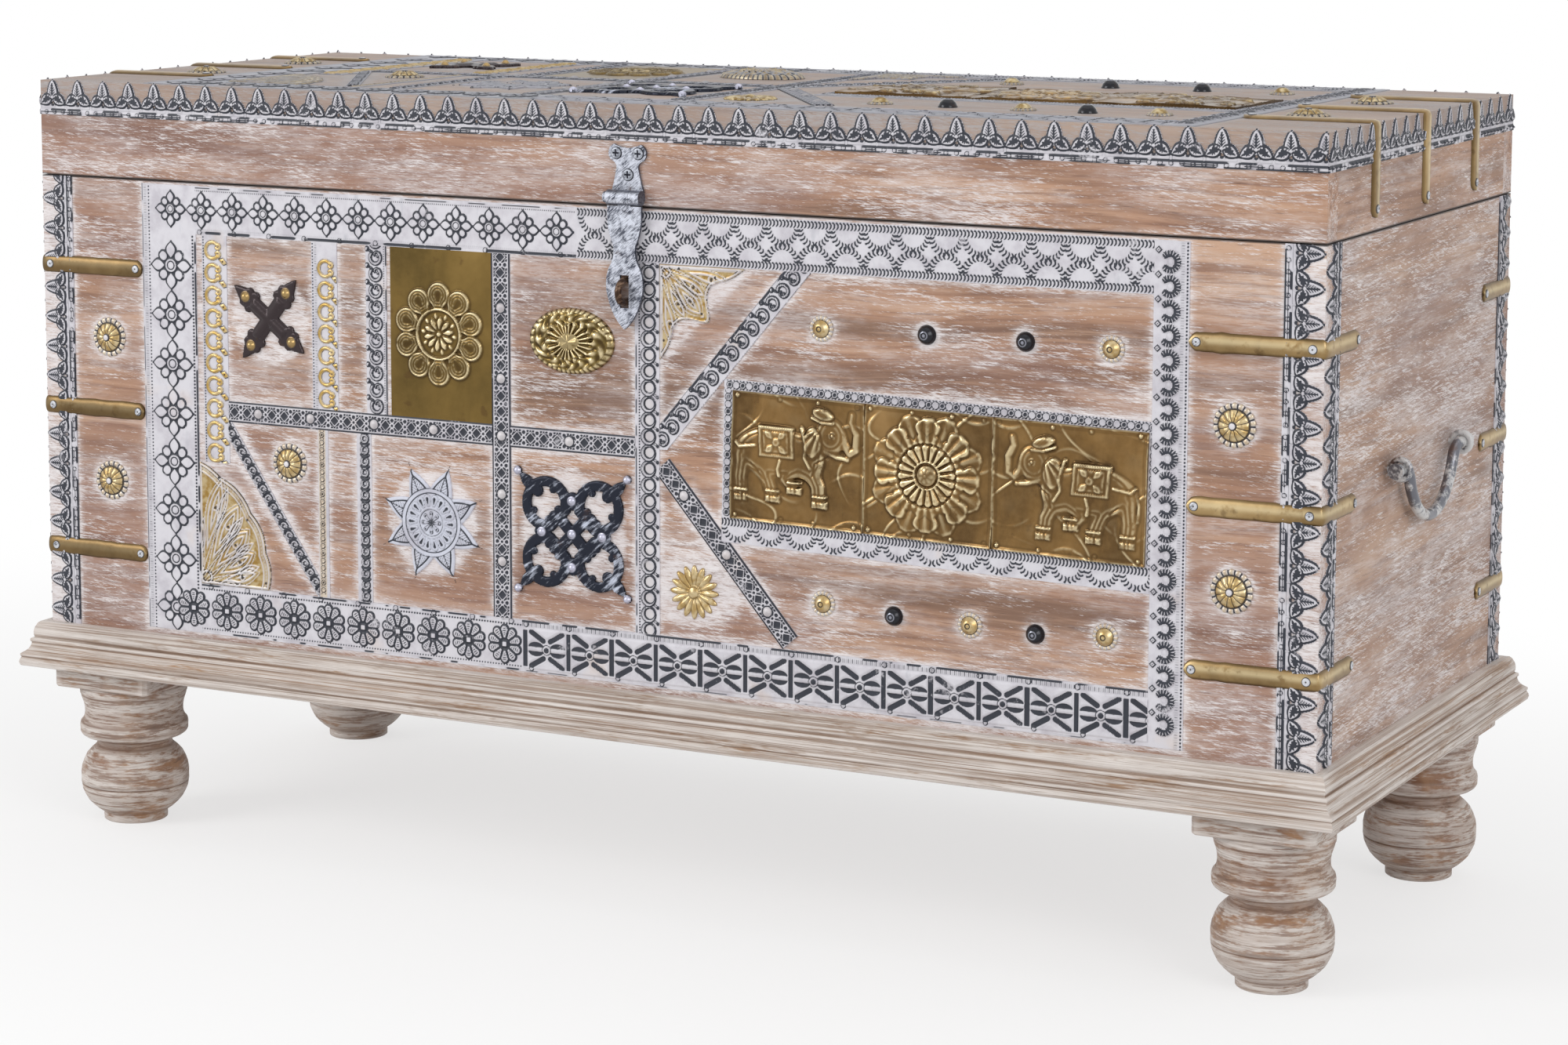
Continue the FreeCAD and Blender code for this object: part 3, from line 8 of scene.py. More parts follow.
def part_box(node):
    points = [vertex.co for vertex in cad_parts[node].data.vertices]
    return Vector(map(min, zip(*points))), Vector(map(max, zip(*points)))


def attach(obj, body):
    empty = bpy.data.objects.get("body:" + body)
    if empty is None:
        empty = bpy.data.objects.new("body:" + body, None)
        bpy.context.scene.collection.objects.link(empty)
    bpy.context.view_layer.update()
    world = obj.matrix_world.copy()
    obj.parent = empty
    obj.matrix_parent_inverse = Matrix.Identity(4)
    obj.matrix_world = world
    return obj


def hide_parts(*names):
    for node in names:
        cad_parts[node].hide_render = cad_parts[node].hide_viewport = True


# A dowry chest of limed wood, dressed with pressed sheet metal, brass and iron.
# The model comes in metres; the ornament is drawn here in millimetres on flat faces of the chest.

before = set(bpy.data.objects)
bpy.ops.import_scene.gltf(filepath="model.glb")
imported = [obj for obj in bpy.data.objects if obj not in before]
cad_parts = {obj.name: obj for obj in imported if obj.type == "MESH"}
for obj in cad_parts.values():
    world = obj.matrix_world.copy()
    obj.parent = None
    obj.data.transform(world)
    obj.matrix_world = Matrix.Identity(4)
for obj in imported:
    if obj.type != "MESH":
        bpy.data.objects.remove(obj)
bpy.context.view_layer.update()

MM = 0.001
STEP = 0.7           # spacing of the points on the front's pressed metal, mm
SIDE_STEP = 0.75     # on the corner strips
HIDDEN_STEP = 1.4    # on those at the back
TOP_STEP = 1.25      # on the lid
BASE = 0.6           # how far the lowest metal stands off the wood
PEN = 1.2            # how broad the dark paint lies beside a form, against the plain line
FAR = 9.0            # a distance beyond every form
BOARD = 22           # how thick the boards are
DEPTH = 446
HALF_LONG, HALF_DEEP = 575, DEPTH / 2
FRONT_HEIGHT = 387
BASE_Z, FACE_Z, LID_Z, LID_TOP_Z = 141, 179, 566.8, 646.8
LID_STRIP_Z = 617.8  # where the leaf strip round the lid begins
LEAF_LONG = 24.5     # a leaf of those strips
LEAF_STRIP = 31      # how wide the strips at the corners are
STRAP_RISE = 2.4     # how thick the brass straps are in the middle
STRAP_TIP = 471.5    # where their tips lie on the front and the lid, from the middle
STRAP_HEIGHTS = (490.4, 368.7, 246.5)
LID_STRAPS_Y = (-119.5, -1.0, 122.0)


# Places

class Plane:
    """A flat face of the chest: millimetres across, up and out of it give metres in the model."""

    def __init__(self, origin, across, up):
        self.origin = np.array(origin, float)
        self.across = np.array(across, float)
        self.up = np.array(up, float)
        self.out = np.cross(self.across, self.up)

    def place(self, u, v, w):
        u, v, w = (np.asarray(a, float)[..., None] for a in (u, v, w))
        return (self.origin + u * self.across + v * self.up + w * self.out) * MM

    def turned(self, u, v, degrees=0.0):
        """A plane with its zero at (u, v) on this one, turned about that spot."""
        a = math.radians(degrees)
        c, s = math.cos(a), math.sin(a)
        return Plane(self.origin + u * self.across + v * self.up,
                     c * self.across + s * self.up, c * self.up - s * self.across)


FRONT = Plane((0, -DEPTH / 2, FACE_Z), (1, 0, 0), (0, 0, 1))
TOP = Plane((0, -DEPTH / 2, LID_TOP_Z), (1, 0, 0), (0, 1, 0))


# Distances: below zero inside a form, in millimetres

def disc(x, y, r):
    return np.hypot(x, y) - r


def band(d, width):
    return np.abs(d) - width / 2


def oblong(x, y, half_x, half_y):
    return np.maximum(np.abs(x) - half_x, np.abs(y) - half_y)


def bar(x, y, x0, y0, x1, y1, r):
    dx, dy = x1 - x0, y1 - y0
    t = np.clip(((x - x0) * dx + (y - y0) * dy) / (dx * dx + dy * dy), 0, 1)
    return np.hypot(x - x0 - t * dx, y - y0 - t * dy) - r


def any_of(*forms):
    """Inside at least one of the forms."""
    return reduce(np.minimum, forms)


def all_of(*forms):
    """Inside every form."""
    return reduce(np.maximum, forms)


def comb(at, pitch, half=0.0):
    """Lines square to at, one in the middle of each pitch."""
    return np.abs(np.mod(at / pitch, 1) - 0.5) * pitch - half


def turned_axes(x, y, degrees):
    """Coordinates on axes turned by an angle."""
    a = math.radians(degrees)
    return x * math.cos(a) + y * math.sin(a), y * math.cos(a) - x * math.sin(a)


def slab(x, y, start, stop, half):
    """A length along +x that reaches half to either side."""
    return all_of(np.abs(y) - half, start - x, x - stop)


def path(x, y, points, r):
    """A round line through some points."""
    return any_of(*(bar(x, y, *one, *two, r) for one, two in zip(points, points[1:])))


def spun(x, y, count, turn=0.0):
    """Folds the plane so that one petal along +x stands for all round the middle."""
    step = 2 * math.pi / count
    a = np.mod(np.arctan2(y, x) - turn + step / 2, step) - step / 2
    r = np.hypot(x, y)
    return r * np.cos(a), r * np.sin(a)


def leaf(x, y, start, stop, half, fat=0.55, tip=1.0):
    """A leaf along +x, widest at the share fat of its length; tip over 1 draws a longer point."""
    t = np.clip((x - start) / (stop - start), 0, 1)
    e = math.log(0.5) / math.log(fat)
    return slab(x, y, start, stop, half * np.sin(math.pi * t ** e) ** tip) * 0.85


def petal(x, y, start, stop, half):
    """A petal along +x with a round outer end."""
    t = np.clip((x - start) / (stop - half - start), 0, 1)
    return any_of(slab(x, y, start, stop - half, half * (0.35 + 0.65 * t)), disc(x - stop + half, y, half))


def arc(x, y, r, start, stop, half):
    """Part of a ring, from one angle to another in degrees, with round ends."""
    mid, reach = math.radians((start + stop) / 2), math.radians((stop - start) / 2)
    a = np.arctan2(y, x) - mid
    a = np.abs(np.mod(a + math.pi, 2 * math.pi) - math.pi)
    ends = [disc(x - r * math.cos(end), y - r * math.sin(end), 0) for end in (mid - reach, mid + reach)]
    return np.where(a <= reach, np.abs(disc(x, y, r)), any_of(*ends)) - half


# Pressed sheets

class Patch:
    """A part of a sheet, with its own middle and direction, that a motif is pressed into."""

    def __init__(self, x, y, sheet, cut=...):
        self.x, self.y = x, y
        self.rise, self.ink, self.tint, self.edge = (
            values[cut] for values in (sheet.rise, sheet.ink, sheet.tint, sheet.edge))
        self.soft = 1.1 * sheet.step

    def shape(self, d):
        """Adds a form to the outline that the sheet is cut along."""
        np.minimum(self.edge, d, out=self.edge)

    def inside(self, d):
        return np.clip(0.5 - d / self.soft, 0, 1)

    def swell(self, d, height, roll=2.0):
        """Raises the metal inside the form, rounded over its edge."""
        t = np.clip(-d / roll, 0, 1)
        np.maximum(self.rise, height * np.sqrt(t * (2 - t)), out=self.rise)

    def sink(self, d, depth, roll=1.0):
        self.rise -= depth * np.clip(-d / roll, 0, 1)

    def lift(self, d, height):
        self.rise += height * self.inside(d)

    def dark(self, d, strength=1.0):
        np.maximum(self.ink, strength * self.inside(d), out=self.ink)

    def bare(self, d, share=1.0):
        self.ink *= 1 - share * self.inside(d)

    def outline(self, d, width=1.1, strength=1.0):
        self.dark(band(d, width * PEN), strength)

    def form(self, d, height, roll, width, strength=1.0):
        """Raises a form and draws its outline."""
        self.swell(d, height, roll)
        self.outline(d, width, strength)

    def gild(self, d, strength=1.0):
        np.maximum(self.tint, strength * self.inside(d), out=self.tint)

    def pale(self, d, share=1.0):
        self.tint *= 1 - share * self.inside(d)


class Sheet:
    """A piece of sheet metal as heights over a fine grid, with where it is dark and where gilt."""

    def __init__(self, left, right, low, high, step=STEP):
        across = np.linspace(left, right, max(2, round((right - left) / step) + 1))
        up = np.linspace(low, high, max(2, round((high - low) / step) + 1))
        self.u, self.v = np.meshgrid(across, up)
        self.left, self.right, self.low, self.high = left, right, low, high
        self.step = step
        self.rise, self.ink, self.tint = (np.zeros(self.u.shape) for _ in range(3))
        self.edge = np.full(self.u.shape, FAR)

    def patch(self, u, v, reach, turn=0.0, mirror=1):
        """The part of the sheet within reach of a spot."""
        rows = np.flatnonzero(np.abs(self.v[:, 0] - v) <= reach)
        columns = np.flatnonzero(np.abs(self.u[0] - u) <= reach)
        if not len(rows) or not len(columns):
            return None
        cut = (slice(rows[0], rows[-1] + 1), slice(columns[0], columns[-1] + 1))
        x, y = turned_axes(self.u[cut] - u, self.v[cut] - v, turn)
        return Patch(x, y * mirror, self, cut)

    def stamp(self, motif, u, v, reach, turn=0.0, mirror=1, **more):
        p = self.patch(u, v, reach, turn, mirror)
        if p is not None:
            motif(p, **more)

    def whole(self):
        return Patch(self.u, self.v, self)

    def away(self, u, v):
        """How far a spot is from the sheet's own rectangle."""
        return oblong(u - (self.left + self.right) / 2, v - (self.low + self.high) / 2,
                      (self.right - self.left) / 2, (self.high - self.low) / 2)

    def bend(self):
        """How sharply the metal turns up, over 0 in hollows and under 0 on ridges."""
        step_v, step_u = np.gradient(self.rise, self.step)
        return np.gradient(step_v, self.step, axis=0) + np.gradient(step_u, self.step, axis=1)


def attribute(mesh, name, values):
    mesh.attributes.new(name, "FLOAT", "POINT").data.foreach_set("value", values.astype(np.float32))


def solid_mesh(name, points, quads, others, smooth=None, **fields):
    """A mesh from points, an array of quads and a list of other faces, with values on its points."""
    mesh = bpy.data.meshes.new(name)
    flat = [np.asarray(quads).ravel()] + [np.asarray(face) for face in others]
    corners = np.concatenate(flat).astype(np.int32)
    counts = np.concatenate([np.full(len(quads), 4), [len(face) for face in others]]).astype(np.int32)
    mesh.vertices.add(len(points))
    mesh.vertices.foreach_set("co", np.asarray(points, np.float32).ravel())
    mesh.loops.add(len(corners))
    mesh.loops.foreach_set("vertex_index", corners)
    mesh.polygons.add(len(counts))
    mesh.polygons.foreach_set("loop_start", np.concatenate([[0], np.cumsum(counts)[:-1]]).astype(np.int32))
    shaded = np.zeros(len(counts), bool)
    shaded[:len(quads) if smooth is None else smooth] = True
    mesh.polygons.foreach_set("use_smooth", shaded)
    mesh.update(calc_edges=True)
    mesh.validate()
    for key, values in fields.items():
        attribute(mesh, key, values)
    return mesh


def piece(name, shape, material, body, slot, *nodes):
    """Puts a piece in the scene, on the body that it moves with; its shape is a mesh or a pile."""
    mesh = shape.mesh(name) if isinstance(shape, Pile) else shape
    thing = bpy.data.objects.new(name, mesh)
    bpy.context.scene.collection.objects.link(thing)
    mesh.materials.append(material)
    if nodes:
        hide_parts(*nodes)
    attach(thing, body)
    return thing


class Pile:
    """Collects parts of one piece: points, quads, other faces and values on the points."""

    def __init__(self):
        self.points, self.quads, self.flat_quads, self.others = [], [], [], []
        self.ink, self.tint = [], []
        self.count = 0

    def add(self, points, quads=(), flat_quads=(), others=(), ink=None, tint=None):
        n = len(points)
        self.points.append(points)
        for faces, kept in ((quads, self.quads), (flat_quads, self.flat_quads)):
            if len(faces):
                kept.append(np.asarray(faces) + self.count)
        self.others += [np.asarray(face) + self.count for face in others]
        self.ink.append(np.zeros(n) if ink is None else ink)
        self.tint.append(np.zeros(n) if tint is None else tint)
        self.count += n

    def mesh(self, name):
        joined = [np.concatenate(kept) if kept else np.zeros((0, 4), int)
                  for kept in (self.quads, self.flat_quads)]
        return solid_mesh(name, np.concatenate(self.points), np.concatenate(joined), self.others,
                          smooth=len(joined[0]), ink=np.concatenate(self.ink),
                          tint=np.concatenate(self.tint))


def grid_quads(rows, columns):
    at = np.arange(rows * columns).reshape(rows, columns)
    return np.stack([at[:-1, :-1], at[:-1, 1:], at[1:, 1:], at[1:, :-1]], -1).reshape(-1, 4)


def blurred(values):
    """Each value eased twice towards its four neighbours."""
    for _ in range(2):
        values = sum((np.roll(values, way, axis) for axis in (0, 1) for way in (1, -1)), values) / 5
    return values


def ink_with_shade(ink):
    """Dark paint, with faint painted shade beside each line."""
    return np.maximum(ink, 0.55 * blurred(ink))


def closing(face, back, rows, columns):
    """Four sides and a back behind a grid: their points and faces, and the grid's points on the rim."""
    at = np.arange(rows * columns).reshape(rows, columns)
    edges = (at[0], at[:, -1], at[-1, ::-1], at[::-1, 0])
    faces, count = [[3, 2, 1, 0]], 4
    for k, edge in enumerate(edges):
        faces.append([k, (k + 1) % 4, *range(count + len(edge) - 1, count - 1, -1)])
        count += len(edge)
    rim = np.concatenate(edges)
    return np.concatenate([back, face[rim]]), faces, rim


def add_sheet(pile, sheet, plane):
    """A rectangular sheet, closed by four sides and a back."""
    sheet.ink = ink_with_shade(sheet.ink)
    rows, columns = sheet.u.shape
    top = plane.place(sheet.u, sheet.v, BASE + sheet.rise).reshape(-1, 3)
    pile.add(top, quads=grid_quads(rows, columns), ink=sheet.ink.ravel(), tint=sheet.tint.ravel())
    back = plane.place([sheet.left, sheet.right, sheet.right, sheet.left],
                       [sheet.low, sheet.low, sheet.high, sheet.high], [0] * 4)
    points, faces, rim = closing(top, back, rows, columns)
    pile.add(points, others=faces, ink=np.concatenate([np.zeros(4), sheet.ink.ravel()[rim]]))


def add_cutout(pile, sheet, plane, d):
    """The part of a sheet where d is below zero, its outline drawn in to d = 0, with sides and a back."""
    sheet.ink = ink_with_shade(sheet.ink)
    rows, columns = sheet.u.shape
    near = 0.6 * sheet.step
    step_v, step_u = np.gradient(d, sheet.step)
    length = np.maximum(np.hypot(step_u, step_v), 0.5)
    pull = np.where(d > -near, d, 0) / length ** 2
    reach = 0.9 * sheet.step
    u = sheet.u - np.clip(pull * step_u, -reach, reach)
    v = sheet.v - np.clip(pull * step_v, -reach, reach)
    quads = grid_quads(rows, columns)
    kept = quads[(d.ravel()[quads] < near).all(1)]
    used, index = np.unique(kept, return_inverse=True)
    faces = index.reshape(-1, 4)
    n = len(used)
    u, v, w = (a.ravel()[used] for a in (u, v, BASE + sheet.rise))
    ink, tint = sheet.ink.ravel()[used], sheet.tint.ravel()[used]
    top = plane.place(u, v, w)
    pile.add(top, quads=faces, ink=ink, tint=tint)
    edges = np.stack([faces, np.roll(faces, -1, 1)], -1).reshape(-1, 2)
    key = np.sort(edges, 1) @ np.array([n, 1])
    _, first, times = np.unique(key, return_index=True, return_counts=True)
    rim = edges[first[times == 1]]
    back = plane.place(u, v, np.zeros(n))
    sides = np.stack([rim[:, 1], rim[:, 0], rim[:, 0] + n, rim[:, 1] + n], -1)
    pile.add(np.concatenate([top, back]), flat_quads=np.concatenate([sides, faces[:, ::-1] + n]),
             ink=np.concatenate([ink, ink]))


def add_round(pile, plane, u, v, radii, shape, spokes=48):
    """A round piece: shape(r, angle) gives, for each ring, its reach, height, ink and tint."""
    angle = np.linspace(0, 2 * math.pi, spokes, endpoint=False)
    r, a = np.meshgrid(np.asarray(radii, float), angle, indexing="ij")
    reach, height, ink, tint = shape(r, a)
    height[-1] = 0
    rows = len(radii)
    top = plane.place(u + reach * np.cos(a), v + reach * np.sin(a), height).reshape(-1, 3)
    at = np.arange(rows * spokes).reshape(rows, spokes)
    after = np.roll(at, -1, 1)
    quads = np.stack([at[:-1], at[1:], after[1:], after[:-1]], -1).reshape(-1, 4)
    pile.add(top, quads=quads, others=[at[0], at[-1][::-1]],
             ink=np.broadcast_to(ink, r.shape).ravel(), tint=np.broadcast_to(tint, r.shape).ravel())


# Motifs pressed into the sheets; each is drawn round its own middle

def four_petals(p, half):
    """A flower with four pointed petals, four round lobes between them and a ring in the middle."""
    s = half / 15
    x, y = spun(p.x, p.y, 4)
    long_leaf = leaf(x, y, 4.2 * s, 15.2 * s, 3.9 * s, 0.52)
    x, y = spun(p.x, p.y, 4, math.pi / 4)
    lobe = disc((x - 8.3 * s) / 1.15, y * 0.95, 3.1 * s)
    lobe = all_of(lobe, -disc(x - 12.6 * s, y, 1.1 * s))
    ring, groove = disc(p.x, p.y, 4.7 * s), disc(p.x, p.y, 2.6 * s)
    p.swell(lobe, 0.7, 1.6 * s)
    p.swell(long_leaf, 0.95, 2.0 * s)
    p.swell(ring, 1.1, 1.2 * s)
    p.outline(any_of(lobe, long_leaf, ring), 1.25)
    p.outline(long_leaf, 0.75, 0.75)
    p.outline(lobe, 0.75, 0.7)
    p.dark(band(groove, 0.8 * s), 0.9)
    p.outline(ring, 0.8)
    p.sink(band(groove, 1.2 * s), 0.6, 0.5)


def daisy(p, radius):
    """Ten petals with ribs across them and a square nail in the middle."""
    s = radius / 15.5
    x, y = spun(p.x, p.y, 10, math.pi / 10)
    one = petal(x, y, 4.5 * s, 15.5 * s, 3.7 * s)
    p.form(one, 0.95, 1.5, 1.3)
    inner = petal(x, y, 5.6 * s, 14.1 * s, 2.4 * s)
    p.outline(inner, 0.5, 0.55)
    p.dark(all_of(comb(x + 0.525 * s, 1.75 * s, 0.42 * s), inner + 0.7 * s), 0.85)
    p.dark(disc(p.x, p.y, 4.7 * s), 0.85)
    p.bare(oblong(p.x, p.y, 2.1 * s, 2.1 * s))
    p.swell(oblong(p.x, p.y, 2.6 * s, 2.6 * s), 1.2, 1.4)
    p.dark(band(oblong(p.x, p.y, 2.3 * s, 2.3 * s), 0.8), 1.0)


def crossed_cell(p, pitch=40.3, high=33.0):
    """A square cell between two dark slots: slanting arms, dark lobes, a light bar and a rivet."""
    x, y = np.abs(p.x), np.abs(p.y)
    cell = oblong(p.x, p.y, pitch / 2, high / 2)
    arm = all_of(bar(x, y, 3.2, 7.2, pitch / 2 - 5.6, high / 2 - 2.6, 2.15), y - high / 2 + 1.0)
    lobe = all_of(disc((x - 10.2) / 1.7, y - 1.6, 4.2), 1.9 - y)
    slot = all_of(pitch / 2 - 1.9 - x, y - high / 2 + 1.6)
    dark = any_of(arm, lobe, slot)
    p.swell(all_of(-dark + 0.3, cell), 0.9, 1.2)
    p.dark(dark)
    p.bare(all_of(comb(p.x + 0.6 * p.y, 1.7, 0.4), arm, 4 - p.x), 0.55)
    p.outline(dark - 1.5, 0.4, 0.35)
    p.swell(bar(x, y, 0, 0, 13.5, 0, 1.7), 1.2, 1.3)
    p.bare(bar(x, y, 0, 0, 13.5, 0, 1.5))
    p.dark(all_of(comb(p.y + 0.195 * p.x, 1.3, 0.22), bar(x, y, 5, 0, 17, 0, 2.8), 4.6 - x), 0.5)
    p.outline(disc(x, y, 4.0), 0.7, 0.8)
    p.swell(disc(x, y, 3.3), 1.9, 2.4)
    p.dark(disc(p.x - 0.3, y, 2.3), 0.85)
    p.swell(disc(x, y, 1.5), 2.2, 1.5)


def little_arcs(p, long, bend, wide=1.4):
    """One dash of a dashed row, bowed to the side."""
    d = bar(p.x - bend * (1 - (p.y / long * 2) ** 2), p.y, 0, -long / 2, 0, long / 2, wide / 2)
    p.dark(d, 0.95)
    p.sink(d, 0.4, 0.6)
    p.dark(disc(p.x + 0.4, p.y - long / 2, 0.75))
    p.swell(disc(p.x + 1.1, p.y, 0.7), 0.6, 0.8)


def dashes(sheet, start, stop, v, long=4.6, pitch=3.05):
    for u in row(start, stop, pitch):
        sheet.stamp(little_arcs, u, v, 4.5, long=long, bend=1.0)


def dashed_arch(sheet, u, v, half, rise, long=4.0, count=10):
    """A half oval set out in dashes, standing on v, or hanging from it where rise is below zero."""
    for k in range(count):
        a = math.pi * (k + 0.5) / count
        x, y = half * math.cos(a), rise * math.sin(a)
        turn = math.degrees(math.atan2(y, x)) - 90
        sheet.stamp(little_arcs, u + x, v + y, 4.5, turn=turn, long=long, bend=0.8 if x > 0 else -0.8)


def dots(sheet, points, radius=0.85, strength=0.9):
    for u, v in points:
        p = sheet.patch(u, v, radius + 1.5)
        if p is not None:
            d = disc(p.x, p.y, radius)
            p.dark(d, strength)
            p.sink(d, 0.35, 0.6)


def row(start, stop, pitch):
    return np.arange(start, stop, pitch)


def dot_row(sheet, v, start, stop, pitch, radius, strength=0.9):
    dots(sheet, [(u, v) for u in row(start, stop, pitch)], radius, strength)


def dot_column(sheet, u, start, stop, pitch, radius):
    dots(sheet, [(u, v) for v in row(start, stop, pitch)], radius)


def horseshoe(p, r=6.0, half=3.0):
    """A dark open ring with pale hatched edges."""
    shoe = arc(p.x, p.y, r, -128, 128, half)
    p.swell(shoe, 1.3, 1.8)
    a = np.arctan2(p.y, p.x)
    p.dark(shoe + 0.5 + 0.42 * np.cos(a * 30), 0.95)
    ribs_round = comb(a * 9 / math.pi, 1) * 2.1 - 0.45
    p.bare(all_of(ribs_round, band(disc(p.x, p.y, r + 0.7), half * 0.9)), 0.8)
    p.outline(disc(p.x, p.y, r - half - 0.7), 0.45, 0.45)
    p.swell(disc(p.x, p.y, 2.0), 0.5, 1.6)


def bud(p, r=2.3):
    d = np.abs(p.x) * 0.75 + np.abs(p.y) * 0.75 - r
    p.swell(d, 1.0, 1.4)
    p.dark(band(d + 0.5, 0.9), 0.95)
    p.dark(disc(p.x, p.y, 0.7), 0.7)


def scroll(p, s=1.0):
    """A gilt C with curled ends, open to the right, and a small bud by its mouth."""
    curls = [arc(p.x - 5.4 * s, p.y - k * 3.2 * s, 2.0 * s, start, start + 270, 0.95 * s)
             for k, start in ((1, -150), (-1, -120))]
    whole = any_of(arc(p.x, p.y, 6.6 * s, 42, 318, 1.35 * s), *curls)
    p.swell(whole, 1.5, 1.3 * s)
    p.gild(whole - 0.2)
    p.outline(whole - 0.35, 0.75, 0.6)
    p.outline(arc(p.x, p.y, 6.6 * s, 60, 300, 0.15), 0.4, 0.5)
    x, y = p.x - 10.5 * s, p.y + 8.8 * s
    eye = np.abs(x) * 0.5 + np.abs(y + 0.35 * x) * 0.8 - 2.2 * s
    p.swell(eye, 1.0, 1.2)
    p.gild(eye)
    p.outline(eye - 0.2, 0.7, 0.75)
    p.dark(disc(x, y, 0.8 * s), 0.95)


def heart_ring(p, s=1.0):
    """A dark-edged ring that curls in at the top like a heart, with a bud at the left."""
    whole = any_of(arc(p.x, p.y, 5.0 * s, -225, 45, 1.35 * s),
                   arc(p.x - 1.2 * s, p.y - 2.6 * s, 2.0 * s, -60, 200, 0.85 * s))
    p.form(whole, 1.2, 1.2 * s, 0.9, 0.95)
    p.dark(whole + 0.75 * s, 0.45)
    knob = disc(p.x + 8.2 * s, p.y - 6.9 * s, 1.9 * s)
    p.form(knob, 0.9, 1.2, 0.9)
    p.outline(bar(p.x, p.y, -6.8 * s, 6.1 * s, -3.6 * s, 4.6 * s, 0.7 * s), 0.8)


def moon_ring(p):
    """A crescent ring, thick on its left, with a dark bud at its right."""
    x, y = p.x - 1.0, p.y + 0.5
    whole = all_of(disc(p.x, p.y, 6.6), -disc(x, y, 4.5))
    p.form(whole, 1.25, 1.3, 0.85, 0.95)
    p.outline(arc(p.x, p.y, 5.4, 110, 250, 0.1), 0.45, 0.7)
    p.dark(arc(x, y, 3.9, 100, 260, 0.3), 0.7)
    p.gild(disc(p.x, p.y, 4.0), 0.1)
    knob = disc(p.x - 8.6, p.y - 6.9, 1.9)
    p.swell(knob, 1.1, 1.3)
    p.dark(knob + 0.35, 0.85)
    p.outline(bar(p.x, p.y, 5.0, 5.0, 7.6, 6.4, 0.8), 0.7, 0.8)


def link(p, s=1.0):
    """A small pressed ring with a crest, one of a chain."""
    ring = np.abs(disc(p.x, p.y, 2.9 * s)) - 1.2 * s
    both = any_of(ring, arc(p.x + 1.0 * s, p.y, 5.0 * s, 130, 230, 0.7 * s),
                  oblong(p.x - 4.4 * s, p.y, 0.6 * s, 3.4 * s))
    p.form(both, 1.5, 1.2, 0.8, 0.85)
    p.dark(ring + 0.75, 0.55)


def lattice(p, pitch=12.5, half=7.0):
    """One cell of the dark band: a diamond with a dark heart between scrolls."""
    x, y = np.abs(p.x), np.abs(p.y)
    diamond = x * 0.72 + y * 0.72 - 3.3
    light = any_of(np.abs(diamond) - 0.55,
                   *(np.abs(disc(x - u, y - v, r)) - thick for u, v, r, thick in (
                       (pitch / 2, 4.4, 2.1, 0.5), (pitch / 2, 0, 1.7, 0.5), (2.6, 6.0, 1.5, 0.45))))
    light = all_of(light, y - half)
    p.bare(light + 0.08, 0.95)
    p.swell(light - 0.2, 0.9, 0.8)
    p.bare(np.abs(diamond + 1.7) - 0.35, 0.5)


def nail(p, r=3.9, rise=2.6):
    """A round-headed nail, with painted shade low on its right."""
    d = disc(p.x, p.y, r)
    p.bare(disc(p.x, p.y, r + 0.2))
    p.swell(d, rise, r)
    p.outline(disc(p.x, p.y, r + 0.5), 0.9, 0.9)
    p.gild(d, 0.1)
    # Painted shade on the lower right of the head
    p.dark(disc(p.x - 0.35 * r, p.y + 0.2 * r, 0.45 * r), 0.3)


def tiny_ring(p, r, filled=0.0):
    p.swell(np.abs(disc(p.x, p.y, r)) - 0.5, 0.8, 0.7)
    p.outline(disc(p.x, p.y, r + 0.6), 0.6, 0.95)
    p.dark(disc(p.x, p.y, r - 0.6), 0.25 + 0.75 * filled)


def trefoil(p):
    """A tall ribbed leaf pointing outward over two side leaves, with a bud at its foot."""
    x, y, far = p.x, p.y, np.abs(p.y)
    t = np.clip((x - 9.0) / 15.5, 0, 1)
    tall = all_of((far - 6.3 * np.sqrt(np.clip(1 - t ** 2.3, 0, 1)) * (1 - 0.25 * t)) * 0.85, 9.0 - x)
    side = []
    for k in (1, -1):
        dx, dy = x - 10.0, k * y - 1.0
        side.append(leaf(-0.47 * dx + 0.883 * dy, 0.883 * dx + 0.47 * dy - 0.6, -0.6, 13.4, 4.7, 0.42, 0.9))
    sides = any_of(*side)
    foot = slab(x, y, 0, 3.4, 12.5)
    p.shape(any_of(tall, sides, foot) - 0.9)
    p.swell(tall, 1.1, 2.0)
    p.swell(sides, 1.3, 1.8)
    p.outline(tall, 1.1)
    p.outline(sides, 1.15)
    p.outline(foot + 0.4, 0.8, 0.5)
    vein = comb(x - far * 0.9, 2.2) / 1.4 - 0.36
    p.dark(all_of(vein, tall + 1.9), 0.95)
    p.dark(slab(x, y, 11, 22.0, 0.55), 0.95)
    p.dark(sides + 2.1 + 0.6 * np.cos(np.arctan2(x - 7.4, far - 6.4) * 7), 0.95)
    p.swell(disc(x - 10.0, y, 1.5), 1.7, 1.2)
    p.bare(disc(x - 10.0, y, 1.3))
    p.outline(disc(x - 10.0, y, 1.7), 0.5, 0.7)
    p.dark(disc(x - 4.0, y * 1.1, 1.7), 0.95)
    p.swell(band(disc(x - 4.0, y, 2.6), 1.0), 1.0, 0.6)


# Strips of the frame and the fields

class Layout:
    """Where the ornament lies on the front or the lid: millimetres across, and up from its edge."""

    def __init__(self, name, plane, height, step):
        self.name, self.plane, self.step = name, plane, step
        self.covers = []
        self.low, self.high = 5, height - 2.5
        self.foot, self.head = self.low + 42.5, self.high - 40.5
        self.rise = self.head - self.foot
        self.shelf = self.up(0.5029)

    def up(self, share):
        return self.foot + share * self.rise

    def pick(self, front, top):
        """Takes the places for the face that is being dressed."""
        return front if self.name == "front" else top


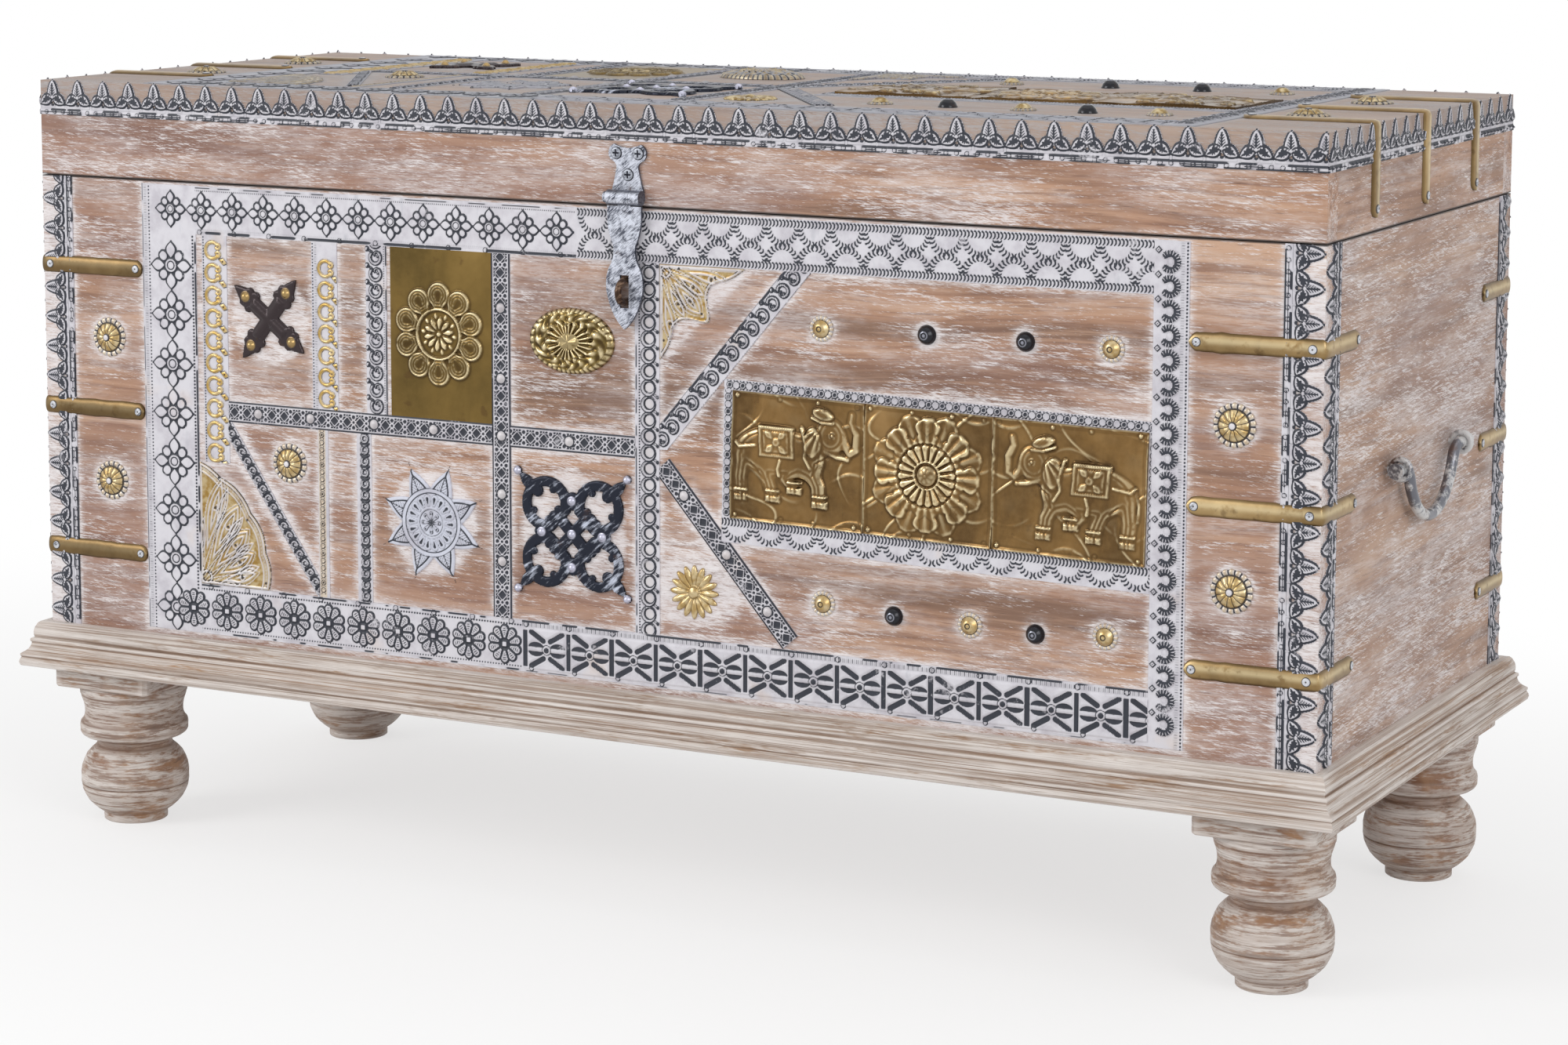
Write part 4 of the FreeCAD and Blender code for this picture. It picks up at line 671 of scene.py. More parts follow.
SIDE = 471
LEFT, RIGHT = -416, 443
FLORAL_END, DAISY_END = -47.7, -100.0
EDGE_STRIP = (-410.0, -385.0)
SCROLL_STRIP = (-300.1, -275.1)
RING_STRIP = (-246.8, -226.8)
PLATE = (-223.1, -127.1)
POST = (-126.7, -109.3)
CENTRE = (5.5, 27.5)
THIN_STRIP = (-296.0, -286.0)
NARROW_STRIP = (-257.5, -243.5)
FRIEZE_MIDDLE, FRIEZE_SHARE = 266.3, 0.4958
FRIEZE_TILT = -1.2
HALF_FRIEZE = (174.0, 50.5)
HALF_BAND = 8.7


def line(sheet, u0, v0, u1, v1, width, strength=0.9, broken=0.0, seed=0):
    """A dark line along a strip, broken here and there as worn paint is."""
    p = sheet.whole()
    d = bar(p.x, p.y, u0, v0, u1, v1, width / 2)
    if broken:
        rng = np.random.default_rng(seed)
        length = math.hypot(u1 - u0, v1 - v0)
        knots = np.linspace(0, length, max(3, int(length / 9)))
        along = ((p.x - u0) * (u1 - u0) + (p.y - v0) * (v1 - v0)) / length
        full = np.interp(along, knots, rng.random(len(knots)))
        strength = strength * np.clip((full - broken) * 6, 0, 1)
    p.dark(d, strength)
    p.sink(d, 0.3, 0.6)


def ribs(sheet, horizontal, at, width, start, stop, pitch=1.9, strength=0.6):
    """A narrow band of short ribs across a strip's edge."""
    p = sheet.whole()
    along, across = (p.x, p.y) if horizontal else (p.y, p.x)
    inside = slab(along, across - at, start, stop, width / 2)
    rib = comb(along, pitch, pitch * 0.22)
    p.dark(all_of(inside, rib), strength)
    p.rise += 0.35 * p.inside(inside) * np.clip(0.5 + rib, 0, 1)


def small_flowers(sheet, layout):
    for u in row(-441, FLORAL_END - 8, 31.3):
        sheet.stamp(four_petals, u, (layout.head + layout.high) / 2, 17, half=15)


def daisies(sheet):
    for k in range(10):
        sheet.stamp(daisy, -424 + 34.2 * k, 26, 18, radius=15.8)


def top_border(layout):
    """Flowers to the left of the hasp, dashed arches from there on."""
    floral = Sheet(LEFT, FLORAL_END, layout.head, layout.high, layout.step)
    small_flowers(floral, layout)
    line(floral, LEFT, layout.high - 1.7, FLORAL_END, layout.high - 1.7, 0.8, 0.95, 0.35, 1)
    dot_row(floral, layout.high - 3.9, LEFT, FLORAL_END, 1.95, 0.55)
    line(floral, LEFT, layout.head + 1.6, FLORAL_END, layout.head + 1.6, 2.3, 0.95, 0.22, 2)
    dot_row(floral, layout.head + 4.0, LEFT, FLORAL_END, 2.0, 0.5, 0.55)
    for u in row(LEFT + 4, FLORAL_END, 35):
        floral.stamp(tiny_ring, u, layout.head + 1.8, 4, r=1.5)
    arched = Sheet(FLORAL_END, RIGHT, layout.head, layout.high, layout.step)
    for v in (layout.high - 3.6, layout.head + 3.6):
        dashes(arched, FLORAL_END + 2, RIGHT, v)
    middle = (layout.head + layout.high) / 2
    for u in row(-30.6, RIGHT, 27.8):
        dashed_arch(arched, u, middle + 13.8, 12.6, -12.6, count=12)
        dashed_arch(arched, u, middle - 13.8, 12.6, 12.6, count=12)
        p = arched.patch(u + 13.9, middle, 9)
        if p is not None:
            p.swell(np.abs(p.x) + np.abs(p.y) - 8, 1.2, 3)
    return floral, arched


def blank_round(p):
    """Ground hammered flat for a motif that laps over a row of others."""
    d = disc(p.x, p.y, 16.5)
    p.bare(d)
    p.sink(d, 0.6)


def left_border(layout):
    sheet = Sheet(-SIDE, LEFT, layout.low, layout.high, layout.step)
    small_flowers(sheet, layout)
    first, last = 25, layout.high - 68
    for v in np.linspace(first, last, round((last - first) / 41.6) + 1):
        sheet.stamp(four_petals, -441.5, v, 22, half=20)
    sheet.stamp(blank_round, -424, 26, 17)
    daisies(sheet)
    ribs(sheet, False, -467.5, 3.2, layout.low, layout.high)
    dot_column(sheet, -463.8, layout.low, layout.high, 2.9, 0.75)
    dot_column(sheet, -419.5, layout.low + 38, layout.high - 40, 2.9, 0.95)
    line(sheet, LEFT - 0.9, layout.foot, LEFT - 0.9, layout.head, 1.8, 0.95, 0.2, 3)
    line(sheet, -SIDE + 0.6, layout.low, -SIDE + 0.6, layout.high, 0.9, 0.7, 0.3, 4)
    return [sheet]


def right_border(layout):
    sheet = Sheet(RIGHT, SIDE, layout.low, layout.high, layout.step)
    for v in row(layout.low + 18, layout.high - 12, 18.2):
        sheet.stamp(horseshoe, 455.8, v, 11.5)
        sheet.stamp(bud, 446.6, v + 8.6, 4.5)
    ribs(sheet, False, 465.6, 3.0, layout.low, layout.high)
    dot_column(sheet, 469.2, layout.low, layout.high, 2.7, 0.85)
    return [sheet]


def base_border(layout):
    """Daisies on the left, crossed cells on the right."""
    flowered = Sheet(LEFT, DAISY_END, layout.low, layout.foot, layout.step)
    daisies(flowered)
    dot_row(flowered, layout.foot - 4.4, LEFT, DAISY_END, 2.6, 0.85)
    line(flowered, LEFT, layout.foot - 1.3, DAISY_END, layout.foot - 1.3, 1.5, 0.9, 0.4, 5)
    dot_row(flowered, layout.low + 4.0, LEFT, DAISY_END, 2.6, 0.7)
    line(flowered, LEFT, layout.low + 1.2, DAISY_END, layout.low + 1.2, 1.4, 0.9, 0.5, 6)
    for u in row(LEFT + 10, DAISY_END, 37):
        flowered.stamp(tiny_ring, u, layout.foot - 2.0, 4, r=1.6)
    crossed = Sheet(DAISY_END, RIGHT, layout.low, layout.foot, layout.step)
    for k in range(14):
        crossed.stamp(crossed_cell, -76.7 + 40.2 * k, 24.6, 22)
    ribs(crossed, True, layout.foot - 3.3, 3.8, DAISY_END, RIGHT, 1.7, 0.7)
    line(crossed, DAISY_END, layout.foot - 0.9, RIGHT, layout.foot - 0.9, 1.6, 0.9, 0.25, 7)
    line(crossed, DAISY_END, layout.low + 1.0, RIGHT, layout.low + 1.0, 0.9, 0.8, 0.45, 8)
    for u in row(DAISY_END + 9, RIGHT, 40.2):
        crossed.stamp(tiny_ring, u, layout.low + 3.4, 4, r=1.3)
        crossed.stamp(tiny_ring, u - 5, layout.foot - 3.2, 4, r=1.6)
    return flowered, crossed


def scroll_strips(layout):
    """Two strips of gilt scrolls, beside the frame and above the shelf."""
    low, shelf_high = layout.up(0.3541), layout.shelf + HALF_BAND
    edge = Sheet(*EDGE_STRIP, low, layout.head, layout.step)
    for v in row(low + 8, layout.head - 4, 19):
        edge.stamp(scroll, -399.2, v, 16, s=1.03)
    dot_column(edge, -408.6, low, layout.head, 2.4, 0.75)
    second = Sheet(*SCROLL_STRIP, shelf_high, layout.head, layout.step)
    for v in row(shelf_high + 9, layout.head - 4, 18):
        second.stamp(scroll, -286.4, v, 15, s=0.97)
    ribs(second, False, -296.2, 2.6, layout.shelf, layout.head)
    dot_column(second, -299.0, layout.shelf, layout.head, 2.6, 0.7)
    return edge, second


def ring_strips(layout):
    """The strips of hearts, links, small rings and moons."""
    top = layout.shelf + HALF_BAND
    hearts = Sheet(*RING_STRIP, top, layout.head, layout.step)
    for v in row(top + 6.5, layout.head + 4, 13.6):
        hearts.stamp(heart_ring, -237.2, v, 13)
    dot_column(hearts, -229.3, top, layout.head, 2.0, 0.55)
    line(hearts, -227.4, top, -227.4, layout.head, 1.3, 0.95, 0.2, 9)
    shelf_low = layout.shelf - HALF_BAND
    narrow = Sheet(*NARROW_STRIP, layout.foot, shelf_low, layout.step)
    for v in row(layout.foot + 5, shelf_low, 9.4):
        narrow.stamp(link, -249.6, v, 8, turn=90)
    thin = Sheet(*THIN_STRIP, layout.foot, shelf_low, layout.step)
    for k, v in enumerate(row(layout.foot + 3, shelf_low, 3.1)):
        if k % 2:
            thin.stamp(tiny_ring, -292.0, v, 4, r=1.5, filled=k % 8 == 3)
        else:
            dots(thin, [(-293.7, v), (-290.3, v)], 0.6)
    thin.whole().gild(np.abs(thin.u + 292) - 3.4, 0.5)
    ribs(thin, False, -287.4, 1.8, layout.foot, shelf_low, 1.7, 0.4)
    centre = Sheet(*CENTRE, layout.foot, layout.head, layout.step)
    for v in row(layout.foot + 3, layout.head + 5, 12.95):
        centre.stamp(moon_ring, 17.6, v, 13.5, mirror=-1)
    dot_column(centre, 9.4, layout.foot, layout.head, 2.3, 0.72)
    line(centre, 6.6, layout.foot, 6.6, layout.head, 0.9, 0.9, 0.35, 10)
    return hearts, narrow, thin, centre


def studded(sheet, nails, upright=False):
    """The dark band with light lattice, an edge line along each side and nails."""
    p = sheet.whole()
    sides, ends = (sheet.left, sheet.right), (sheet.low, sheet.high)
    (low, high), (start, stop) = (sides, ends) if upright else (ends, sides)
    mid = (low + high) / 2
    away = np.abs((p.x if upright else p.y) - mid)
    p.dark(away - 7.0, 0.95)
    for at in row(start + 6.2, stop + 6, 12.5):
        spot, turn = ((mid, at), 90) if upright else ((at, mid), 0)
        sheet.stamp(lattice, *spot, 9, turn=turn)
    p.ink *= np.where(np.abs(away - 6.9) < 0.45, 0.15, 1)
    p.dark(np.abs(away - 8.1) - 0.75, 0.95)
    p.lift(np.abs(away - 7.0) - 0.5, 0.5)
    for u, v in nails:
        sheet.stamp(nail, u, v, 7)


def studded_bands(layout):
    middle = (POST[0] + POST[1]) / 2
    post = Sheet(*POST, layout.foot, layout.head, layout.step)
    nails = [layout.up(share) for share in (0.156, 0.342, 0.502, 0.659, 0.852)]
    studded(post, [(middle, v) for v in nails], upright=True)
    left = Sheet(EDGE_STRIP[1], POST[0], layout.shelf - HALF_BAND, layout.shelf + HALF_BAND, layout.step)
    studded(left, [(u, layout.shelf) for u in (-355, -302.7, -240, -182.5)])
    right = Sheet(POST[1], CENTRE[0], layout.shelf - HALF_BAND, layout.shelf + HALF_BAND, layout.step)
    studded(right, [(-54.7, layout.shelf)])
    return post, left, right


def slanted_sheet(layout, first, second, width, limits, draw):
    """A strip along a slanting line, cut to the field and round the frieze."""
    (u0, v0), (u1, v1) = first, second
    degrees, length = math.degrees(math.atan2(v1 - v0, u1 - u0)), math.hypot(u1 - u0, v1 - v0)
    left, right, low, high = limits
    sheet = Sheet(-30, length + 30, -width / 2 - 1, width / 2 + 1, layout.step)
    draw(sheet, length)
    u, v = turned_axes(sheet.u, sheet.v, -degrees)
    u, v = u0 + u, v0 + v
    field = all_of(np.abs(sheet.v) - width / 2, left - u, u - right, low - v, v - high)
    x, y = frieze_axes(layout, u, v)
    frieze = all_of(np.abs(x) - HALF_FRIEZE[0] - 8, y - HALF_FRIEZE[1] - 8, -y - HALF_FRIEZE[1] - 20)
    return sheet, layout.plane.turned(u0, v0, degrees), all_of(field, -frieze)


def frieze_axes(layout, u, v):
    return turned_axes(u - FRIEZE_MIDDLE, v - layout.up(FRIEZE_SHARE), FRIEZE_TILT)


def draw_links(sheet, length):
    for at in row(-22, length + 25, 9.0):
        sheet.stamp(link, at, 0, 8, s=0.95)
    sheet.ink = np.maximum(sheet.ink, 0.12)


def draw_hearts(sheet, length):
    for at in row(-20, length + 25, 13.6):
        sheet.stamp(heart_ring, at, -0.6, 12, turn=-90, s=0.92, mirror=-1)
    line(sheet, -30, 7.6, length + 30, 7.6, 1.5, 0.95, 0.35, 21)
    dot_row(sheet, 5.8, -30, length + 30, 2.0, 0.5, 0.7)


def draw_lattice(sheet, length):
    studded(sheet, [(at * length, 0) for at in (0, 0.51, 1)])


def slanted_strips(layout):
    """The three slanting strips: links at the left, hearts and lattice right of the centre."""
    beside = (EDGE_STRIP[1], THIN_STRIP[0], layout.foot, layout.shelf - HALF_BAND)
    above = (CENTRE[1], RIGHT, layout.shelf, layout.head)
    below = (CENTRE[1], RIGHT, layout.foot, layout.shelf)
    for (u0, share0), (u1, share1), width, limits, draw in (
            ((-389.8, 0.4781), (-293.0, 0.0095), 11, beside, draw_links),
            ((34.1, 0.5485), (143.5, 0.978), 18, above, draw_hearts),
            ((49.7, 0.3847), (124.0, 0.0961), 17.4, below, draw_lattice)):
        yield slanted_sheet(layout, (u0, layout.up(share0)), (u1, layout.up(share1)), width, limits, draw)


# Plaques and studs

def double_petals(p, radius):
    """The brass flower: ten petals drawn in double lines round a ringed flower."""
    s = radius / 42.7
    x, y = spun(p.x, p.y, 10, math.pi / 2)
    outer = petal(x, y, 20 * s, 42.7 * s, 10.6 * s)
    p.swell(outer, 1.6, 3.0)
    for inset, width in ((1.5, 1.3), (4.2, 1.0), (6.4, 0.9)):
        rib = band(petal(x, y, (19 + inset) * s, (42.7 - inset) * s, (10.6 - inset) * s), width)
        p.rise += 0.9 * np.clip(-rib / 0.5, 0, 1)
        p.bare(rib)
        p.dark(rib - 0.8, 0.45)
        p.bare(rib, 0.8)
    p.dark(petal(x, y, 24 * s, 35.0 * s, 2.4 * s), 0.7)
    r = np.hypot(p.x, p.y)
    p.rise[r < 19.6 * s] = 0.4
    p.ink[r < 19.6 * s] = 0.0
    p.swell(band(r - 20.4 * s, 2.4), 2.6, 1.2)
    p.dark(band(r - 18.8 * s, 1.0), 0.5)
    small = leaf(*spun(p.x, p.y, 10, 0.2), 2.5 * s, 14.5 * s, 2.7 * s, 0.62)
    p.form(small, 2.4, 2.0, 0.8, 0.55)
    p.swell(leaf(*spun(p.x, p.y, 10, 0.2 + math.pi / 10), 11.5 * s, 17.5 * s, 1.6 * s), 1.2, 1.2)
    p.swell(disc(p.x, p.y, 2.2 * s), 2.2, 2.0)
    p.dark(band(r - 2.6 * s, 0.9), 0.6)


def eight_star(p):
    """A white plaque: a sun disc and eight ribbed leaves."""
    x, y = spun(p.x, p.y, 8, math.radians(25))
    r, far = np.hypot(p.x, p.y), np.abs(y)
    t = np.clip((x - 20) / 27.5, 0, 1)
    point = all_of((far - 11.8 * (1 - t ** 1.7)) * 0.85, 18 - x)
    p.shape(any_of(point, r - 28.5))
    p.swell(point, 1.0, 1.5)
    blade = all_of((far - 8.2 * (1 - np.clip((x - 22) / 19.5, 0, 1) ** 1.7)) * 0.85, 25 - x)
    p.form(blade, 1.9, 2.0, 1.0, 0.9)
    vein = comb(x - far * 1.1, 3.0) / 1.5 - 0.4
    p.sink(all_of(vein, blade + 0.6), 0.7, 0.5)
    p.dark(all_of(vein + 0.1, blade + 0.9), 0.75)
    p.dark(all_of(far - 0.4, blade + 0.4), 0.85)
    p.lift(all_of(band(point + 1.7, 1.1), comb(x, 2.2, 0.6)), 0.4)
    p.dark(band(point + 2.9, 0.7), 0.6)
    p.rise[r < 28] = 0.9
    p.ink[r < 28] = 0.0
    a = np.arctan2(p.y, p.x)
    beads = all_of(band(r - 26.6, 2.6), 0.35 - np.abs(np.sin(a * 36)))
    p.swell(beads + 0.4, 1.9, 1.0)
    p.dark(band(r - 24.6, 1.0), 0.85)
    p.dark(band(r - 28.3, 0.9), 0.7)
    x, y = spun(p.x, p.y, 18)
    drop = petal(x, y, 13.5, 23.5, 3.2)
    p.form(drop, 2.1, 1.6, 0.6, 0.6)
    p.dark(petal(x, y, 15.0, 21.6, 1.6), 0.6)
    p.sink(petal(x, y, 14.5, 22.0, 1.9), 0.9, 1.2)
    p.swell(band(r - 12.2, 1.5), 2.0, 0.7)
    p.dark(band(r - 11.0, 0.9), 0.7)
    x, y = spun(p.x, p.y, 8)
    small = petal(x, y, 2, 9.3, 1.5)
    p.form(small, 1.9, 1.0, 0.7, 0.7)
    p.dark(disc(x - 7.4, y, 0.8), 0.8)
    p.dark(disc(p.x, p.y, 1.5), 1.0)


def pierced_iron(p, width=110):
    """The arabesque: four pierced rings with trefoils inside, joined at the middle, and four arms."""
    s = width / 112
    x, y = np.abs(p.x) / s, np.abs(p.y) / s
    fill = any_of(*(disc(x - u, y - v, r) for u, v, r in (
        (17.5, 13.5, 4.6), (13.5, 19.0, 3.6), (22.5, 10.5, 3.4), (36.5, 17.0, 3.0), (18.5, 35.0, 3.0),
        (33.0, 33.5, 5.2))))
    hole = all_of(disc(x - 25.0, y - 23.5, 14.0), -fill)
    ring = all_of(disc(x - 24.5, y - 23, 23.0), -hole)
    hub = x + y - 19
    gap = any_of(np.abs(x - 13.2) + y - 6.0, x + np.abs(y - 13.4) - 6.0)
    tab = any_of(disc(x - 28, y, 7.5), disc(x, y - 27, 7.5))
    arm = leaf((x - 38) * 0.72 + (y - 36) * 0.69, (y - 36) * 0.72 - (x - 38) * 0.69, -5, 17, 5.0, 0.45)
    whole = all_of(any_of(ring, hub, tab, arm, disc(x - 51.5, y - 49.0, 3.6)), -gap) * s
    p.shape(whole)
    p.swell(whole, 2.2, 1.4)
    for u, v in ((0, 0), (28.5, 0), (0, 27.5), (51.5, 49.0)):
        d = disc(x - u, y - v, 3.7) * s
        p.swell(d, 4.4, 3.7)
        p.gild(d, 1.0)
        p.outline(d - 0.4, 0.9, 0.6)


def spade_cross(p):
    """The iron cross: four round arms with collars and spade ends."""
    x, y = spun(p.x, p.y, 4)
    far = np.abs(y)
    arm = all_of(far - 6.6, x - 30)
    collar = any_of(disc(x - 21.5, far - 5.8, 4.1), disc(x - 28.0, far - 4.6, 4.3))
    t = np.clip((x - 27) / 16, 0, 1)
    tip = all_of((far - 8.0 * (1 - t) ** 0.75) * 0.8, 27 - x)
    whole = any_of(arm, collar, tip)
    p.shape(whole)
    p.swell(whole, 2.2, 1.5)
    p.swell(all_of(far - 5.4, x - 22), 3.6, 5.0)
    head = disc(x - 28.8, y, 4.2)
    p.swell(head, 5.4, 4.0)
    p.gild(head, 1.0)


def silver_line(p, d, height=0.6, width=1.2):
    """A raised line that stays white, with gold and dirt left in the hollows beside it."""
    line_d = band(d, width)
    p.rise += height * np.clip(-line_d / 0.5, 0, 1)
    p.dark(band(np.abs(d) - width / 2 - 0.5, 0.6), 0.5)
    p.bare(line_d)
    p.pale(line_d, 0.85)


def plume(p, degrees, long, half, side):
    """One plume of the palmette: teardrops one inside the other, with a curl in the head."""
    x, y = turned_axes(p.x, p.y, degrees)
    y = y - side * np.clip(x / long, 0, 1.2) ** 2 * long
    d = leaf(x, y, 4, long, half, 0.68)
    p.swell(d, 1.0, 3.0)
    silver_line(p, np.where(d < 0.6, -comb(d, 3.1, 1.55) - 3.1 * (d > 0), FAR))
    x = x - long * 0.7
    silver_line(p, np.abs(disc(x, y, 2.6)) + 3 * ((x > 0) & (y > 0)), 0.5, 1.0)
    p.dark(disc(x, y, 1.3), 0.7)


def plumes(p, *rows):
    """Plumes from one foot: the direction, length, half width and bend of each."""
    for degrees, long, half, side in rows:
        plume(p, degrees, long, half, side)


def fan_corner(p, wide=69, tall=105):
    """The palmette in the lower left corner: plumes and buds spread from its foot."""
    p.tint[:] = 1.0
    p.ink[:] = 0.3
    a = np.arctan2(p.y, p.x)
    share = np.clip(a / (math.pi / 2), 0, 1)
    edge = wide + 2 + (tall - wide - 3) * share ** 1.6 - 2.4 * (1 - np.abs(np.sin(share * math.pi * 3.5)))
    rim = disc(p.x, p.y, edge) * 0.9
    d = all_of(rim, -p.x, -p.y)
    p.shape(d)
    p.swell(d, 0.7, 1.5)
    silver_line(p, d + 1.4, 0.7, 1.5)
    silver_line(p, rim + 6.2)
    p.pale(all_of(band(rim + 3.8, 1.6), comb(a * 26, 1, 0.25)), 0.7)
    plumes(p, (9, 62, 7.5, 0.08), (27, 65, 9.5, 0.04), (45, 72, 10.5, 0.0), (62, 83, 10.5, -0.03),
           (79, 97, 9.5, -0.06))
    buds = ((18, 40, 62), (36, 42, 66), (54, 46, 74), (71, 52, 88), (4, 18, 40), (87, 26, 56))
    for degrees, at, long in buds:
        x, y = turned_axes(p.x, p.y, degrees)
        silver_line(p, leaf(x, y, at, long, 3.4), 0.5, 1.0)
        silver_line(p, leaf(x, y, at + 5, long - 5, 1.2), 0.4, 0.9)
    silver_line(p, disc(p.x - 6, p.y - 6, 5.0), 0.7, 1.4)
    for u, v in ((8, 10), (66, 6), (48, 58), (20, 92)):
        p.dark(disc(p.x - u, p.y - v, 1.1), 0.9)


def triangle_corner(p, leg=78.2):
    """The gilt triangle: plumes spread down from its corner, the widest on its diagonal."""
    p.y = -p.y
    p.tint[:] = 1.0
    p.ink[:] = 0.25
    slope, along = (p.x + p.y - leg) / math.sqrt(2), np.abs(p.x - p.y) / math.sqrt(2)
    bulge = 15.5 * np.exp(-(along / 9.0) ** 2) - 5.5 * np.exp(-((along - 24) / 11.0) ** 2)
    d = all_of(slope - bulge + 9.5 * np.exp(-(along / 40.0) ** 2), -p.x, -p.y)
    p.shape(d)
    p.swell(d, 0.7, 1.5)
    silver_line(p, d + 1.3, 0.7, 1.4)
    silver_line(p, any_of(p.x, p.y) - 2.6, 0.5, 0.9)
    plumes(p, (11, 68, 6.5, 0.02), (79, 68, 6.5, -0.02), (27, 50, 6.5, 0.05), (63, 50, 6.5, -0.05),
           (45, 56, 9.0, 0.0))
    silver_line(p, disc(p.x - 6, p.y - 6, 4.0), 0.7)
    for u, v in ((18, 2.5), (50, 8), (75, 2), (4, 60), (38, 37)):
        p.dark(disc(p.x - u, p.y - v, 1.0), 0.9)


def join(a, b, k):
    """Two forms run into each other over the width k."""
    h = np.clip(0.5 + 0.5 * (b - a) / k, 0, 1)
    return b * (1 - h) + a * h - k * h * (1 - h)


def elephant(p):
    """A dressed elephant walking to the right with its trunk raised."""
    x, y = p.x, p.y

    def egg(u, v, half_x, half_y, r):
        return np.hypot((x - u) / half_x, (y - v) / half_y) * r - r

    def limb(r, *points):
        return path(x, y, points, r)

    whole = join(join(egg(-18, 4, 37, 19.5, 24), egg(10, 2, 13, 18, 15), 8), egg(29, 21, 13.5, 14.5, 14), 5)
    for leg in (limb(6.4, (-47, -2), (-49, -18), (-48, -31)), limb(6.2, (-30, -6), (-24, -20), (-21, -29)),
                limb(5.2, (-2, -8), (-10, -16), (-4, -22)), limb(6.2, (11, -6), (18, -20), (19, -30))):
        whole = join(whole, leg, 5)
    trunk = limb(3.6, (37, 24), (41, 14), (45, 9), (50, 12), (50.5, 24), (46, 33), (47, 39))
    jaw = limb(2.6, (24, 9), (34, 5), (43, 4))
    whole = join(whole, join(trunk, jaw, 2), 3)
    p.form(whole, 3.0, 5.5, 1.2, 0.5)
    p.lift(band(whole + 4.6, 1.4), -0.35)
    for u, v in ((-48, -34), (-20.5, -33), (-2, -25), (20, -34)):
        foot, anklet = oblong(x - u, y - v, 6.6, 3.2), oblong(x - u, y - v - 6.4, 6.2, 1.1)
        p.form(foot, 3.4, 2.0, 0.9, 0.5)
        p.form(anklet, 3.9, 1.0, 0.7, 0.5)
        p.sink(all_of(comb(x - u, 3.2, 0.35), foot), 1.0, 0.4)
    across, up = x + 17 + 0.06 * y, y - 12.0
    cloth, inner = oblong(across, up, 15.5, 12.5), oblong(across, up, 11.6, 8.8)
    p.form(cloth, 4.0, 1.0, 1.0, 0.6)
    p.lift(band(inner, 0.9), -0.6)
    p.outline(inner, 0.7, 0.45)
    p.lift(all_of(cloth + 0.6, -inner - 0.8, comb(x + y * 0.2, 2.0, 0.35)), -0.5)
    figure = any_of(leaf(*spun(across, up, 4, math.pi / 4), 3, 12.5, 2.5), disc(x + 17, up, 3.2))
    p.lift(all_of(figure, inner), 0.8)
    p.dark(all_of(band(figure, 0.7), inner), 0.5)
    p.lift(all_of(np.cos((x + y) * 2.2) * np.cos((x - y) * 2.2) * 0.5, inner), 0.3)
    ear = egg(13.5, 14, 8.5, 13, 9)
    p.swell(ear, 4.2, 3.0)
    p.rise += 0.45 * np.cos(np.arctan2(y - 27, x - 20.5) * 17) * p.inside(ear + 1)
    p.outline(ear, 1.0, 0.5)
    hat = disc((x - 22) / 9.5, (y + 0.2 * x - 41.4) / 5.2, 1) * 6
    p.form(hat, 4.4, 2.5, 0.9, 0.5)
    p.lift(all_of(comb(x + y, 2.6, 0.3), hat + 1), -0.5)
    p.form(limb(1.6, (13, 34), (21, 31), (31, 31)), 4.0, 1.2, 0.7, 0.45)
    eye = disc(x - 30.5, y - 21.5, 0)
    p.swell(band(eye - 2.4, 0.8), 4.0, 0.5)
    p.swell(eye - 1.1, 4.2, 0.8)
    p.dark(band(eye - 1.7, 0.7), 0.6)
    p.form(limb(1.5, (4, 25), (8, 12), (7, 2), (12, -6)), 4.1, 1.2, 0.7, 0.4)
    p.swell(limb(1.3, (-53, 8), (-56, -4), (-55, -16)), 2.0, 1.0)
    p.swell(limb(1.4, (-36, 8), (-50, 6), (-53, 9)), 3.9, 1.0)
    p.swell(limb(1.8, (-14, -2), (-16, -9), (-15, -14)), 3.8, 1.2)
    p.sink(any_of(limb(0.8, (26, 4), (16, -2), (14, -12)), limb(0.8, (-40, -6), (-33, -12))), 0.8, 0.8)


def acanthus_rosette(p):
    """Two rows of eight lobed leaves round a daisy of twenty petals and a boss."""
    root = 14
    for turn, reach, half, height in ((math.pi / 8, 49, 11.5, 2.4), (0.0, 45, 12.0, 3.4)):
        x, y = spun(p.x, p.y, 8, turn)
        t = np.clip((x - root) / (reach - root), 0, 1)
        lobes = np.clip(1 - (2 * t ** 1.15 - 1) ** 4, 0, 1) ** 0.5 * (0.74 + 0.26 * np.abs(np.cos(t * 8.4)))
        d = slab(x, y, root, reach, half * lobes)
        rib = np.cos(np.arctan2(y, x - root + 6) * 22)
        body = np.clip(-d / 3.2, 0, 1)
        np.maximum(p.rise, height * np.sqrt(body * (2 - body)) * (0.86 + 0.14 * rib), out=p.rise)
        p.outline(d, 1.1, 0.6)
        p.dark(all_of(np.abs(rib + 1) * 2 - 0.25, d + 1.2), 0.35)
    r = np.hypot(p.x, p.y)
    well = r < 25
    p.rise[well] = np.minimum(p.rise[well], 1.2)
    p.ink[well] = 0.25
    one = petal(*spun(p.x, p.y, 20, 0.08), 9, 25, 3.5)
    p.swell(one, 3.4, 2.6)
    p.bare(one + 0.5)
    p.outline(one, 0.8, 0.55)
    p.swell(band(r - 10.6, 1.8), 3.6, 0.9)
    p.swell(r - 9.2, 5.2, 9.0)
    p.dark(band(r - 9.4, 1.0), 0.5)
    p.rise -= 0.35 * p.inside(band(petal(*spun(p.x, p.y, 7), 1.5, 7, 2.2), 0.7)) * (r < 9)


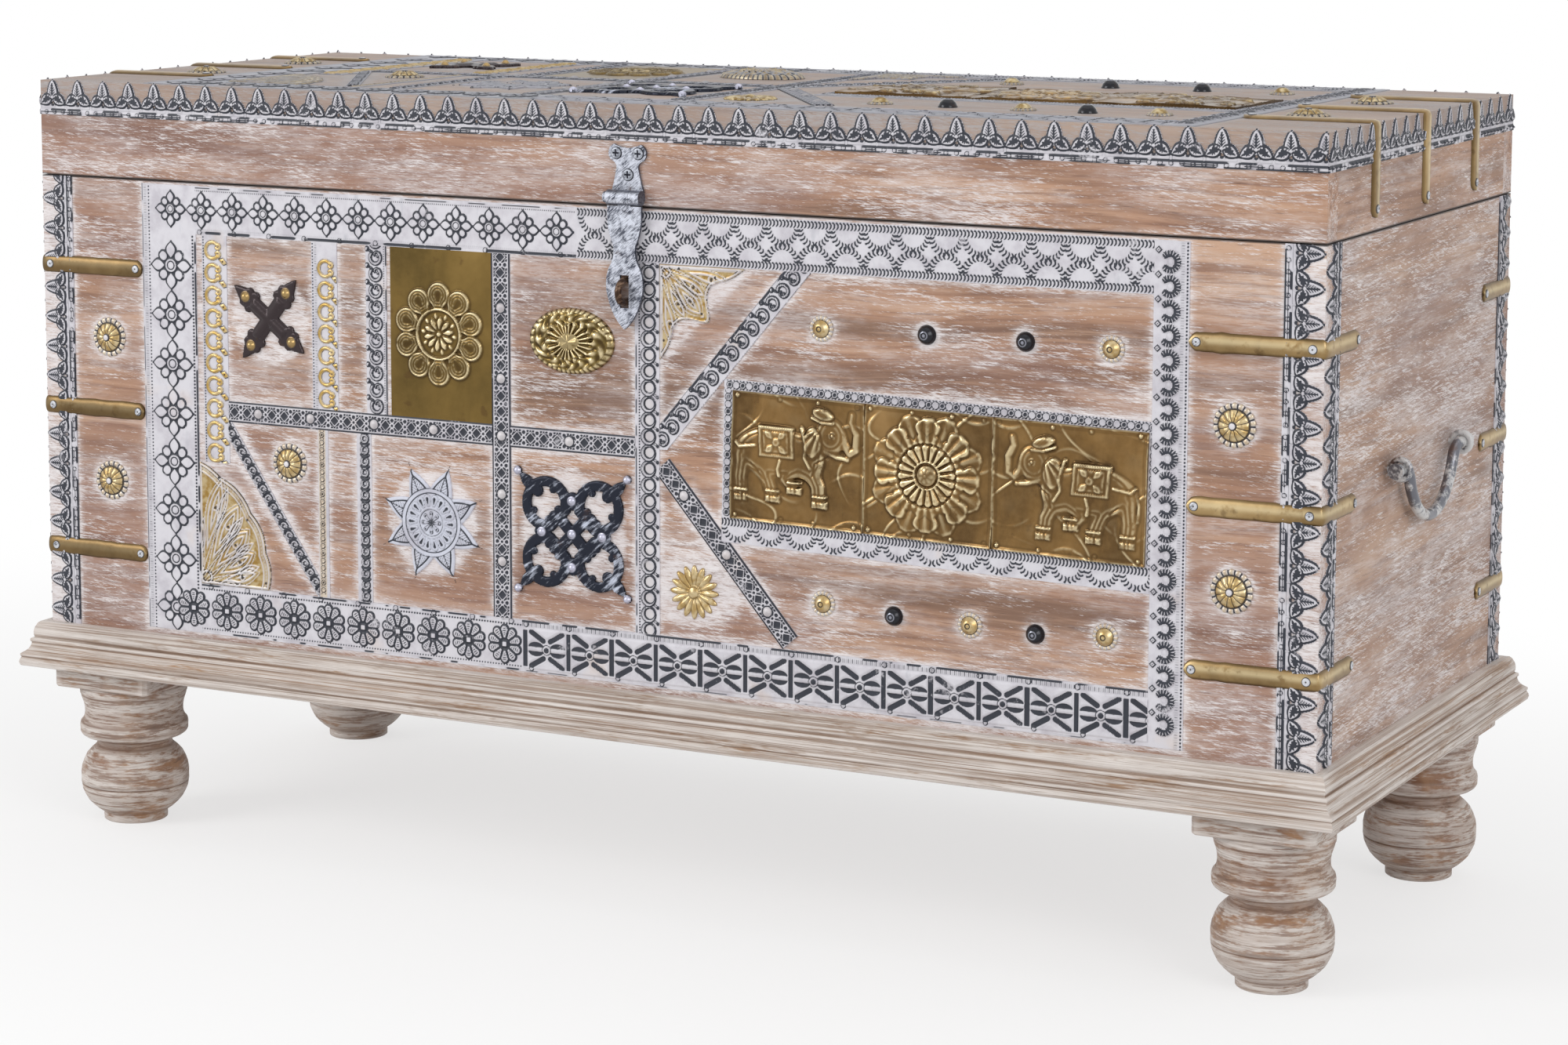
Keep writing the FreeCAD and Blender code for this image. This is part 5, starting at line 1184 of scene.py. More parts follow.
def scalloped_edge(sheet, half, v_row, v_arch):
    """A dashed row and hanging arches under it."""
    dashes(sheet, -half, half, v_row, long=5.2, pitch=2.9)
    for u in row(14 - half, half, 28.0):
        dashed_arch(sheet, u, v_arch, 11.6, -9.6)


# Round pieces: ring by ring, each gives its reach, height, dark paint and gilding

def within(r, low, high):
    return (r > low) & (r < high)


def laid(base, *layers):
    """Values laid one over the other, each where its mask holds."""
    for mask, value in layers:
        base = np.where(mask, value, base)
    return base


def stud_shape(r, a):
    bead = np.abs(np.cos(8 * a))
    height = np.interp(r, (0, 1.6, 2.2, 4, 6.4, 7.2, 8.8, 10.2), (5.6, 5.3, 5.7, 5.0, 2.8, 1.0, 1.5, 0.7))
    height += 0.8 * bead * within(r, 7.4, 10.3)
    reach = np.where(r > 9.3, r * (0.955 + 0.045 * bead), r)
    ink = laid(0, ((r > 7.6) & (bead < 0.35), 0.5), (within(r, 6.6, 7.6), 0.7), (within(r, 1.4, 2.3), 0.6))
    return reach, height, ink, np.where(r < 7.6, 1.0, 0.75 * bead)


def black_stud_shape(r, a):
    height = np.interp(r, (0, 1.5, 1.9, 4, 6.2, 7.4, 7.7), (6.6, 6.4, 7.0, 6.0, 3.9, 1.4, 0.6))
    return r, height, 0, 0.8 * ((r < 1.3) | within(r, 2.3, 2.9))


def rosette_shape(r, a):
    rib, tooth = np.abs(np.cos(6 * a)), np.abs(np.sin(9 * a))
    height = np.interp(r, (0, 2.4, 3.1, 3.6, 7, 11.2, 12.4, 13.2, 15, 16.6, 17),
                       (6.4, 6.0, 4.6, 5.0, 4.9, 2.6, 1.0, 1.3, 1.7, 1.2, 0.7))
    height += 0.9 * (rib - 0.5) * within(r, 3.6, 12) + 0.9 * (tooth - 0.4) * within(r, 13, 17)
    reach = np.where(r > 15.5, r * (0.94 + 0.06 * tooth), r)
    ink = laid(0, (within(r, 11.6, 13), 0.75), ((r > 13) & (tooth < 0.45), 0.9),
               (within(r, 3.6, 11.6) & (rib < 0.34), 0.8), (within(r, 2.5, 3.5), 0.6))
    return reach, height, ink, laid(0.75 * tooth, (r < 3, 0.1), (within(r, 3.0, 12), 1.0))


def sunburst_shape(r, a):
    ray = (0.5 + 0.5 * np.cos(16 * a)) ** 0.55
    reach = np.where(r > 5, 5 + (r - 5) * (0.62 + 0.38 * ray), r)
    height = np.interp(r, (0, 3.8, 4.7, 5.4, 9, 15, 20, 21.7), (4.4, 3.4, 2.2, 1.2, 2.2, 2.7, 2.0, 0.7))
    height *= np.where(r > 5, 0.45 + 0.55 * ray, 1)
    return reach, height, laid(0, (within(r, 4.3, 5.4), 0.5), ((r > 5) & (ray < 0.3), 0.55)), 1


def boss_shape(r, a):
    """An oval dome, r from 0 to 1: beads on the rim, leaves and rays round a knob."""
    across = 1 / np.sqrt((np.cos(a) / 39) ** 2 + (np.sin(a) / 26.5) ** 2)
    rays = np.cos(22 * a + 2.0 * np.sin(3 * a))
    leaves = np.cos(15 * a + 4 * np.sin(7 * r)) * np.cos(17 * r + np.sin(5 * a))
    bead = np.abs(np.cos(19 * a))
    rayed, leafy, beaded = within(r, 0.24, 0.56), (r >= 0.5) & (r < 0.86), (r >= 0.87) & (r < 0.97)
    height = 0.7 + 6.4 * np.sqrt(np.clip(1 - r ** 2, 0, 1))
    height += 1.1 * rays * rayed + 1.2 * leaves * leafy + (1.3 * bead - 0.4) * beaded
    height += (1.4 - 5 * r + 0.7 * np.cos(5 * a) * r * 5) * (r < 0.22)
    # Ink is painted shade in the troughs of the rays and leaves and between the beads; tint is painted
    # highlight on their ridges and beads
    ink = laid(0, (rayed, np.clip(-rays, 0, 1) * 0.8), (leafy, np.clip(-leaves * 1.3, 0, 0.9)),
               ((r >= 0.86) & (bead < 0.35), 0.8))
    tint = laid(np.clip(leaves * 1.2, 0, 1), (rayed, np.clip(rays, 0, 1)), (r > 0.87, 0.8 * bead),
                (r < 0.24, 0.3))
    return r * across, height, ink, tint


def strap_nail_shape(r, a):
    """A flat-headed nail in a dark hollow, with a punched middle."""
    height = 0.5 + 1.0 * np.sqrt(np.clip(1 - (r / 3.6) ** 2, 0, 1)) - 0.3 * (r < 0.8)
    return r, height, 0, 0.9 * ((r > 2.8) | (r < 0.8))


def screw_head(r, a):
    """A low domed head with a cross cut in it."""
    cross = (any_of(np.abs(r * np.cos(a)), np.abs(r * np.sin(a))) < 0.65) & (r < 3.0)
    height = 0.2 + 1.4 * np.sqrt(np.clip(1 - (r / 5) ** 2, 0, 1)) - 0.6 * cross
    return r, height, 0, 1.0 * (cross | (r > 4.3))


def rings(reach, count):
    return list(np.linspace(0.02 * reach, reach, count)) + [reach]


# Colours and finishes

def colour(red, green, blue):
    """A paint colour, given as on screen, for the shaders."""
    channel = [c / 255 for c in (red, green, blue)]
    return tuple(c / 12.92 if c <= 0.04045 else ((c + 0.055) / 1.055) ** 2.4 for c in channel) + (1,)


class Shade:
    """Adds nodes to one tree and joins them."""

    def __init__(self, tree):
        self.tree = tree

    def put(self, value, socket):
        if isinstance(value, bpy.types.NodeSocket):
            self.tree.links.new(value, socket)
        else:
            socket.default_value = value

    def node(self, kind, sockets=(), **settings):
        made = self.tree.nodes.new(kind)
        for key, value in settings.items():
            setattr(made, key, value)
        for key, value in dict(sockets).items():
            self.put(value, made.inputs[key])
        return made

    def math(self, operation, a, b=0.0, clamp=False):
        return self.node("ShaderNodeMath", {0: a, 1: b}, operation=operation, use_clamp=clamp).outputs[0]

    def times(self, a, b, clamp=False):
        return self.math("MULTIPLY", a, b, clamp)

    def plus(self, a, b):
        return self.math("ADD", a, b)

    def minus(self, a, b):
        return self.math("SUBTRACT", a, b)

    def mix(self, factor, a, b):
        return self.node("ShaderNodeMix", {0: factor, 6: a, 7: b}, data_type="RGBA",
                         clamp_factor=True).outputs[2]

    def over(self, base, coat, mask, amount):
        """A coat laid over a colour, by a mask and an amount."""
        return self.mix(self.times(mask, amount), base, coat)

    def between(self, factor, a, b):
        return self.node("ShaderNodeMix", {0: factor, 2: a, 3: b}, data_type="FLOAT",
                         clamp_factor=True).outputs[0]

    def step(self, value, low, high, to_low=0.0, to_high=1.0):
        """Eases from one value to another while value goes from low to high."""
        return self.node("ShaderNodeMapRange", {0: value, 1: low, 2: high, 3: to_low, 4: to_high},
                         interpolation_type="SMOOTHSTEP").outputs[0]

    def vector(self, operation, a, b):
        return self.node("ShaderNodeVectorMath", {0: a, 1: b}, operation=operation).outputs[0]

    def stretch(self, vector, x, y, z):
        return self.vector("MULTIPLY", vector, (x, y, z))

    def scaled(self, vector, scale):
        return self.node("ShaderNodeVectorMath", {0: vector, 3: scale}, operation="SCALE").outputs[0]

    def swung(self, vector, axis, angle):
        turn = {"Vector": vector, "Axis": axis, "Angle": angle}
        return self.node("ShaderNodeVectorRotate", turn).outputs[0]

    def noise(self, vector, scale=1.0, detail=3.0, roughness=0.55, distortion=0.0):
        return self.node("ShaderNodeTexNoise", {"Vector": vector, "Scale": scale, "Detail": detail,
                                                "Roughness": roughness, "Distortion": distortion}).outputs[0]

    def spots(self, vector, scale, low, high, detail=4):
        """Patches where a noise of one scale is high."""
        return self.step(self.noise(vector, scale=scale, detail=detail), low, high)

    def place(self):
        return self.node("ShaderNodeTexCoord").outputs["Object"]

    def field(self, name):
        return self.node("ShaderNodeAttribute", attribute_name=name, attribute_type="GEOMETRY").outputs["Fac"]

    def effect(self, group, **sockets):
        return self.node("ShaderNodeGroup", sockets, node_tree=group).outputs

    def seen(self):
        """1 for what the camera sees straight on, in a mirror or through glass."""
        path_of = self.node("ShaderNodeLightPath").outputs
        return self.math("MAXIMUM", path_of["Is Camera Ray"],
                         self.math("MAXIMUM", path_of["Is Glossy Ray"], path_of["Is Transmission Ray"]))


NUMBER, VECTOR = "NodeSocketFloat", "NodeSocketVector"


def effect(name, gives, **numbers):
    """Starts a shared shader effect: it takes a Vector and the named numbers and gives numbers."""
    group = bpy.data.node_groups.new(name, "ShaderNodeTree")
    group.interface.new_socket(name="Vector", in_out="INPUT", socket_type=VECTOR)
    for key, value in numbers.items():
        group.interface.new_socket(name=key, in_out="INPUT", socket_type=NUMBER).default_value = value
    for key in gives:
        group.interface.new_socket(name=key, in_out="OUTPUT", socket_type=NUMBER)
    inputs = group.nodes.new("NodeGroupInput").outputs
    outputs = group.nodes.new("NodeGroupOutput").inputs
    return group, Shade(group), inputs, outputs


def make_grain():
    """Wood grain along the X of its coordinates: slow tone, fine streaks, pores and a height."""
    group, s, i, o = effect("wood grain", ("Tone", "Streak", "Pore", "Height"), Scale=1.0)
    v = s.scaled(i["Vector"], i["Scale"])
    slow = {"Vector": s.stretch(v, 3.0, 9.0, 9.0), "Scale": 1.0, "Detail": 2.0}
    wander = s.node("ShaderNodeTexNoise", slow)
    bent = s.vector("ADD", v, s.stretch(wander.outputs[1], 0.0, 0.035, 0.035))
    tone = s.noise(s.stretch(bent, 1.6, 26, 26), detail=4, distortion=0.7)
    streak = s.noise(s.stretch(bent, 7, 210, 210), detail=4, roughness=0.6)
    pores = s.step(s.noise(s.stretch(bent, 22, 820, 820), detail=2), 0.62, 0.72)
    s.put(tone, o["Tone"])
    s.put(streak, o["Streak"])
    s.put(pores, o["Pore"])
    s.put(s.minus(s.between(0.55, streak, tone), s.times(pores, 0.5)), o["Height"])
    return group


def make_wash():
    """Thin white paint dragged along the grain and scratched through, thicker where Halo is high."""
    group, s, i, o = effect("dragged wash", ("Mask",), Amount=0.5, Halo=0.0)
    v = i["Vector"]
    broad = s.noise(s.stretch(v, 48, 640, 640), detail=4, roughness=0.74)
    fine = s.noise(s.stretch(v, 120, 1500, 1500), detail=3, roughness=0.65)
    slant = s.noise(s.stretch(s.swung(v, (0, 1, 0), -0.32), 80, 80, 1000), detail=3, roughness=0.7)
    patches = s.noise(s.stretch(v, 9, 36, 36), detail=4, distortion=0.6)
    wide = s.noise(s.stretch(v, 2.6, 5.5, 5.5), detail=2)
    strokes = s.plus(s.plus(s.times(broad, 0.64), s.times(slant, 0.36)), s.times(fine, 0.5))
    body = s.plus(s.times(patches, 0.44), s.times(wide, 0.3))
    level = s.plus(s.plus(strokes, body), s.times(i["Halo"], 0.14))
    low = s.minus(1.335, s.times(i["Amount"], 0.42))
    grit = s.step(s.noise(s.stretch(v, 170, 1500, 1500), detail=3, roughness=0.7), 0.4, 0.56)
    s.put(s.times(s.step(s.minus(level, low), -0.06, 0.06), s.between(grit, 0.45, 1.0)), o["Mask"])
    return group


def make_wear():
    """Patches where a thin coat has gone: 1 where it is left, 0 where it is worn off."""
    group, s, i, o = effect("worn coat", ("Mask",), Scale=60.0, Left=0.7)
    broad = s.noise(i["Vector"], scale=i["Scale"], detail=4, roughness=0.62)
    fine = s.noise(i["Vector"], scale=s.times(i["Scale"], 9), detail=2)
    level = s.plus(s.times(broad, 0.75), s.times(fine, 0.25))
    edge = s.minus(0.72, s.times(i["Left"], 0.44))
    s.put(s.step(s.minus(level, edge), -0.05, 0.07), o["Mask"])
    return group


def make_brushing():
    """Strokes of a dry brush or a wire wheel, in two directions."""
    group, s, i, o = effect("brushing", ("Mask", "Height"), Scale=1.0)
    v = s.scaled(i["Vector"], i["Scale"])
    one = s.noise(s.stretch(s.swung(v, (0.2, 1, 0.1), 0.7), 110, 110, 620), detail=4, roughness=0.65)
    two = s.noise(s.stretch(v, 62, 62, 62), detail=5, roughness=0.65, distortion=0.8)
    s.put(s.plus(s.times(one, 0.6), s.times(two, 0.5)), o["Mask"])
    s.put(one, o["Height"])
    return group


GRAIN, WASH, WEAR, BRUSHING = make_grain(), make_wash(), make_wear(), make_brushing()


def material(name):
    made = bpy.data.materials.new(name)
    made.use_nodes = True
    made.node_tree.nodes.clear()
    shade = Shade(made.node_tree)
    surface = shade.node("ShaderNodeBsdfPrincipled")
    out = shade.node("ShaderNodeOutputMaterial")
    shade.put(surface.outputs[0], out.inputs[0])
    return made, shade, surface


def finish_with(shade, surface, base, rough, metal, height, bump, distance):
    shade.put(base, surface.inputs["Base Color"])
    shade.put(rough, surface.inputs["Roughness"])
    shade.put(metal, surface.inputs["Metallic"])
    relief = shade.node("ShaderNodeBump", {"Strength": bump, "Distance": distance, "Height": height})
    shade.put(relief.outputs[0], surface.inputs["Normal"])


def along(shade, axis):
    """Coordinates turned so that X runs along the grain."""
    place = shade.place()
    if axis == "X":
        return place
    turns = {"Y": (0, 0, -math.pi / 2), "Z": (0, math.pi / 2, 0)}
    return shade.node("ShaderNodeVectorRotate", {"Vector": place, "Rotation": turns[axis]},
                      rotation_type="EULER_XYZ").outputs[0]


def limed_wood(name, axis="X", *, amount, halo=False, shift=0.0, grey=0.0, pale=1.0, mist=0.4):
    """Brown wood with white paint dragged over it; grey dulls it as dust and old wash do, and on the lid a
    strong grey with a darker wash is painted shade.
    """
    made, s, surface = material(name)
    v = s.vector("ADD", along(s, axis), (shift, shift * 0.7, shift * 0.3))
    grain = s.effect(GRAIN, Vector=v)
    tone, streak = grain["Tone"], grain["Streak"]
    wood = s.mix(s.step(tone, 0.32, 0.56), colour(124, 94, 76), colour(166, 127, 102))
    wood = s.mix(s.step(tone, 0.52, 0.72), wood, colour(192, 157, 132))
    wood = s.over(wood, colour(198, 160, 134), s.step(streak, 0.5, 0.66), 0.4)
    wood = s.over(wood, colour(106, 72, 58), s.step(streak, 0.5, 0.36), 0.5)
    blotch = s.noise(s.stretch(v, 3.2, 7, 7), detail=3)
    wood = s.over(wood, colour(132, 98, 88), s.step(blotch, 0.44, 0.62), 0.5)
    wood = s.over(wood, colour(86, 56, 46), grain["Pore"], 0.55)
    wood = s.mix(grey, wood, colour(150, 138, 130))
    near = s.field("halo") if halo else 0.0
    wash = s.effect(WASH, Vector=v, Amount=amount, Halo=near)["Mask"]
    veil = s.mix(s.noise(v, scale=35, detail=3), colour(206 * pale, 198 * pale, 200 * pale),
                 colour(248 * pale, 245 * pale, 245 * pale))
    haze = s.step(s.noise(s.stretch(v, 9, 34, 34), detail=5, roughness=0.65, distortion=0.4), 0.42, 0.66)
    scratched = s.step(s.noise(s.stretch(v, 90, 900, 900), detail=3, roughness=0.7), 0.36, 0.6)
    base = s.over(wood, veil, s.times(haze, mist), s.between(scratched, 0.25, 1.0))
    base = s.over(base, veil, wash, 0.86)
    if halo:
        thin = s.step(s.noise(s.stretch(v, 70, 420, 420), detail=4, roughness=0.74), 0.4, 0.62)
        base = s.over(base, veil, near, s.between(thin, 0.1, 0.8))
    # Painted shadow along the joint of lid and body, for the narrow gap between them
    seam = s.minus(s.node("ShaderNodeSeparateXYZ", {0: s.place()}).outputs["Z"], (LID_Z - 0.4) * MM)
    base = s.over(base, colour(38, 29, 26), s.step(s.math("ABSOLUTE", seam), 0.0020, 0.0008), 0.88)
    height = s.plus(grain["Height"], s.times(wash, 0.35))
    finish_with(s, surface, base, s.between(wash, 0.56, 0.74), 0.0, height, 0.4, 0.0005)
    return made


# How whitewashed_wood stretches its coat, lines and fine lines, along the grain and round turned wood
STRAIGHT = (0.09, 1, 1), 110.0, (3.5, 430, 430), (10, 1100, 1100)
ROUND = (1.0, 1, 1), 62.0, (60, 190, 300), (150, 300, 900)


def whitewashed_wood(name, axis, left, brown):
    """White paint brushed on thin, with lines of bare wood in it; turned wood has them round it."""
    made, s, surface = material(name)
    if axis == "turned":
        v, grained = s.stretch(s.place(), 0.22, 0.22, 1), along(s, "Z")
    else:
        v = grained = along(s, axis)
    stretch, scale, long, thin = ROUND if axis == "turned" else STRAIGHT
    tone = s.effect(GRAIN, Vector=grained, Scale=1.3)["Tone"]
    coat = s.effect(WEAR, Vector=s.stretch(v, *stretch), Scale=scale, Left=left)["Mask"]
    lines = s.noise(s.stretch(v, *long), detail=5, roughness=0.75)
    fine = s.noise(s.stretch(v, *thin), detail=3, roughness=0.7)
    coat = s.times(coat, s.between(s.step(lines, 0.43, 0.49), 0.25, 1.0))
    # Painted shade and highlight from the mesh's pointiness: less coat in hollows, a paler coat on sharp
    # edges
    pointed = s.node("ShaderNodeNewGeometry").outputs["Pointiness"]
    edge, hollow = s.step(pointed, 0.51, 0.56), s.step(pointed, 0.49, 0.44)
    coat = s.times(coat, s.minus(1.0, s.times(hollow, 0.5)))
    # Brown where the sections mark worn paint; in grooves and under bulges this is painted shade
    worn = s.times(s.field("worn"), s.step(s.noise(s.stretch(v, 8, 60, 60), detail=3), 0.28, 0.55))
    coat = s.times(coat, s.minus(1.0, s.times(worn, 0.85)))
    wood = s.over(brown, colour(180, 140, 104), s.step(tone, 0.35, 0.65), 0.6)
    wood = s.over(wood, colour(92, 66, 54), s.step(lines, 0.46, 0.36), 0.6)
    wood = s.over(wood, colour(98, 74, 60), worn, 0.6)
    paint = s.mix(s.noise(v, scale=28, detail=4), colour(226, 219, 213), colour(188, 177, 170))
    paint = s.over(paint, colour(150, 132, 120), s.step(fine, 0.5, 0.36), 0.55)
    paint = s.over(paint, colour(236, 232, 228), s.step(fine, 0.56, 0.68), 0.6)
    base = s.over(s.mix(coat, wood, paint), colour(228, 220, 214), edge, 0.4)
    height = s.plus(s.plus(s.times(fine, 0.7), lines), s.times(coat, 0.7))
    finish_with(s, surface, base, s.between(coat, 0.5, 0.66), 0.0, height, 0.5, 0.0006)
    return made


def pressed_metal(name, paint=colour(224, 222, 227), gilt=colour(190, 156, 84), left=0.86):
    """Thin sheet under white paint, dark paint left in its hollows, gilt or bare where tinted."""
    made, s, surface = material(name)
    v = s.place()
    ink, tint = s.field("ink"), s.field("tint")
    kept = s.effect(WEAR, Vector=v, Scale=55.0, Left=left)["Mask"]
    crisp = s.math("MAXIMUM", s.step(ink, 0.34, 0.58), s.times(ink, 0.5))
    dark = s.times(crisp, s.between(kept, 0.3, 1.0), clamp=True)
    mottle = s.noise(v, scale=45, detail=5, roughness=0.65)
    pale = s.mix(s.step(mottle, 0.4, 0.7), paint, s.mix(0.55, paint, colour(168, 162, 172)))
    pale = s.over(pale, colour(176, 178, 186), s.spots(s.stretch(v, 120, 120, 35), 1.0, 0.6, 0.74), 0.4)
    pale = s.over(pale, colour(214, 190, 168), s.spots(v, 19, 0.62, 0.76, 3), 0.35)
    shine = s.mix(s.spots(v, 180, 0.35, 0.65, 3), gilt, s.mix(0.45, gilt, colour(235, 222, 186)))
    black = s.mix(s.noise(v, scale=90, detail=3), colour(18, 22, 33), colour(44, 48, 60))
    black = s.over(black, colour(74, 58, 32), tint, 0.75)
    base = s.mix(dark, s.mix(tint, pale, shine), black)
    metal = s.times(tint, s.times(s.minus(1.0, s.times(dark, 0.7)), 0.9))
    rough = s.between(tint, s.between(mottle, 0.42, 0.62), s.between(mottle, 0.24, 0.42))
    scratch = s.noise(s.stretch(v, 500, 500, 160), detail=2)
    finish_with(s, surface, base, rough, metal, s.plus(mottle, s.times(scratch, 0.4)), 0.22, 0.0005)
    return made


def brass(name, deep, mid, light, rough=(0.26, 0.46), dent=0.35):
    """Old brass, browner in patches, darker in hollows as patina and painted shade, and with a painted
    highlight, as of rubbing, where it is pressed up.
    """
    made, s, surface = material(name)
    v = s.place()
    patch = s.noise(s.stretch(v, 16, 16, 9), detail=4, distortion=0.6)
    fine = s.noise(v, scale=190, detail=3)
    base = s.mix(s.step(patch, 0.35, 0.62), deep, mid)
    base = s.over(base, light, s.step(patch, 0.55, 0.8), 0.6)
    base = s.over(base, light, fine, 0.25)
    base = s.over(base, colour(84, 62, 38), s.spots(v, 75, 0.6, 0.72), 0.5)
    height = s.plus(s.times(s.noise(v, scale=42, detail=2), dent), s.times(fine, 0.15))
    # Painted highlight where tint is set: raised edges, ridges and the middle of each strap
    rubbed = s.times(s.field("tint"), s.spots(v, 140, 0.25, 0.5, 3))
    base = s.over(base, colour(232, 214, 172), rubbed, 0.9)
    # Darker where ink is set: patina and painted shade in hollows, painted shade on the straps
    base = s.over(base, colour(58, 42, 24), s.field("ink"), 0.85)
    streak = s.noise(s.stretch(v, 300, 300, 20), detail=2)
    dull = s.between(s.plus(s.times(patch, 0.6), s.times(streak, 0.4)), *rough)
    finish_with(s, surface, base, dull, 0.92, height, 0.35, 0.0012)
    return made


def iron(name, dark, pale, cover=0.5, rough=0.5, tinted=None, metal=0.55, soft=0.10, rim=0.0, fine=1.0):
    """Iron with pale paint brushed over it and rubbed off again; rim paints shade on the sides of a flat
    piece by keeping the pale paint off them.
    """
    made, s, surface = material(name)
    v = s.place()
    strokes = s.effect(BRUSHING, Vector=v, Scale=fine)
    mask = s.step(strokes["Mask"], 0.80 - cover * 0.5 - soft, 0.80 - cover * 0.5 + soft)
    # Painted shade: faces that do not look to the front or back keep less pale paint, so a flat piece's sides
    # look shaded
    if rim:
        normal = s.node("ShaderNodeTexCoord").outputs["Normal"]
        facing = s.math("ABSOLUTE", s.node("ShaderNodeSeparateXYZ", {0: normal}).outputs[1])
        mask = s.times(mask, s.step(facing, 0.55, 0.9, 1 - rim, 1.0))
    base = s.mix(mask, s.over(dark, colour(86, 62, 50), s.spots(v, 60, 0.6, 0.74), 0.5), pale)
    metallic = s.between(mask, metal, 0.15)
    if tinted is not None:
        tint = s.field("tint")
        base = s.mix(tint, base, tinted)
        metallic = s.between(tint, metallic, 0.85)
    height = s.plus(strokes["Height"], s.times(mask, 0.3))
    finish_with(s, surface, base, s.between(mask, rough - 0.12, rough + 0.12), metallic, height, 0.25, 0.0005)
    return made


def worn_rod(name):
    """A round iron bar, greyed, with cream paint left in patches and some rust."""
    made, s, surface = material(name)
    v = s.place()
    left = s.effect(WEAR, Vector=v, Scale=48.0, Left=0.5)["Mask"]
    body = s.over(colour(112, 113, 120), colour(112, 86, 70), s.spots(v, 34, 0.52, 0.66), 0.7)
    base = s.over(body, colour(212, 211, 210), left, 0.85)
    finish_with(s, surface, base, s.between(left, 0.3, 0.5), s.between(left, 0.8, 0.1), left, 0.15, 0.0004)
    return made


# The two faces put together

def frieze_tops(layout):
    """The three plates of the frieze, on a plane turned with it: elephants left and right of a rosette."""
    half_x, half_y = HALF_FRIEZE
    seams = (-half_x, -58.8, 49.4, half_x)
    plates = [Sheet(a, b, -half_y, half_y, layout.step) for a, b in zip(seams, seams[1:])]
    rng = np.random.default_rng(31)
    for sheet, spot, motif, turned in zip(plates, ((-116.4, 1.5), (-5.4, 0.0), (112.0, -2.0)),
                                          (elephant, acanthus_rosette, elephant),
                                          ({}, {}, {"turn": 180, "mirror": -1})):
        u, v = sheet.u, sheet.v
        ground = 0.0
        for scale, depth in ((6.5, 0.22), (11.0, 0.4), (24.0, 0.6)):
            turn = rng.uniform(0, 6.28, 3)
            ground = ground + depth * (np.cos(u / scale + turn[0]) * np.cos(v / scale * 1.3 + turn[1])
                                       + 0.5 * np.cos((u + v) / scale * 0.8 + turn[2]))
        warp = u / 15 + 1.3 * np.cos(v / 13 + turn[0]) + 0.8 * np.cos((u - v) / 21 + turn[1])
        crease = np.exp(-(np.cos(warp) / 0.10) ** 2) * (0.5 + 0.5 * np.cos(v / 9 + u / 17 + turn[2]))
        across = v / 12 + 1.1 * np.cos(u / 16 + turn[1])
        crease = crease + 0.8 * np.exp(-(np.cos(across) / 0.12) ** 2) * (0.5 + 0.5 * np.cos(u / 11 + turn[0]))
        sheet.rise += 1.0 + 1.35 * ground + 0.75 * crease
        sheet.stamp(motif, *spot, 62, **turned)
        rim = sheet.away(u, v)
        p = sheet.whole()
        np.maximum(p.rise, 0, out=p.rise)
        p.rise += 0.9 * np.clip((rim + 2.2) / 1.6, 0, 1)
        p.dark(band(rim + 3.4, 1.0), 0.35)
        p.dark(-rim - 0.7, 0.5)
        for at in np.linspace(sheet.left + 4, sheet.right - 4, 4):
            for high in (-half_y + 3.4, half_y - 3.4):
                sheet.stamp(small_nail, at + rng.uniform(-5, 5) * (abs(at - sheet.left) > 9), high, 4)
        sheet.rise = np.clip(sheet.rise, 0, 6.0)
        paint_highlights_and_hollows(sheet, ground=0.9)
    return plates


def paint_highlights_and_hollows(sheet, ground):
    """Marks a painted highlight along raised edges, as on brass rubbed bright, and dark patina with painted
    shade where it turns down.
    """
    bend = blurred(sheet.bend())
    sheet.tint = np.clip(-bend * 1.9, 0, 1) * np.clip((sheet.rise - 0.3 * ground) / ground, 0, 1)
    sheet.ink = np.maximum(sheet.ink, np.clip(bend * 1.4 - 0.05, 0, 0.9))


def dirty_hollows(sheet):
    """Dark dirt beside everything that is pressed up."""
    sheet.ink = np.maximum(sheet.ink, np.clip(sheet.bend() * 1.2 - 0.1, 0, 0.9))


def small_nail(p, r=1.9):
    d = disc(p.x, p.y, r)
    p.swell(d, 1.9, r)
    p.outline(d - 0.4, 0.8, 0.7)


def frieze_edges(layout):
    """The strips round the frieze, in its own axes: plain at the left, rings on top, arches under it."""
    half_x, half_y = HALF_FRIEZE
    right = half_x + 8
    top = Sheet(-right, right, half_y, half_y + 8, layout.step)
    for k, u in enumerate(row(-right + 5, right, 5.7)):
        top.stamp(tiny_ring, u, half_y + 4, 4.5, r=2.4 if k % 2 else 2.1, filled=0 if k % 2 else 1)
    for v in (half_y + 0.8, half_y + 7.3):
        dot_row(top, v, -right, right, 2.85, 0.6)
    left = Sheet(-right, -half_x, -half_y, half_y, layout.step)
    end = Sheet(half_x, right, -half_y, half_y, layout.step)
    for k, v in enumerate(row(-half_y + 4, half_y, 5.7)):
        left.stamp(tiny_ring, -half_x - 4, v, 4.5, r=2.3, filled=0 if k % 2 else 1)
        end.stamp(tiny_ring, half_x + 4, v, 4.5, r=2.2)
    arches = Sheet(-right, right, -half_y - 20, -half_y, layout.step)
    scalloped_edge(arches, right, -half_y - 3.6, -half_y - 7.2)
    return top, left, end, arches


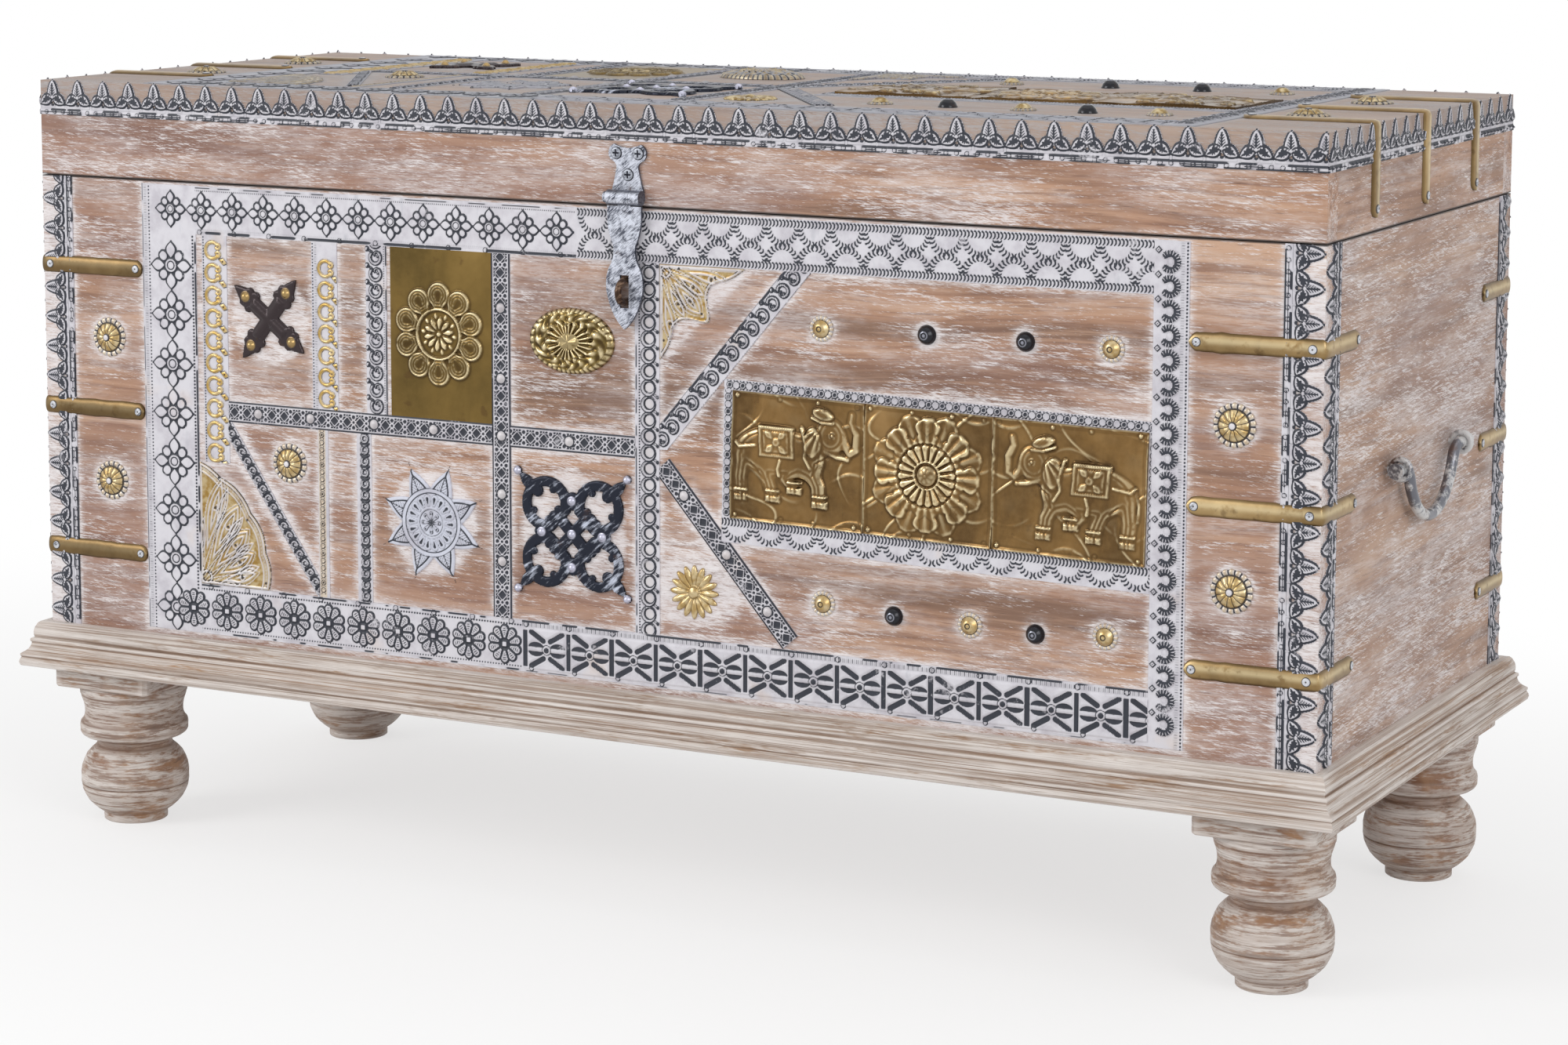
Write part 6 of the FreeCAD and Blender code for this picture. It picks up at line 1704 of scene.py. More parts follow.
def dress(layout, add):
    """Presses every strip, plaque and stud of one face; add(kind, pile) puts each in the scene."""
    covers = layout.covers

    def cover_round(u, v, r):
        covers.append(lambda x, y: disc(x - u, y - v, r))

    def plaque(kind, motif, spot, half, turn=0.0, step=0.8):
        sheet = Sheet(-half, half, -half, half, max(step, layout.step))
        motif(sheet.whole())
        pile = Pile()
        add_cutout(pile, sheet, layout.plane.turned(*spot, turn), sheet.edge)
        add(kind, pile)
        cover_round(*spot, half * 0.8)

    def studs(pile, shape, reach, count, spokes, cover, spots):
        for u, v in spots:
            add_round(pile, layout.plane, u, v, rings(reach, count), shape, spokes)
            cover_round(u, v, cover)
        return pile

    def flat(kind, sheets):
        pile = Pile()
        for sheet in sheets:
            add_sheet(pile, sheet, layout.plane)
            covers.append(sheet.away)
        add(kind, pile)

    for kind, drawn in (("top_border", top_border), ("left_border", left_border),
                        ("right_border", right_border), ("bottom_border", base_border),
                        ("scroll_strips", scroll_strips), ("ring_strips", ring_strips),
                        ("studded_bands", studded_bands)):
        flat(kind, drawn(layout))

    slanted, plates, edging, corners, boss = (Pile() for _ in range(5))
    for sheet, plane, d in slanted_strips(layout):
        add_cutout(slanted, sheet, plane, d)
        covers.append(slanted_cover(layout.plane, plane, sheet))
    add("slanted_strips", slanted)

    frieze = layout.plane.turned(FRIEZE_MIDDLE, layout.up(FRIEZE_SHARE), FRIEZE_TILT)
    for sheet in frieze_tops(layout):
        add_sheet(plates, sheet, frieze)
    add("frieze_plates", plates)
    for sheet in frieze_edges(layout):
        u = FRIEZE_MIDDLE + turned_axes(sheet.u, sheet.v, -FRIEZE_TILT)[0]
        add_cutout(edging, sheet, frieze, all_of(sheet.away(sheet.u, sheet.v) - 0.01, u - RIGHT))
    add("frieze_edging", edging)
    half_x, half_y = HALF_FRIEZE
    covers.append(lambda u, v: oblong(*frieze_axes(layout, u, v + 6), half_x + 8, half_y + 14))

    flat("flower_plate", flower_plate(layout))
    plaque("iron_cross", spade_cross, layout.pick((-342.5, 277.1), (-342.6, 322.8)), 45, 52)
    plaque("star_plaque", eight_star, layout.pick((-185.1, 119.6), (-185.1, 133.9)), 49, step=0.6)
    plaque("pierced_iron", pierced_iron, layout.pick((-51.9, 121.9), (-51.9, 136.7)), 57)

    for motif, box, spot in ((fan_corner, (0.2, 72, 0.2, 107), (LEFT + 0.4, layout.foot + 0.4)),
                             (triangle_corner, (0.2, 81, -81, -0.2), (CENTRE[1] + 0.4, layout.head - 0.4))):
        sheet = Sheet(*box, layout.step)
        motif(sheet.whole())
        dirty_hollows(sheet)
        add_cutout(corners, sheet, layout.plane.turned(*spot), sheet.edge)
    add("corner_plates", corners)
    covers.append(lambda u, v: all_of(disc((u - LEFT) / 0.7, v - layout.foot, 100),
                                      LEFT - u, layout.foot - v))
    covers.append(lambda u, v: all_of((u - CENTRE[1] + layout.head - v - 80) / 1.4, CENTRE[1] - u,
                                      v - layout.head))

    u, v = layout.pick((-51.9, 277.5), (-51.9, 323.2))
    add_round(boss, layout.plane, u, v, [*np.linspace(0.03, 1, 38), 1], boss_shape, 152)
    add("oval_boss", boss)

    add("gold_studs", studs(Pile(), stud_shape, 10.3, 16, 64, 10, layout.pick(
        ((170.1, 301.5), (410.5, 301.5), (172.4, 87.1), (297.2, 82.4), (408.2, 84.7)),
        ((170.1, 352), (410.5, 352), (172.4, 95), (297.2, 89.4), (408.2, 92.2)))))
    add("black_studs", studs(Pile(), black_stud_shape, 7.7, 12, 40, 8, layout.pick(
        ((259.3, 302.3), (340.7, 302.3), (233, 83.1), (351.3, 80.9)),
        ((259.3, 352.9), (340.7, 352.9), (233, 90.2), (351.3, 87.5)))))
    beside = [(side, v) for v in layout.pick((128.5, 251.6), (144.6, 292.2)) for side in (-507.5, 507.5)]
    roses = studs(Pile(), rosette_shape, 17, 24, 72, 17,
                  [*beside, layout.pick((-324.3, 157.5), (-324.3, 179.4))])
    burst = layout.pick((58.7, 85.1), (58.7, 92.6))
    add("rosettes", studs(roses, sunburst_shape, 21.7, 26, 128, 21, [burst]))
    covers.append(lambda u, v: disc((u - burst[0]) / 1.5, v - burst[1], 26))


def flower_plate(layout):
    plate = Sheet(*PLATE, layout.shelf + HALF_BAND, layout.head, layout.step)
    plate.stamp(double_petals, *layout.pick((-176.5, 275.0), (-175.1, 319.0)), 44, radius=42.7)
    paint_highlights_and_hollows(plate, 0.2)
    return [plate]


def slanted_cover(plane, strip, sheet):
    """How far a spot on the face is from a slanting strip."""
    shift = strip.origin - plane.origin
    u0, v0 = shift @ plane.across, shift @ plane.up
    c, s = strip.across @ plane.across, strip.across @ plane.up

    def distance(u, v):
        x, y = (u - u0) * c + (v - v0) * s, (v - v0) * c - (u - u0) * s
        return oblong(x - (sheet.left + sheet.right) / 2, y, (sheet.right - sheet.left) / 2 - 30, 9)
    return distance


def board(name, plane, low, high, step, covers, finish, body, node):
    """A flat board with, at each point, how close the ornament on it is."""
    half = HALF_LONG
    u, v = np.meshgrid(np.linspace(-half, half, round(2 * half / step) + 1),
                       np.linspace(low, high, round((high - low) / step) + 1))
    nearest = any_of(*(distance(u, v) for distance in covers))
    halo = np.exp(-(np.clip(nearest, 0, None) / 3.2) ** 1.3).ravel()
    face = plane.place(u, v, np.zeros(u.shape)).reshape(-1, 3)
    back = plane.place([-half, half, half, -half], [low, low, high, high], [-BOARD] * 4)
    points, faces, rim = closing(face, back, *u.shape)
    mesh = solid_mesh(name, np.concatenate([face, points]), grid_quads(*u.shape),
                      [np.array(corners) + len(face) for corners in faces],
                      halo=np.concatenate([halo, np.zeros(4), halo[rim]]))
    piece(name, mesh, finish, body, "limed_wood", node)


# Strips of leaves along the corners and round the lid

def leaf_strip(pile, corner, out, up, length, pitch, first, step, band_wide=5.6):
    """A nailed edge band with a row of leaves on it, cut out along the leaves."""
    sheet = Sheet(0, length, 0, band_wide + LEAF_LONG + 0.8, step)
    for at in row(first, length + pitch, pitch):
        sheet.stamp(trefoil, at, band_wide, 27, turn=90)
    p = sheet.whole()
    p.shape(sheet.v - band_wide)
    p.swell(sheet.v - band_wide, 0.5, 1.5)
    for v, wide in ((0.6, 1.4), (band_wide / 2, 0.7), (band_wide - 0.7, 1.6)):
        line(sheet, 0, v, length, v, wide, 0.95, 0.3, int(length + 7 * v))
    for at in row(first / 2, length, 8.6):
        sheet.stamp(small_nail, at, band_wide / 2, 4, r=1.3)
    d = all_of(sheet.edge, -sheet.u - 0.01, sheet.u - length - 0.01, -sheet.v - 0.01)
    add_cutout(pile, sheet, Plane(corner, np.cross(up, out), up), d)


def corner_leaves():
    """Both faces of the four corners, from the plinth to the rim."""
    pile = Pile()
    for side in (1, -1):
        for front in (-1, 1):
            face, end = (0, front, 0), (side, 0, 0)
            on_face = (side * (HALF_LONG - LEAF_STRIP), front * HALF_DEEP)
            on_end = (side * HALF_LONG, front * (HALF_DEEP - LEAF_STRIP))
            step = SIDE_STEP if front < 0 else HIDDEN_STEP
            for hand, spot, out, up in ((side * front, on_face, face, end),
                                        (-side * front, on_end, end, face)):
                z, first = (FACE_Z, 12) if hand > 0 else (FACE_Z + FRONT_HEIGHT, 6.4)
                leaf_strip(pile, (*spot, z), out, up, FRONT_HEIGHT, 25.4, first, step)
    return pile


def lid_leaves():
    """The strip round the lid's edge, its leaves pointing up."""
    pile = Pile()
    for out, stand, length, step in (((0, -1, 0), HALF_DEEP, 2 * HALF_LONG, SIDE_STEP),
                                     ((1, 0, 0), HALF_LONG, DEPTH, 0.85),
                                     ((0, 1, 0), HALF_DEEP, 2 * HALF_LONG, 1.6),
                                     ((-1, 0, 0), HALF_LONG, DEPTH, 1.6)):
        across = np.cross((0, 0, 1), out)
        start = np.array(out) * stand - across * length / 2 + (0, 0, LID_STRIP_Z)
        leaf_strip(pile, start, out, (0, 0, 1), length, 26.4, 13.2, step, 4.7)
    return pile


# Straps bent over the corners and over the lid's ends

def near_ends(tip, count):
    """Distances from the edge that a strap is bent over, close together at its rounded tip."""
    return [tip - a for a in (0, 0.25, 0.9, 2.0, 3.4, 5.2, 7.4)] + list(np.linspace(tip - 11, 2.5, count))


def bent_strap(straps, nails, edge, face, end, across, reach, nailed, wide, out_of, seed, painted_shade=0.0):
    """A rounded strap from a face over an edge onto the end, with nails at some distances from the edge."""
    edge, face, end, across = (np.array(a, float) for a in (edge, face, end, across))
    stations = [(edge - t * end, face) for t in near_ends(reach[0], 14)]
    for a in np.array((0.25, 0.5, 0.75)) * math.pi / 2:
        stations.append((edge - 0.6 * (face + end), face * math.cos(a) + end * math.sin(a)))
    stations += [(edge - t * face, end) for t in near_ends(reach[1], 10)[::-1]]
    rng = np.random.default_rng(seed)
    shares = np.linspace(-1, 1, 13)
    height = STRAP_RISE * np.clip(1 - np.abs(shares) ** 2.4, 0, 1) ** 0.62
    # Painted shade darkens the strap's edges, and the whole strap by the last argument; a painted highlight
    # runs just above its middle, dimmer on a shaded strap
    dirt = np.maximum(np.clip(np.abs(shares) * 2.6 - 1.7, 0, 0.8), painted_shade)
    highlight_band = (0.55 - 0.5 * painted_shade) * np.exp(-((shares - 0.2) / 0.34) ** 2)
    points = []
    for spot, out in stations:
        ends = [min(np.linalg.norm(stations[k][0] - spot) / (0.5 * wide), 1) for k in (0, -1)]
        bow = (1 + 0.03 * rng.normal()) * min(math.sqrt(1 - (1 - near) ** 2) for near in ends) + 0.06
        points.append([spot + across * (share * wide / 2 * bow) + out * (0.2 + rise)
                       for share, rise in zip(shares, height)])
    top = np.array(points) * MM
    rows, columns = top.shape[:2]
    first, last = np.arange(columns), np.arange(columns) + (rows - 1) * columns
    straps.add(top.reshape(-1, 3), quads=grid_quads(rows, columns)[:, ::out_of],
               others=[first[::out_of], last[::-out_of]], ink=np.tile(dirt, rows), tint=np.tile(highlight_band, rows))
    pair = np.arange(rows * 2).reshape(rows, 2)
    back = np.stack([pair[:-1, 0], pair[1:, 0], pair[1:, 1], pair[:-1, 1]], -1)
    straps.add(top[:, [0, -1]].reshape(-1, 3), flat_quads=back[:, ::out_of])
    for inward, out, distances in ((end, face, nailed[0]), (face, end, nailed[1])):
        for t in distances:
            plane = Plane(edge - t * inward + out * (STRAP_RISE - 0.3), np.cross(across, out), across)
            add_round(nails, plane, 0, 0, rings(3.6, 9), strap_nail_shape, 24)


def corner_wraps():
    """The three brass straps round each corner of the chest, darker at the left with painted shade, and their
    nails.
    """
    straps, nails = Pile(), Pile()
    corners = [(z, side, front) for z in STRAP_HEIGHTS for side in (-1, 1) for front in (-1, 1)]
    for k, (z, side, front) in enumerate(corners):
        edge, painted_shade = (side * HALF_LONG, front * HALF_DEEP, z), 0.6 if side < 0 else 0.0
        bent_strap(straps, nails, edge, (0, front, 0), (side, 0, 0), (0, 0, 1), (HALF_LONG - STRAP_TIP, 72),
                   ((97.5, 8), (66.5,)), 14.0, side * front, k + 1, painted_shade)
    return straps, nails


def lid_wraps():
    """The three straps over each end of the lid, down its side, and their nails."""
    straps, nails = Pile(), Pile()
    drop = LID_TOP_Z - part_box("lid_straps")[0][2] / MM
    for k, (side, y) in enumerate((side, y) for side in (-1, 1) for y in LID_STRAPS_Y):
        bent_strap(straps, nails, (side * HALF_LONG, y, LID_TOP_Z), (0, 0, 1), (side, 0, 0), (0, 1, 0),
                   (HALF_LONG - STRAP_TIP, drop), ((97,), (drop - 6.5,)), 16.5, -side, 41 + k)
    return straps, nails


# The plinth's section from its back at the bottom: out, up, and how far the paint is worn there, which also
# lays painted shade in its grooves
PLINTH_SECTION = (
    (0, 0, 0.2), (19.5, 0, 0.3), (20.3, 0.7, 0.1), (21, 3.0, 0), (20.7, 5.2, 0), (19.6, 7.3, 0.3),
    (19.3, 7.7, 1), (20.0, 8.6, 0.2), (20.2, 10.0, 0), (19.9, 10.7, 0.2), (18.1, 11.9, 0.8),
    (16.4, 13.1, 0.1), (15.0, 14.6, 0), (13.9, 16.4, 0), (13.2, 18.4, 0.3), (13.0, 19.6, 0.6),
    (13.0, 20.1, 1), (13.8, 20.9, 0.1), (14.0, 22.0, 0), (13.7, 23.2, 0.1), (12.6, 23.9, 0.4),
    (11.2, 24.3, 1), (11.1, 24.8, 0.8), (11.6, 26.0, 0.1), (11.8, 28.5, 0), (11.5, 31.0, 0),
    (10.8, 33.4, 0.2), (10.0, 34.8, 0.5), (9.7, 35.2, 1), (9.7, 35.7, 0.3), (8.6, 37.0, 0),
    (7.6, 37.9, 0), (7.2, 38, 0), (0, 38, 0.2),
)

# A foot's section from the floor up: reach from its middle, height, and how far the paint is worn there,
# which also lays painted shade in grooves and under the bulb
FOOT_SECTION = (
    (26.6, 0, 0.4), (27.3, 0.6, 0.4), (27.4, 4, 0), (27.3, 7.6, 0.2), (28.0, 8.1, 1), (29.8, 8.5, 0.9),
    (33.4, 11.0, 0.4), (37.4, 14.6, 0.1), (40.8, 18.6, 0), (43.6, 23.4, 0.3), (45.4, 28.0, 0.2),
    (46.1, 31.6, 0), (46.1, 32.2, 0.8), (45.2, 32.7, 1), (45.2, 33.1, 1), (46.3, 33.6, 0.5),
    (46.5, 38.0, 0), (46.4, 43.0, 0.2), (45.6, 48.0, 0.5), (44.0, 53.0, 0.3), (41.4, 57.8, 0),
    (38.0, 61.8, 0), (34.8, 64.6, 0.5), (33.0, 66.2, 1), (32.3, 68.4, 0.6), (32.8, 70.8, 0.4),
    (34.4, 72.6, 1), (38.6, 74.2, 0.6), (43.0, 75.6, 0.2), (45.4, 77.2, 0.1), (46.4, 79.2, 0.8),
    (46.5, 80.2, 0.6), (46.5, 84.6, 0), (46.4, 86.4, 0.3), (45.8, 87.6, 1), (44.4, 89.4, 0.5),
    (42.9, 92.4, 0.3), (42.2, 96.0, 0.8), (42.3, 99.6, 0.4), (43.0, 103.4, 0), (44.3, 107.2, 0),
    (45.3, 110.4, 0.3), (45.6, 112.4, 1), (46.2, 113.2, 0.4), (46.5, 115.6, 0), (46.4, 118.4, 0),
    (45.9, 120.2, 0.6), (45.6, 121.0, 1),
)

# The block on a foot: how far each ring lies in from its sides, its height and wear
BLOCK_SECTION = ((1.2, 121.0, 0.8), (0.2, 121.9, 0.6), (0, 122.8, 0.1), (0, 131, 0), (0, 140, 0.1),
                 (0.6, 141, 0.3))
FOOT_SPOKES = 96


def plinth_length(name, out, half, stand, finish):
    """One mitred length of the plinth, facing out, with its back at the distance stand from the middle."""
    out = np.array(out, float)
    run = np.cross((0, 0, 1), out)
    section = np.array(PLINTH_SECTION)
    shares = np.linspace(-1, 1, 41)
    points = [out * (stand + o) + run * (share * (half + o)) + np.array((0, 0, BASE_Z + z))
              for share in shares for o, z, _ in section]
    at = np.arange(len(points)).reshape(len(shares), len(section))
    after = np.roll(at, -1, 1)
    quads = np.stack([at[:-1], at[1:], after[1:], after[:-1]], -1).reshape(-1, 4)
    mesh = solid_mesh(f"plinth_{name}", np.array(points) * MM, quads, [at[0], at[-1][::-1]], smooth=0,
                      worn=np.tile(section[:, 2], len(shares)))
    piece(f"plinth_{name}", mesh, finish, "chest", "whitewashed_wood", f"base_moulding_{name}")


def hasp_screw_heads():
    """The plate's three screws, two in its upper lobes and one in its waist."""
    pile = Pile()
    low, high = (np.array(corner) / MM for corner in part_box("hasp_screws"))
    length = high[1] - low[1] - 1.6

    def shank(r, a):
        return r, np.full(r.shape, length), 0, 0

    (left, front, foot), (right, back, top) = low, high
    for x, z in ((left + 5, top - 5), (right - 5, top - 5), ((left + right) / 2 + 0.7, foot + 5)):
        for y, radii, shape, spokes in ((front + 1.6, rings(5, 14), screw_head, 48),
                                        (back, (0.1, 2, 2), shank, 16)):
            add_round(pile, Plane((x, y, z), (1, 0, 0), (0, 0, 1)), 0, 0, radii, shape, spokes)
    return pile


def turned_foot(node):
    """A turned foot with its square block, standing where the model has it."""
    low, high = (np.array(corner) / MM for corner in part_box(node))
    middle, half = (low + high) / 2, (high[0] - low[0]) / 2
    angle = np.linspace(0, 2 * math.pi, FOOT_SPOKES, endpoint=False)
    shifted = angle + math.pi / FOOT_SPOKES
    square = np.minimum(half / np.maximum(np.abs(np.cos(shifted)), np.abs(np.sin(shifted))), half * 1.395)
    levels = [(reach + 0.12 * math.sin(z * 2.1), angle, z) for reach, z, _ in FOOT_SECTION]
    levels += [(square - inset, shifted, z) for inset, z, _ in BLOCK_SECTION]
    points = np.array([np.stack([middle[0] + r * np.cos(a), middle[1] + r * np.sin(a),
                                 np.full(FOOT_SPOKES, z)], -1) for r, a, z in levels])
    at = np.arange(points.size // 3).reshape(-1, FOOT_SPOKES)
    after = np.roll(at, -1, 1)
    quads = np.stack([at[:-1], after[:-1], after[1:], at[1:]], -1).reshape(-1, 4)
    worn = [rubbed for _, _, rubbed in FOOT_SECTION + BLOCK_SECTION]
    mesh = solid_mesh("turned_" + node, points.reshape(-1, 3) * MM, quads, [at[0][::-1], at[-1]],
                      smooth=FOOT_SPOKES * (len(FOOT_SECTION) - 1), worn=np.repeat(worn, FOOT_SPOKES))
    piece("turned_" + node, mesh, foot_paint, "chest", "whitewashed_wood", node)


# Each kind of ornament: its slot, the node that it replaces on the front, and that on the lid
KINDS = {
    "top_border": ("embossed_sheet", "front_top_border", "lid_border_strips"),
    "left_border": ("embossed_sheet", "front_left_border", None),
    "right_border": ("embossed_sheet", "front_right_border", None),
    "bottom_border": ("embossed_sheet", "front_bottom_border", None),
    "scroll_strips": ("embossed_sheet", "front_scroll_strips", "lid_inner_strips"),
    "ring_strips": ("embossed_sheet", "front_ring_strips", None),
    "studded_bands": ("embossed_sheet", "front_studded_bands", None),
    "slanted_strips": ("embossed_sheet", "front_horseshoe_diagonal", None),
    "frieze_plates": ("antique_brass", "front_frieze_plates", "lid_plaques"),
    "frieze_edging": ("embossed_sheet", "front_frieze_edging", None),
    "flower_plate": ("antique_brass", "front_flower_plate", None),
    "iron_cross": ("whitewashed_iron", "front_iron_cross", None),
    "star_plaque": ("embossed_sheet", "front_star_plaque", None),
    "pierced_iron": ("whitewashed_iron", "front_arabesque", None),
    "corner_plates": ("gilt_brass", "front_corner_plates", None),
    "oval_boss": ("gilt_brass", "front_oval_boss", None),
    "gold_studs": ("gilt_brass", "front_gold_studs", "lid_studs"),
    "black_studs": ("black_iron", "front_black_studs", None),
    "rosettes": ("gilt_brass", "front_rosettes", None),
}


# Finishes

front_wood = limed_wood("front_limed_wood", halo=True, amount=0.29, mist=0.36)
# The lid's wood is greyer with a darker wash: painted shade on the lid's top
lid_shaded_wood = limed_wood("lid_shaded_limed_wood", halo=True, amount=0.42, shift=1.7, grey=0.6, pale=0.74)
rail_wood = limed_wood("rail_limed_wood", amount=0.37, shift=3.1)
end_wood = limed_wood("end_limed_wood", "Y", amount=0.42, shift=0.6, grey=0.24, mist=0.5)
end_rail_wood = limed_wood("end_rail_limed_wood", "Y", amount=0.36, shift=2.3, grey=0.1)
plinth_paint = whitewashed_wood("plinth_white", "X", 0.72, colour(142, 114, 90))
end_plinth_paint = whitewashed_wood("end_plinth_white", "Y", 0.74, colour(142, 114, 90))
foot_paint = whitewashed_wood("turned_foot_white", "turned", 0.68, colour(134, 96, 70))
white_sheet = pressed_metal("white_pressed_sheet", colour(211, 209, 215))
star_sheet = pressed_metal("star_pressed_sheet", colour(206, 209, 222))
# The lid's sheets are darker copies of the front's: painted shade on the lid's top
lid_shaded_sheet = pressed_metal("lid_shaded_pressed_sheet", colour(158, 160, 168))
lid_shaded_gilt = pressed_metal("lid_shaded_gilt", colour(150, 150, 154), colour(132, 108, 64))
gilt_sheet = pressed_metal("gilt_plaques", gilt=colour(164, 130, 66), left=0.9)
gilt_studs = pressed_metal("gilt_studs", gilt=colour(172, 144, 94))
brass_sheet = brass("pressed_brass", colour(84, 68, 36), colour(112, 90, 48), colour(148, 122, 72))
boss_brass = brass("boss_brass", colour(84, 68, 34), colour(120, 98, 52), colour(196, 172, 108), (0.2, 0.34))
frieze_brass = brass("frieze_brass", colour(80, 58, 32), colour(122, 92, 52), colour(184, 150, 102),
                     (0.2, 0.36), 0.9)
old_brass = brass("strap_brass", colour(112, 88, 54), colour(148, 120, 78), colour(206, 182, 136),
                  (0.3, 0.46))
cross_iron = iron("cross_iron", colour(52, 42, 44), colour(196, 198, 208), cover=0.1, rough=0.4,
                  tinted=colour(164, 138, 92))
pierced_iron_paint = iron("pierced_iron_paint", colour(22, 27, 42), colour(190, 196, 212), cover=0.34,
                          tinted=colour(188, 188, 204), soft=0.07, fine=0.5)
hasp_iron = iron("hasp_iron", colour(58, 62, 76), colour(206, 210, 222), cover=0.52, rough=0.4, rim=0.8,
                 soft=0.12, fine=1.9)
bail_iron = worn_rod("bail_iron")
black_iron = iron("black_stud_iron", colour(24, 25, 32), colour(120, 122, 134), cover=0.02, rough=0.3,
                  metal=0.4, tinted=colour(158, 160, 172))
screw_steel = iron("screw_steel", colour(110, 114, 124), colour(186, 190, 200), rough=0.34,
                   tinted=colour(30, 32, 40))
nail_iron = iron("nail_iron", colour(110, 112, 120), colour(204, 206, 212), cover=0.6, rough=0.34,
                 tinted=colour(60, 54, 48))
brown_iron = iron("brown_iron", colour(58, 40, 30), colour(132, 104, 82), cover=0.36, rough=0.42, metal=0.75)
dark_steel = iron("dark_steel", colour(40, 38, 38), colour(110, 104, 100), cover=0.3, rough=0.4, metal=0.8)

FRONT_FINISHES = {"flower_plate": brass_sheet, "frieze_plates": frieze_brass, "iron_cross": cross_iron,
                  "pierced_iron": pierced_iron_paint, "gold_studs": gilt_studs, "rosettes": gilt_studs,
                  "black_studs": black_iron, "corner_plates": gilt_sheet, "oval_boss": boss_brass,
                  "star_plaque": star_sheet}
LID_FINISHES = {**FRONT_FINISHES, "star_plaque": lid_shaded_sheet,
                **dict.fromkeys(("gold_studs", "rosettes", "corner_plates", "oval_boss"), lid_shaded_gilt)}


# The pieces put in the scene

def paint(finish, *nodes):
    for node in nodes:
        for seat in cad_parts[node].material_slots:
            seat.material = finish


def dress_face(layout, label, body, node_at, sheet_finish, finishes):
    """Dresses a face; node_at is where KINDS has the nodes of that face."""
    def add(kind, pile):
        slot, node, finish = KINDS[kind][0], KINDS[kind][node_at], finishes.get(kind, sheet_finish)
        piece(f"{label}_pressed_{kind}", pile, finish, body, slot, *[node] * bool(node))
    dress(layout, add)


front, lid_top = Layout("front", FRONT, FRONT_HEIGHT, STEP), Layout("lid", TOP, DEPTH, TOP_STEP)
dress_face(front, "front", "chest", 1, white_sheet, FRONT_FINISHES)
dress_face(lid_top, "lid", "lid", 2, lid_shaded_sheet, LID_FINISHES)

front.covers.append(lambda u, v: HALF_LONG - LEAF_STRIP - np.abs(u))
board("front_board", FRONT, BASE_Z - FACE_Z, FRONT_HEIGHT, 3.5, front.covers, front_wood, "chest",
      "front_panel")
board("lid_board", TOP, 0, DEPTH, 6, lid_top.covers, lid_shaded_wood, "lid", "lid_top_panel")
piece("corner_leaves", corner_leaves(), white_sheet, "chest", "embossed_sheet", "corner_leaf_strips")
piece("lid_leaves", lid_leaves(), white_sheet, "lid", "embossed_sheet", "lid_leaf_strips")
(corner_bands, corner_nails), (lid_bands, lid_nails) = corner_wraps(), lid_wraps()
piece("strap_nails", corner_nails, nail_iron, "chest", "whitewashed_iron")
piece("lid_strap_nails", lid_nails, nail_iron, "lid", "whitewashed_iron")
piece("corner_wraps", corner_bands, old_brass, "chest", "antique_brass", "corner_straps")
piece("lid_wraps", lid_bands, old_brass, "lid", "antique_brass", "lid_straps")

for name, out, half, stand, finish in (("front", (0, -1, 0), HALF_LONG, HALF_DEEP, plinth_paint),
                                       ("back", (0, 1, 0), HALF_LONG, HALF_DEEP, plinth_paint),
                                       ("left", (-1, 0, 0), HALF_DEEP, HALF_LONG, end_plinth_paint),
                                       ("right", (1, 0, 0), HALF_DEEP, HALF_LONG, end_plinth_paint)):
    plinth_length(name, out, half, stand, finish)
for node in ("foot_front_left", "foot_front_right", "foot_back_left", "foot_back_right"):
    turned_foot(node)
piece("hasp_screw_heads", hasp_screw_heads(), screw_steel, "lid", "whitewashed_iron", "hasp_screws")

paint(rail_wood, "back_panel", "floor_panel", "lid_front_rail", "lid_back_rail")
paint(end_wood, "left_side_panel", "right_side_panel")
paint(end_rail_wood, "lid_left_rail", "lid_right_rail")
paint(hasp_iron, "hasp_plate", "hasp_strap", "hasp_pin")
paint(brown_iron, "staple")
paint(bail_iron, "bail_left", "bail_right", "bail_eyes_left", "bail_eyes_right")
paint(dark_steel, "foot_bolts", "hinge_body_leaves", "hinge_lid_leaves", "hinge_pins", "hinge_body_screws",
      "hinge_lid_screws")


# The floor, the light and the camera

def placed(thing):
    bpy.context.scene.collection.objects.link(thing)
    return thing


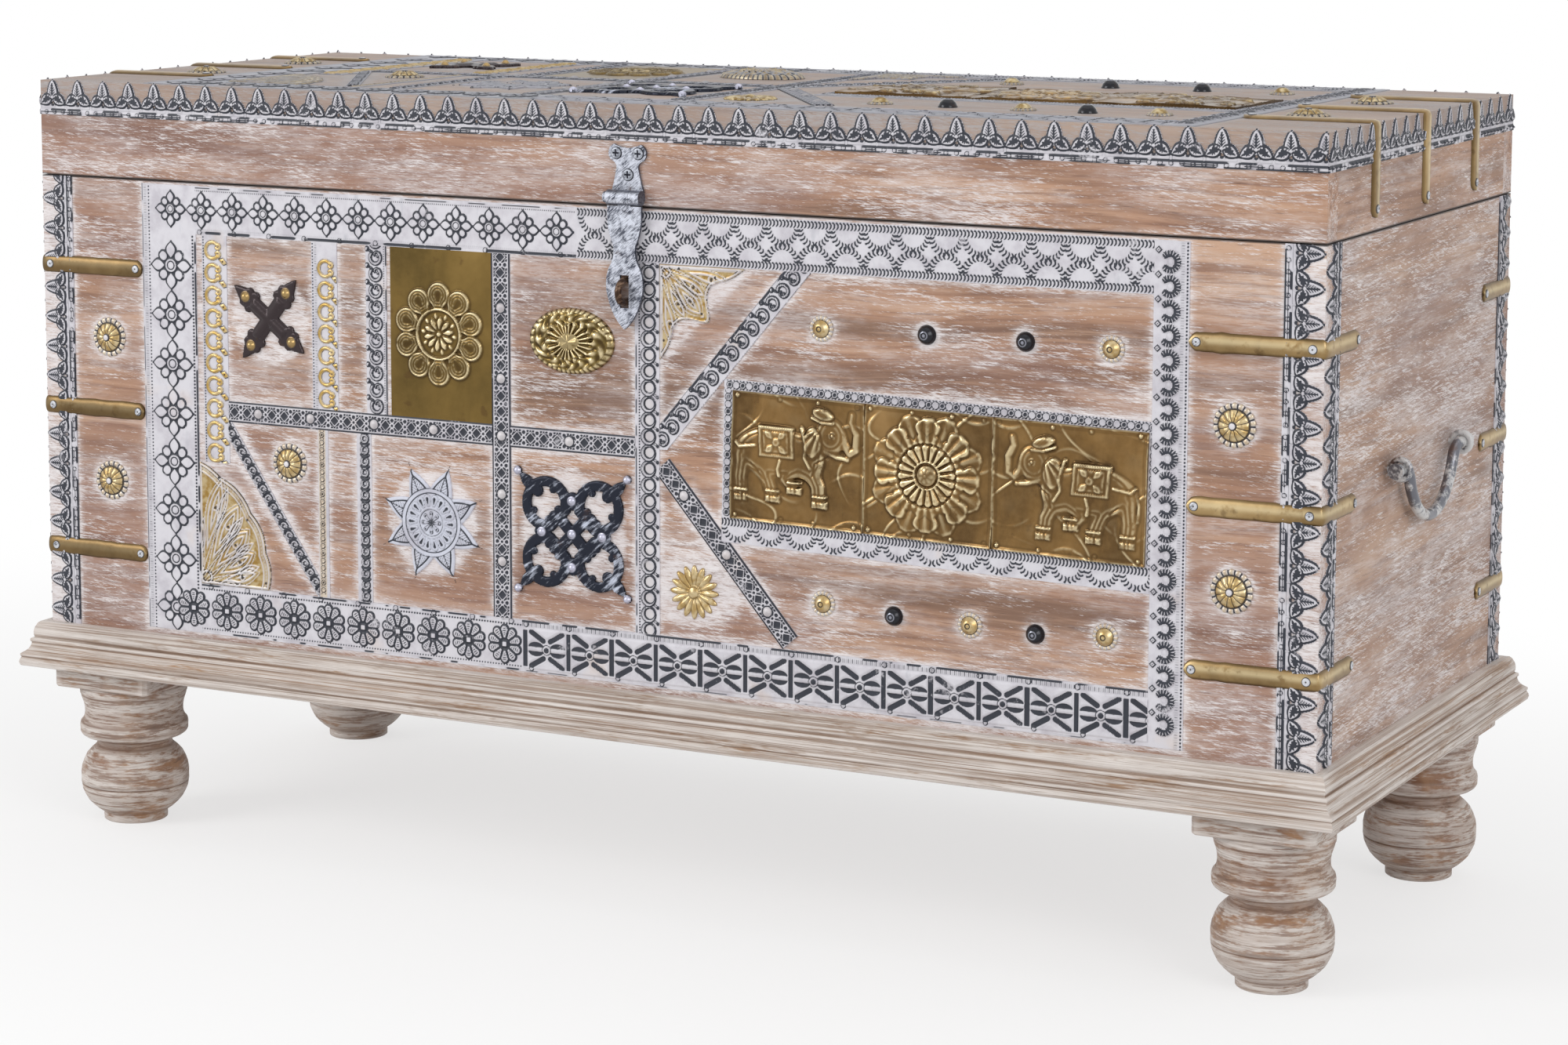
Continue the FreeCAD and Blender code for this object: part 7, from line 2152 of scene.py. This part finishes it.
def studio():
    """A white floor that fades into white air, and three soft lamps."""
    half = 40.0
    floor_mesh = bpy.data.meshes.new("studio_floor")
    corners = [(x * half, y * half, 0) for x, y in ((-1, -1), (1, -1), (1, 1), (-1, 1))]
    floor_mesh.from_pydata(corners, [], [(0, 1, 2, 3)])
    floor = placed(bpy.data.objects.new("studio_floor", floor_mesh))
    paper = bpy.data.materials.new("studio_paper")
    paper.use_nodes = True
    paper.node_tree.nodes.clear()
    s = Shade(paper.node_tree)
    white = s.node("ShaderNodeBsdfPrincipled", {"Base Color": (0.9, 0.9, 0.9, 1), "Roughness": 0.9})
    clear = s.node("ShaderNodeEmission", {"Color": (1, 1, 1, 1), "Strength": 1.0})
    oval = s.stretch(s.place(), 0.55, 0.9, 0)
    away = s.node("ShaderNodeVectorMath", {0: oval}, operation="LENGTH").outputs["Value"]
    share = s.times(s.seen(), s.step(away, 0.3, 1.1, 0.66, 1.0))
    both = s.node("ShaderNodeMixShader", {0: share, 1: white.outputs[0], 2: clear.outputs[0]})
    s.node("ShaderNodeOutputMaterial", {0: both.outputs[0]})
    floor_mesh.materials.append(paper)

    world = bpy.data.worlds.new("studio_air")
    bpy.context.scene.world = world
    world.use_nodes = True
    world.node_tree.nodes.clear()
    s = Shade(world.node_tree)
    air = s.node("ShaderNodeBackground", {"Color": (1, 1, 1, 1), "Strength": s.between(s.seen(), 0.55, 1.0)})
    s.node("ShaderNodeOutputWorld", {0: air.outputs[0]})

    for name, at, power, reach in (("window_left", (-2.6, -3.2, 2.2), 74, 2.0),
                                   ("window_right", (3.2, -2.0, 1.8), 40, 1.8),
                                   ("ceiling", (0.2, 0.4, 3.4), 14, 3.0)):
        lamp = bpy.data.lights.new(name, "AREA")
        lamp.energy, lamp.size = power, reach
        thing = placed(bpy.data.objects.new(name, lamp))
        thing.location = at
        thing.rotation_mode = "QUATERNION"
        thing.rotation_quaternion = (Vector(at) - Vector((0, 0, 0.35))).to_track_quat("Z", "Y")


def camera():
    """The photograph's camera, as fitted to the chest's edges in it."""
    yaw, pitch, roll = -0.4791, -0.13089, 0.00245
    ahead = Vector((math.sin(yaw) * math.cos(pitch), math.cos(yaw) * math.cos(pitch), math.sin(pitch)))
    right = Vector((math.cos(yaw), -math.sin(yaw), 0))
    up = right.cross(ahead)
    turned_right = right * math.cos(roll) + up * math.sin(roll)
    turned_up = up * math.cos(roll) - right * math.sin(roll)
    lens = bpy.data.cameras.new("photo_camera")
    lens.sensor_width, lens.lens, lens.shift_y = 36, 88.27, -0.125
    lens.clip_start, lens.clip_end = 0.05, 200
    thing = placed(bpy.data.objects.new("photo_camera", lens))
    thing.matrix_world = Matrix.Translation((1.4914, -2.8295, 0.8667)) @ Matrix(
        (turned_right, turned_up, -ahead)).transposed().to_4x4()
    bpy.context.scene.camera = thing


studio()
camera()
bpy.context.scene.view_settings.view_transform = "Standard"
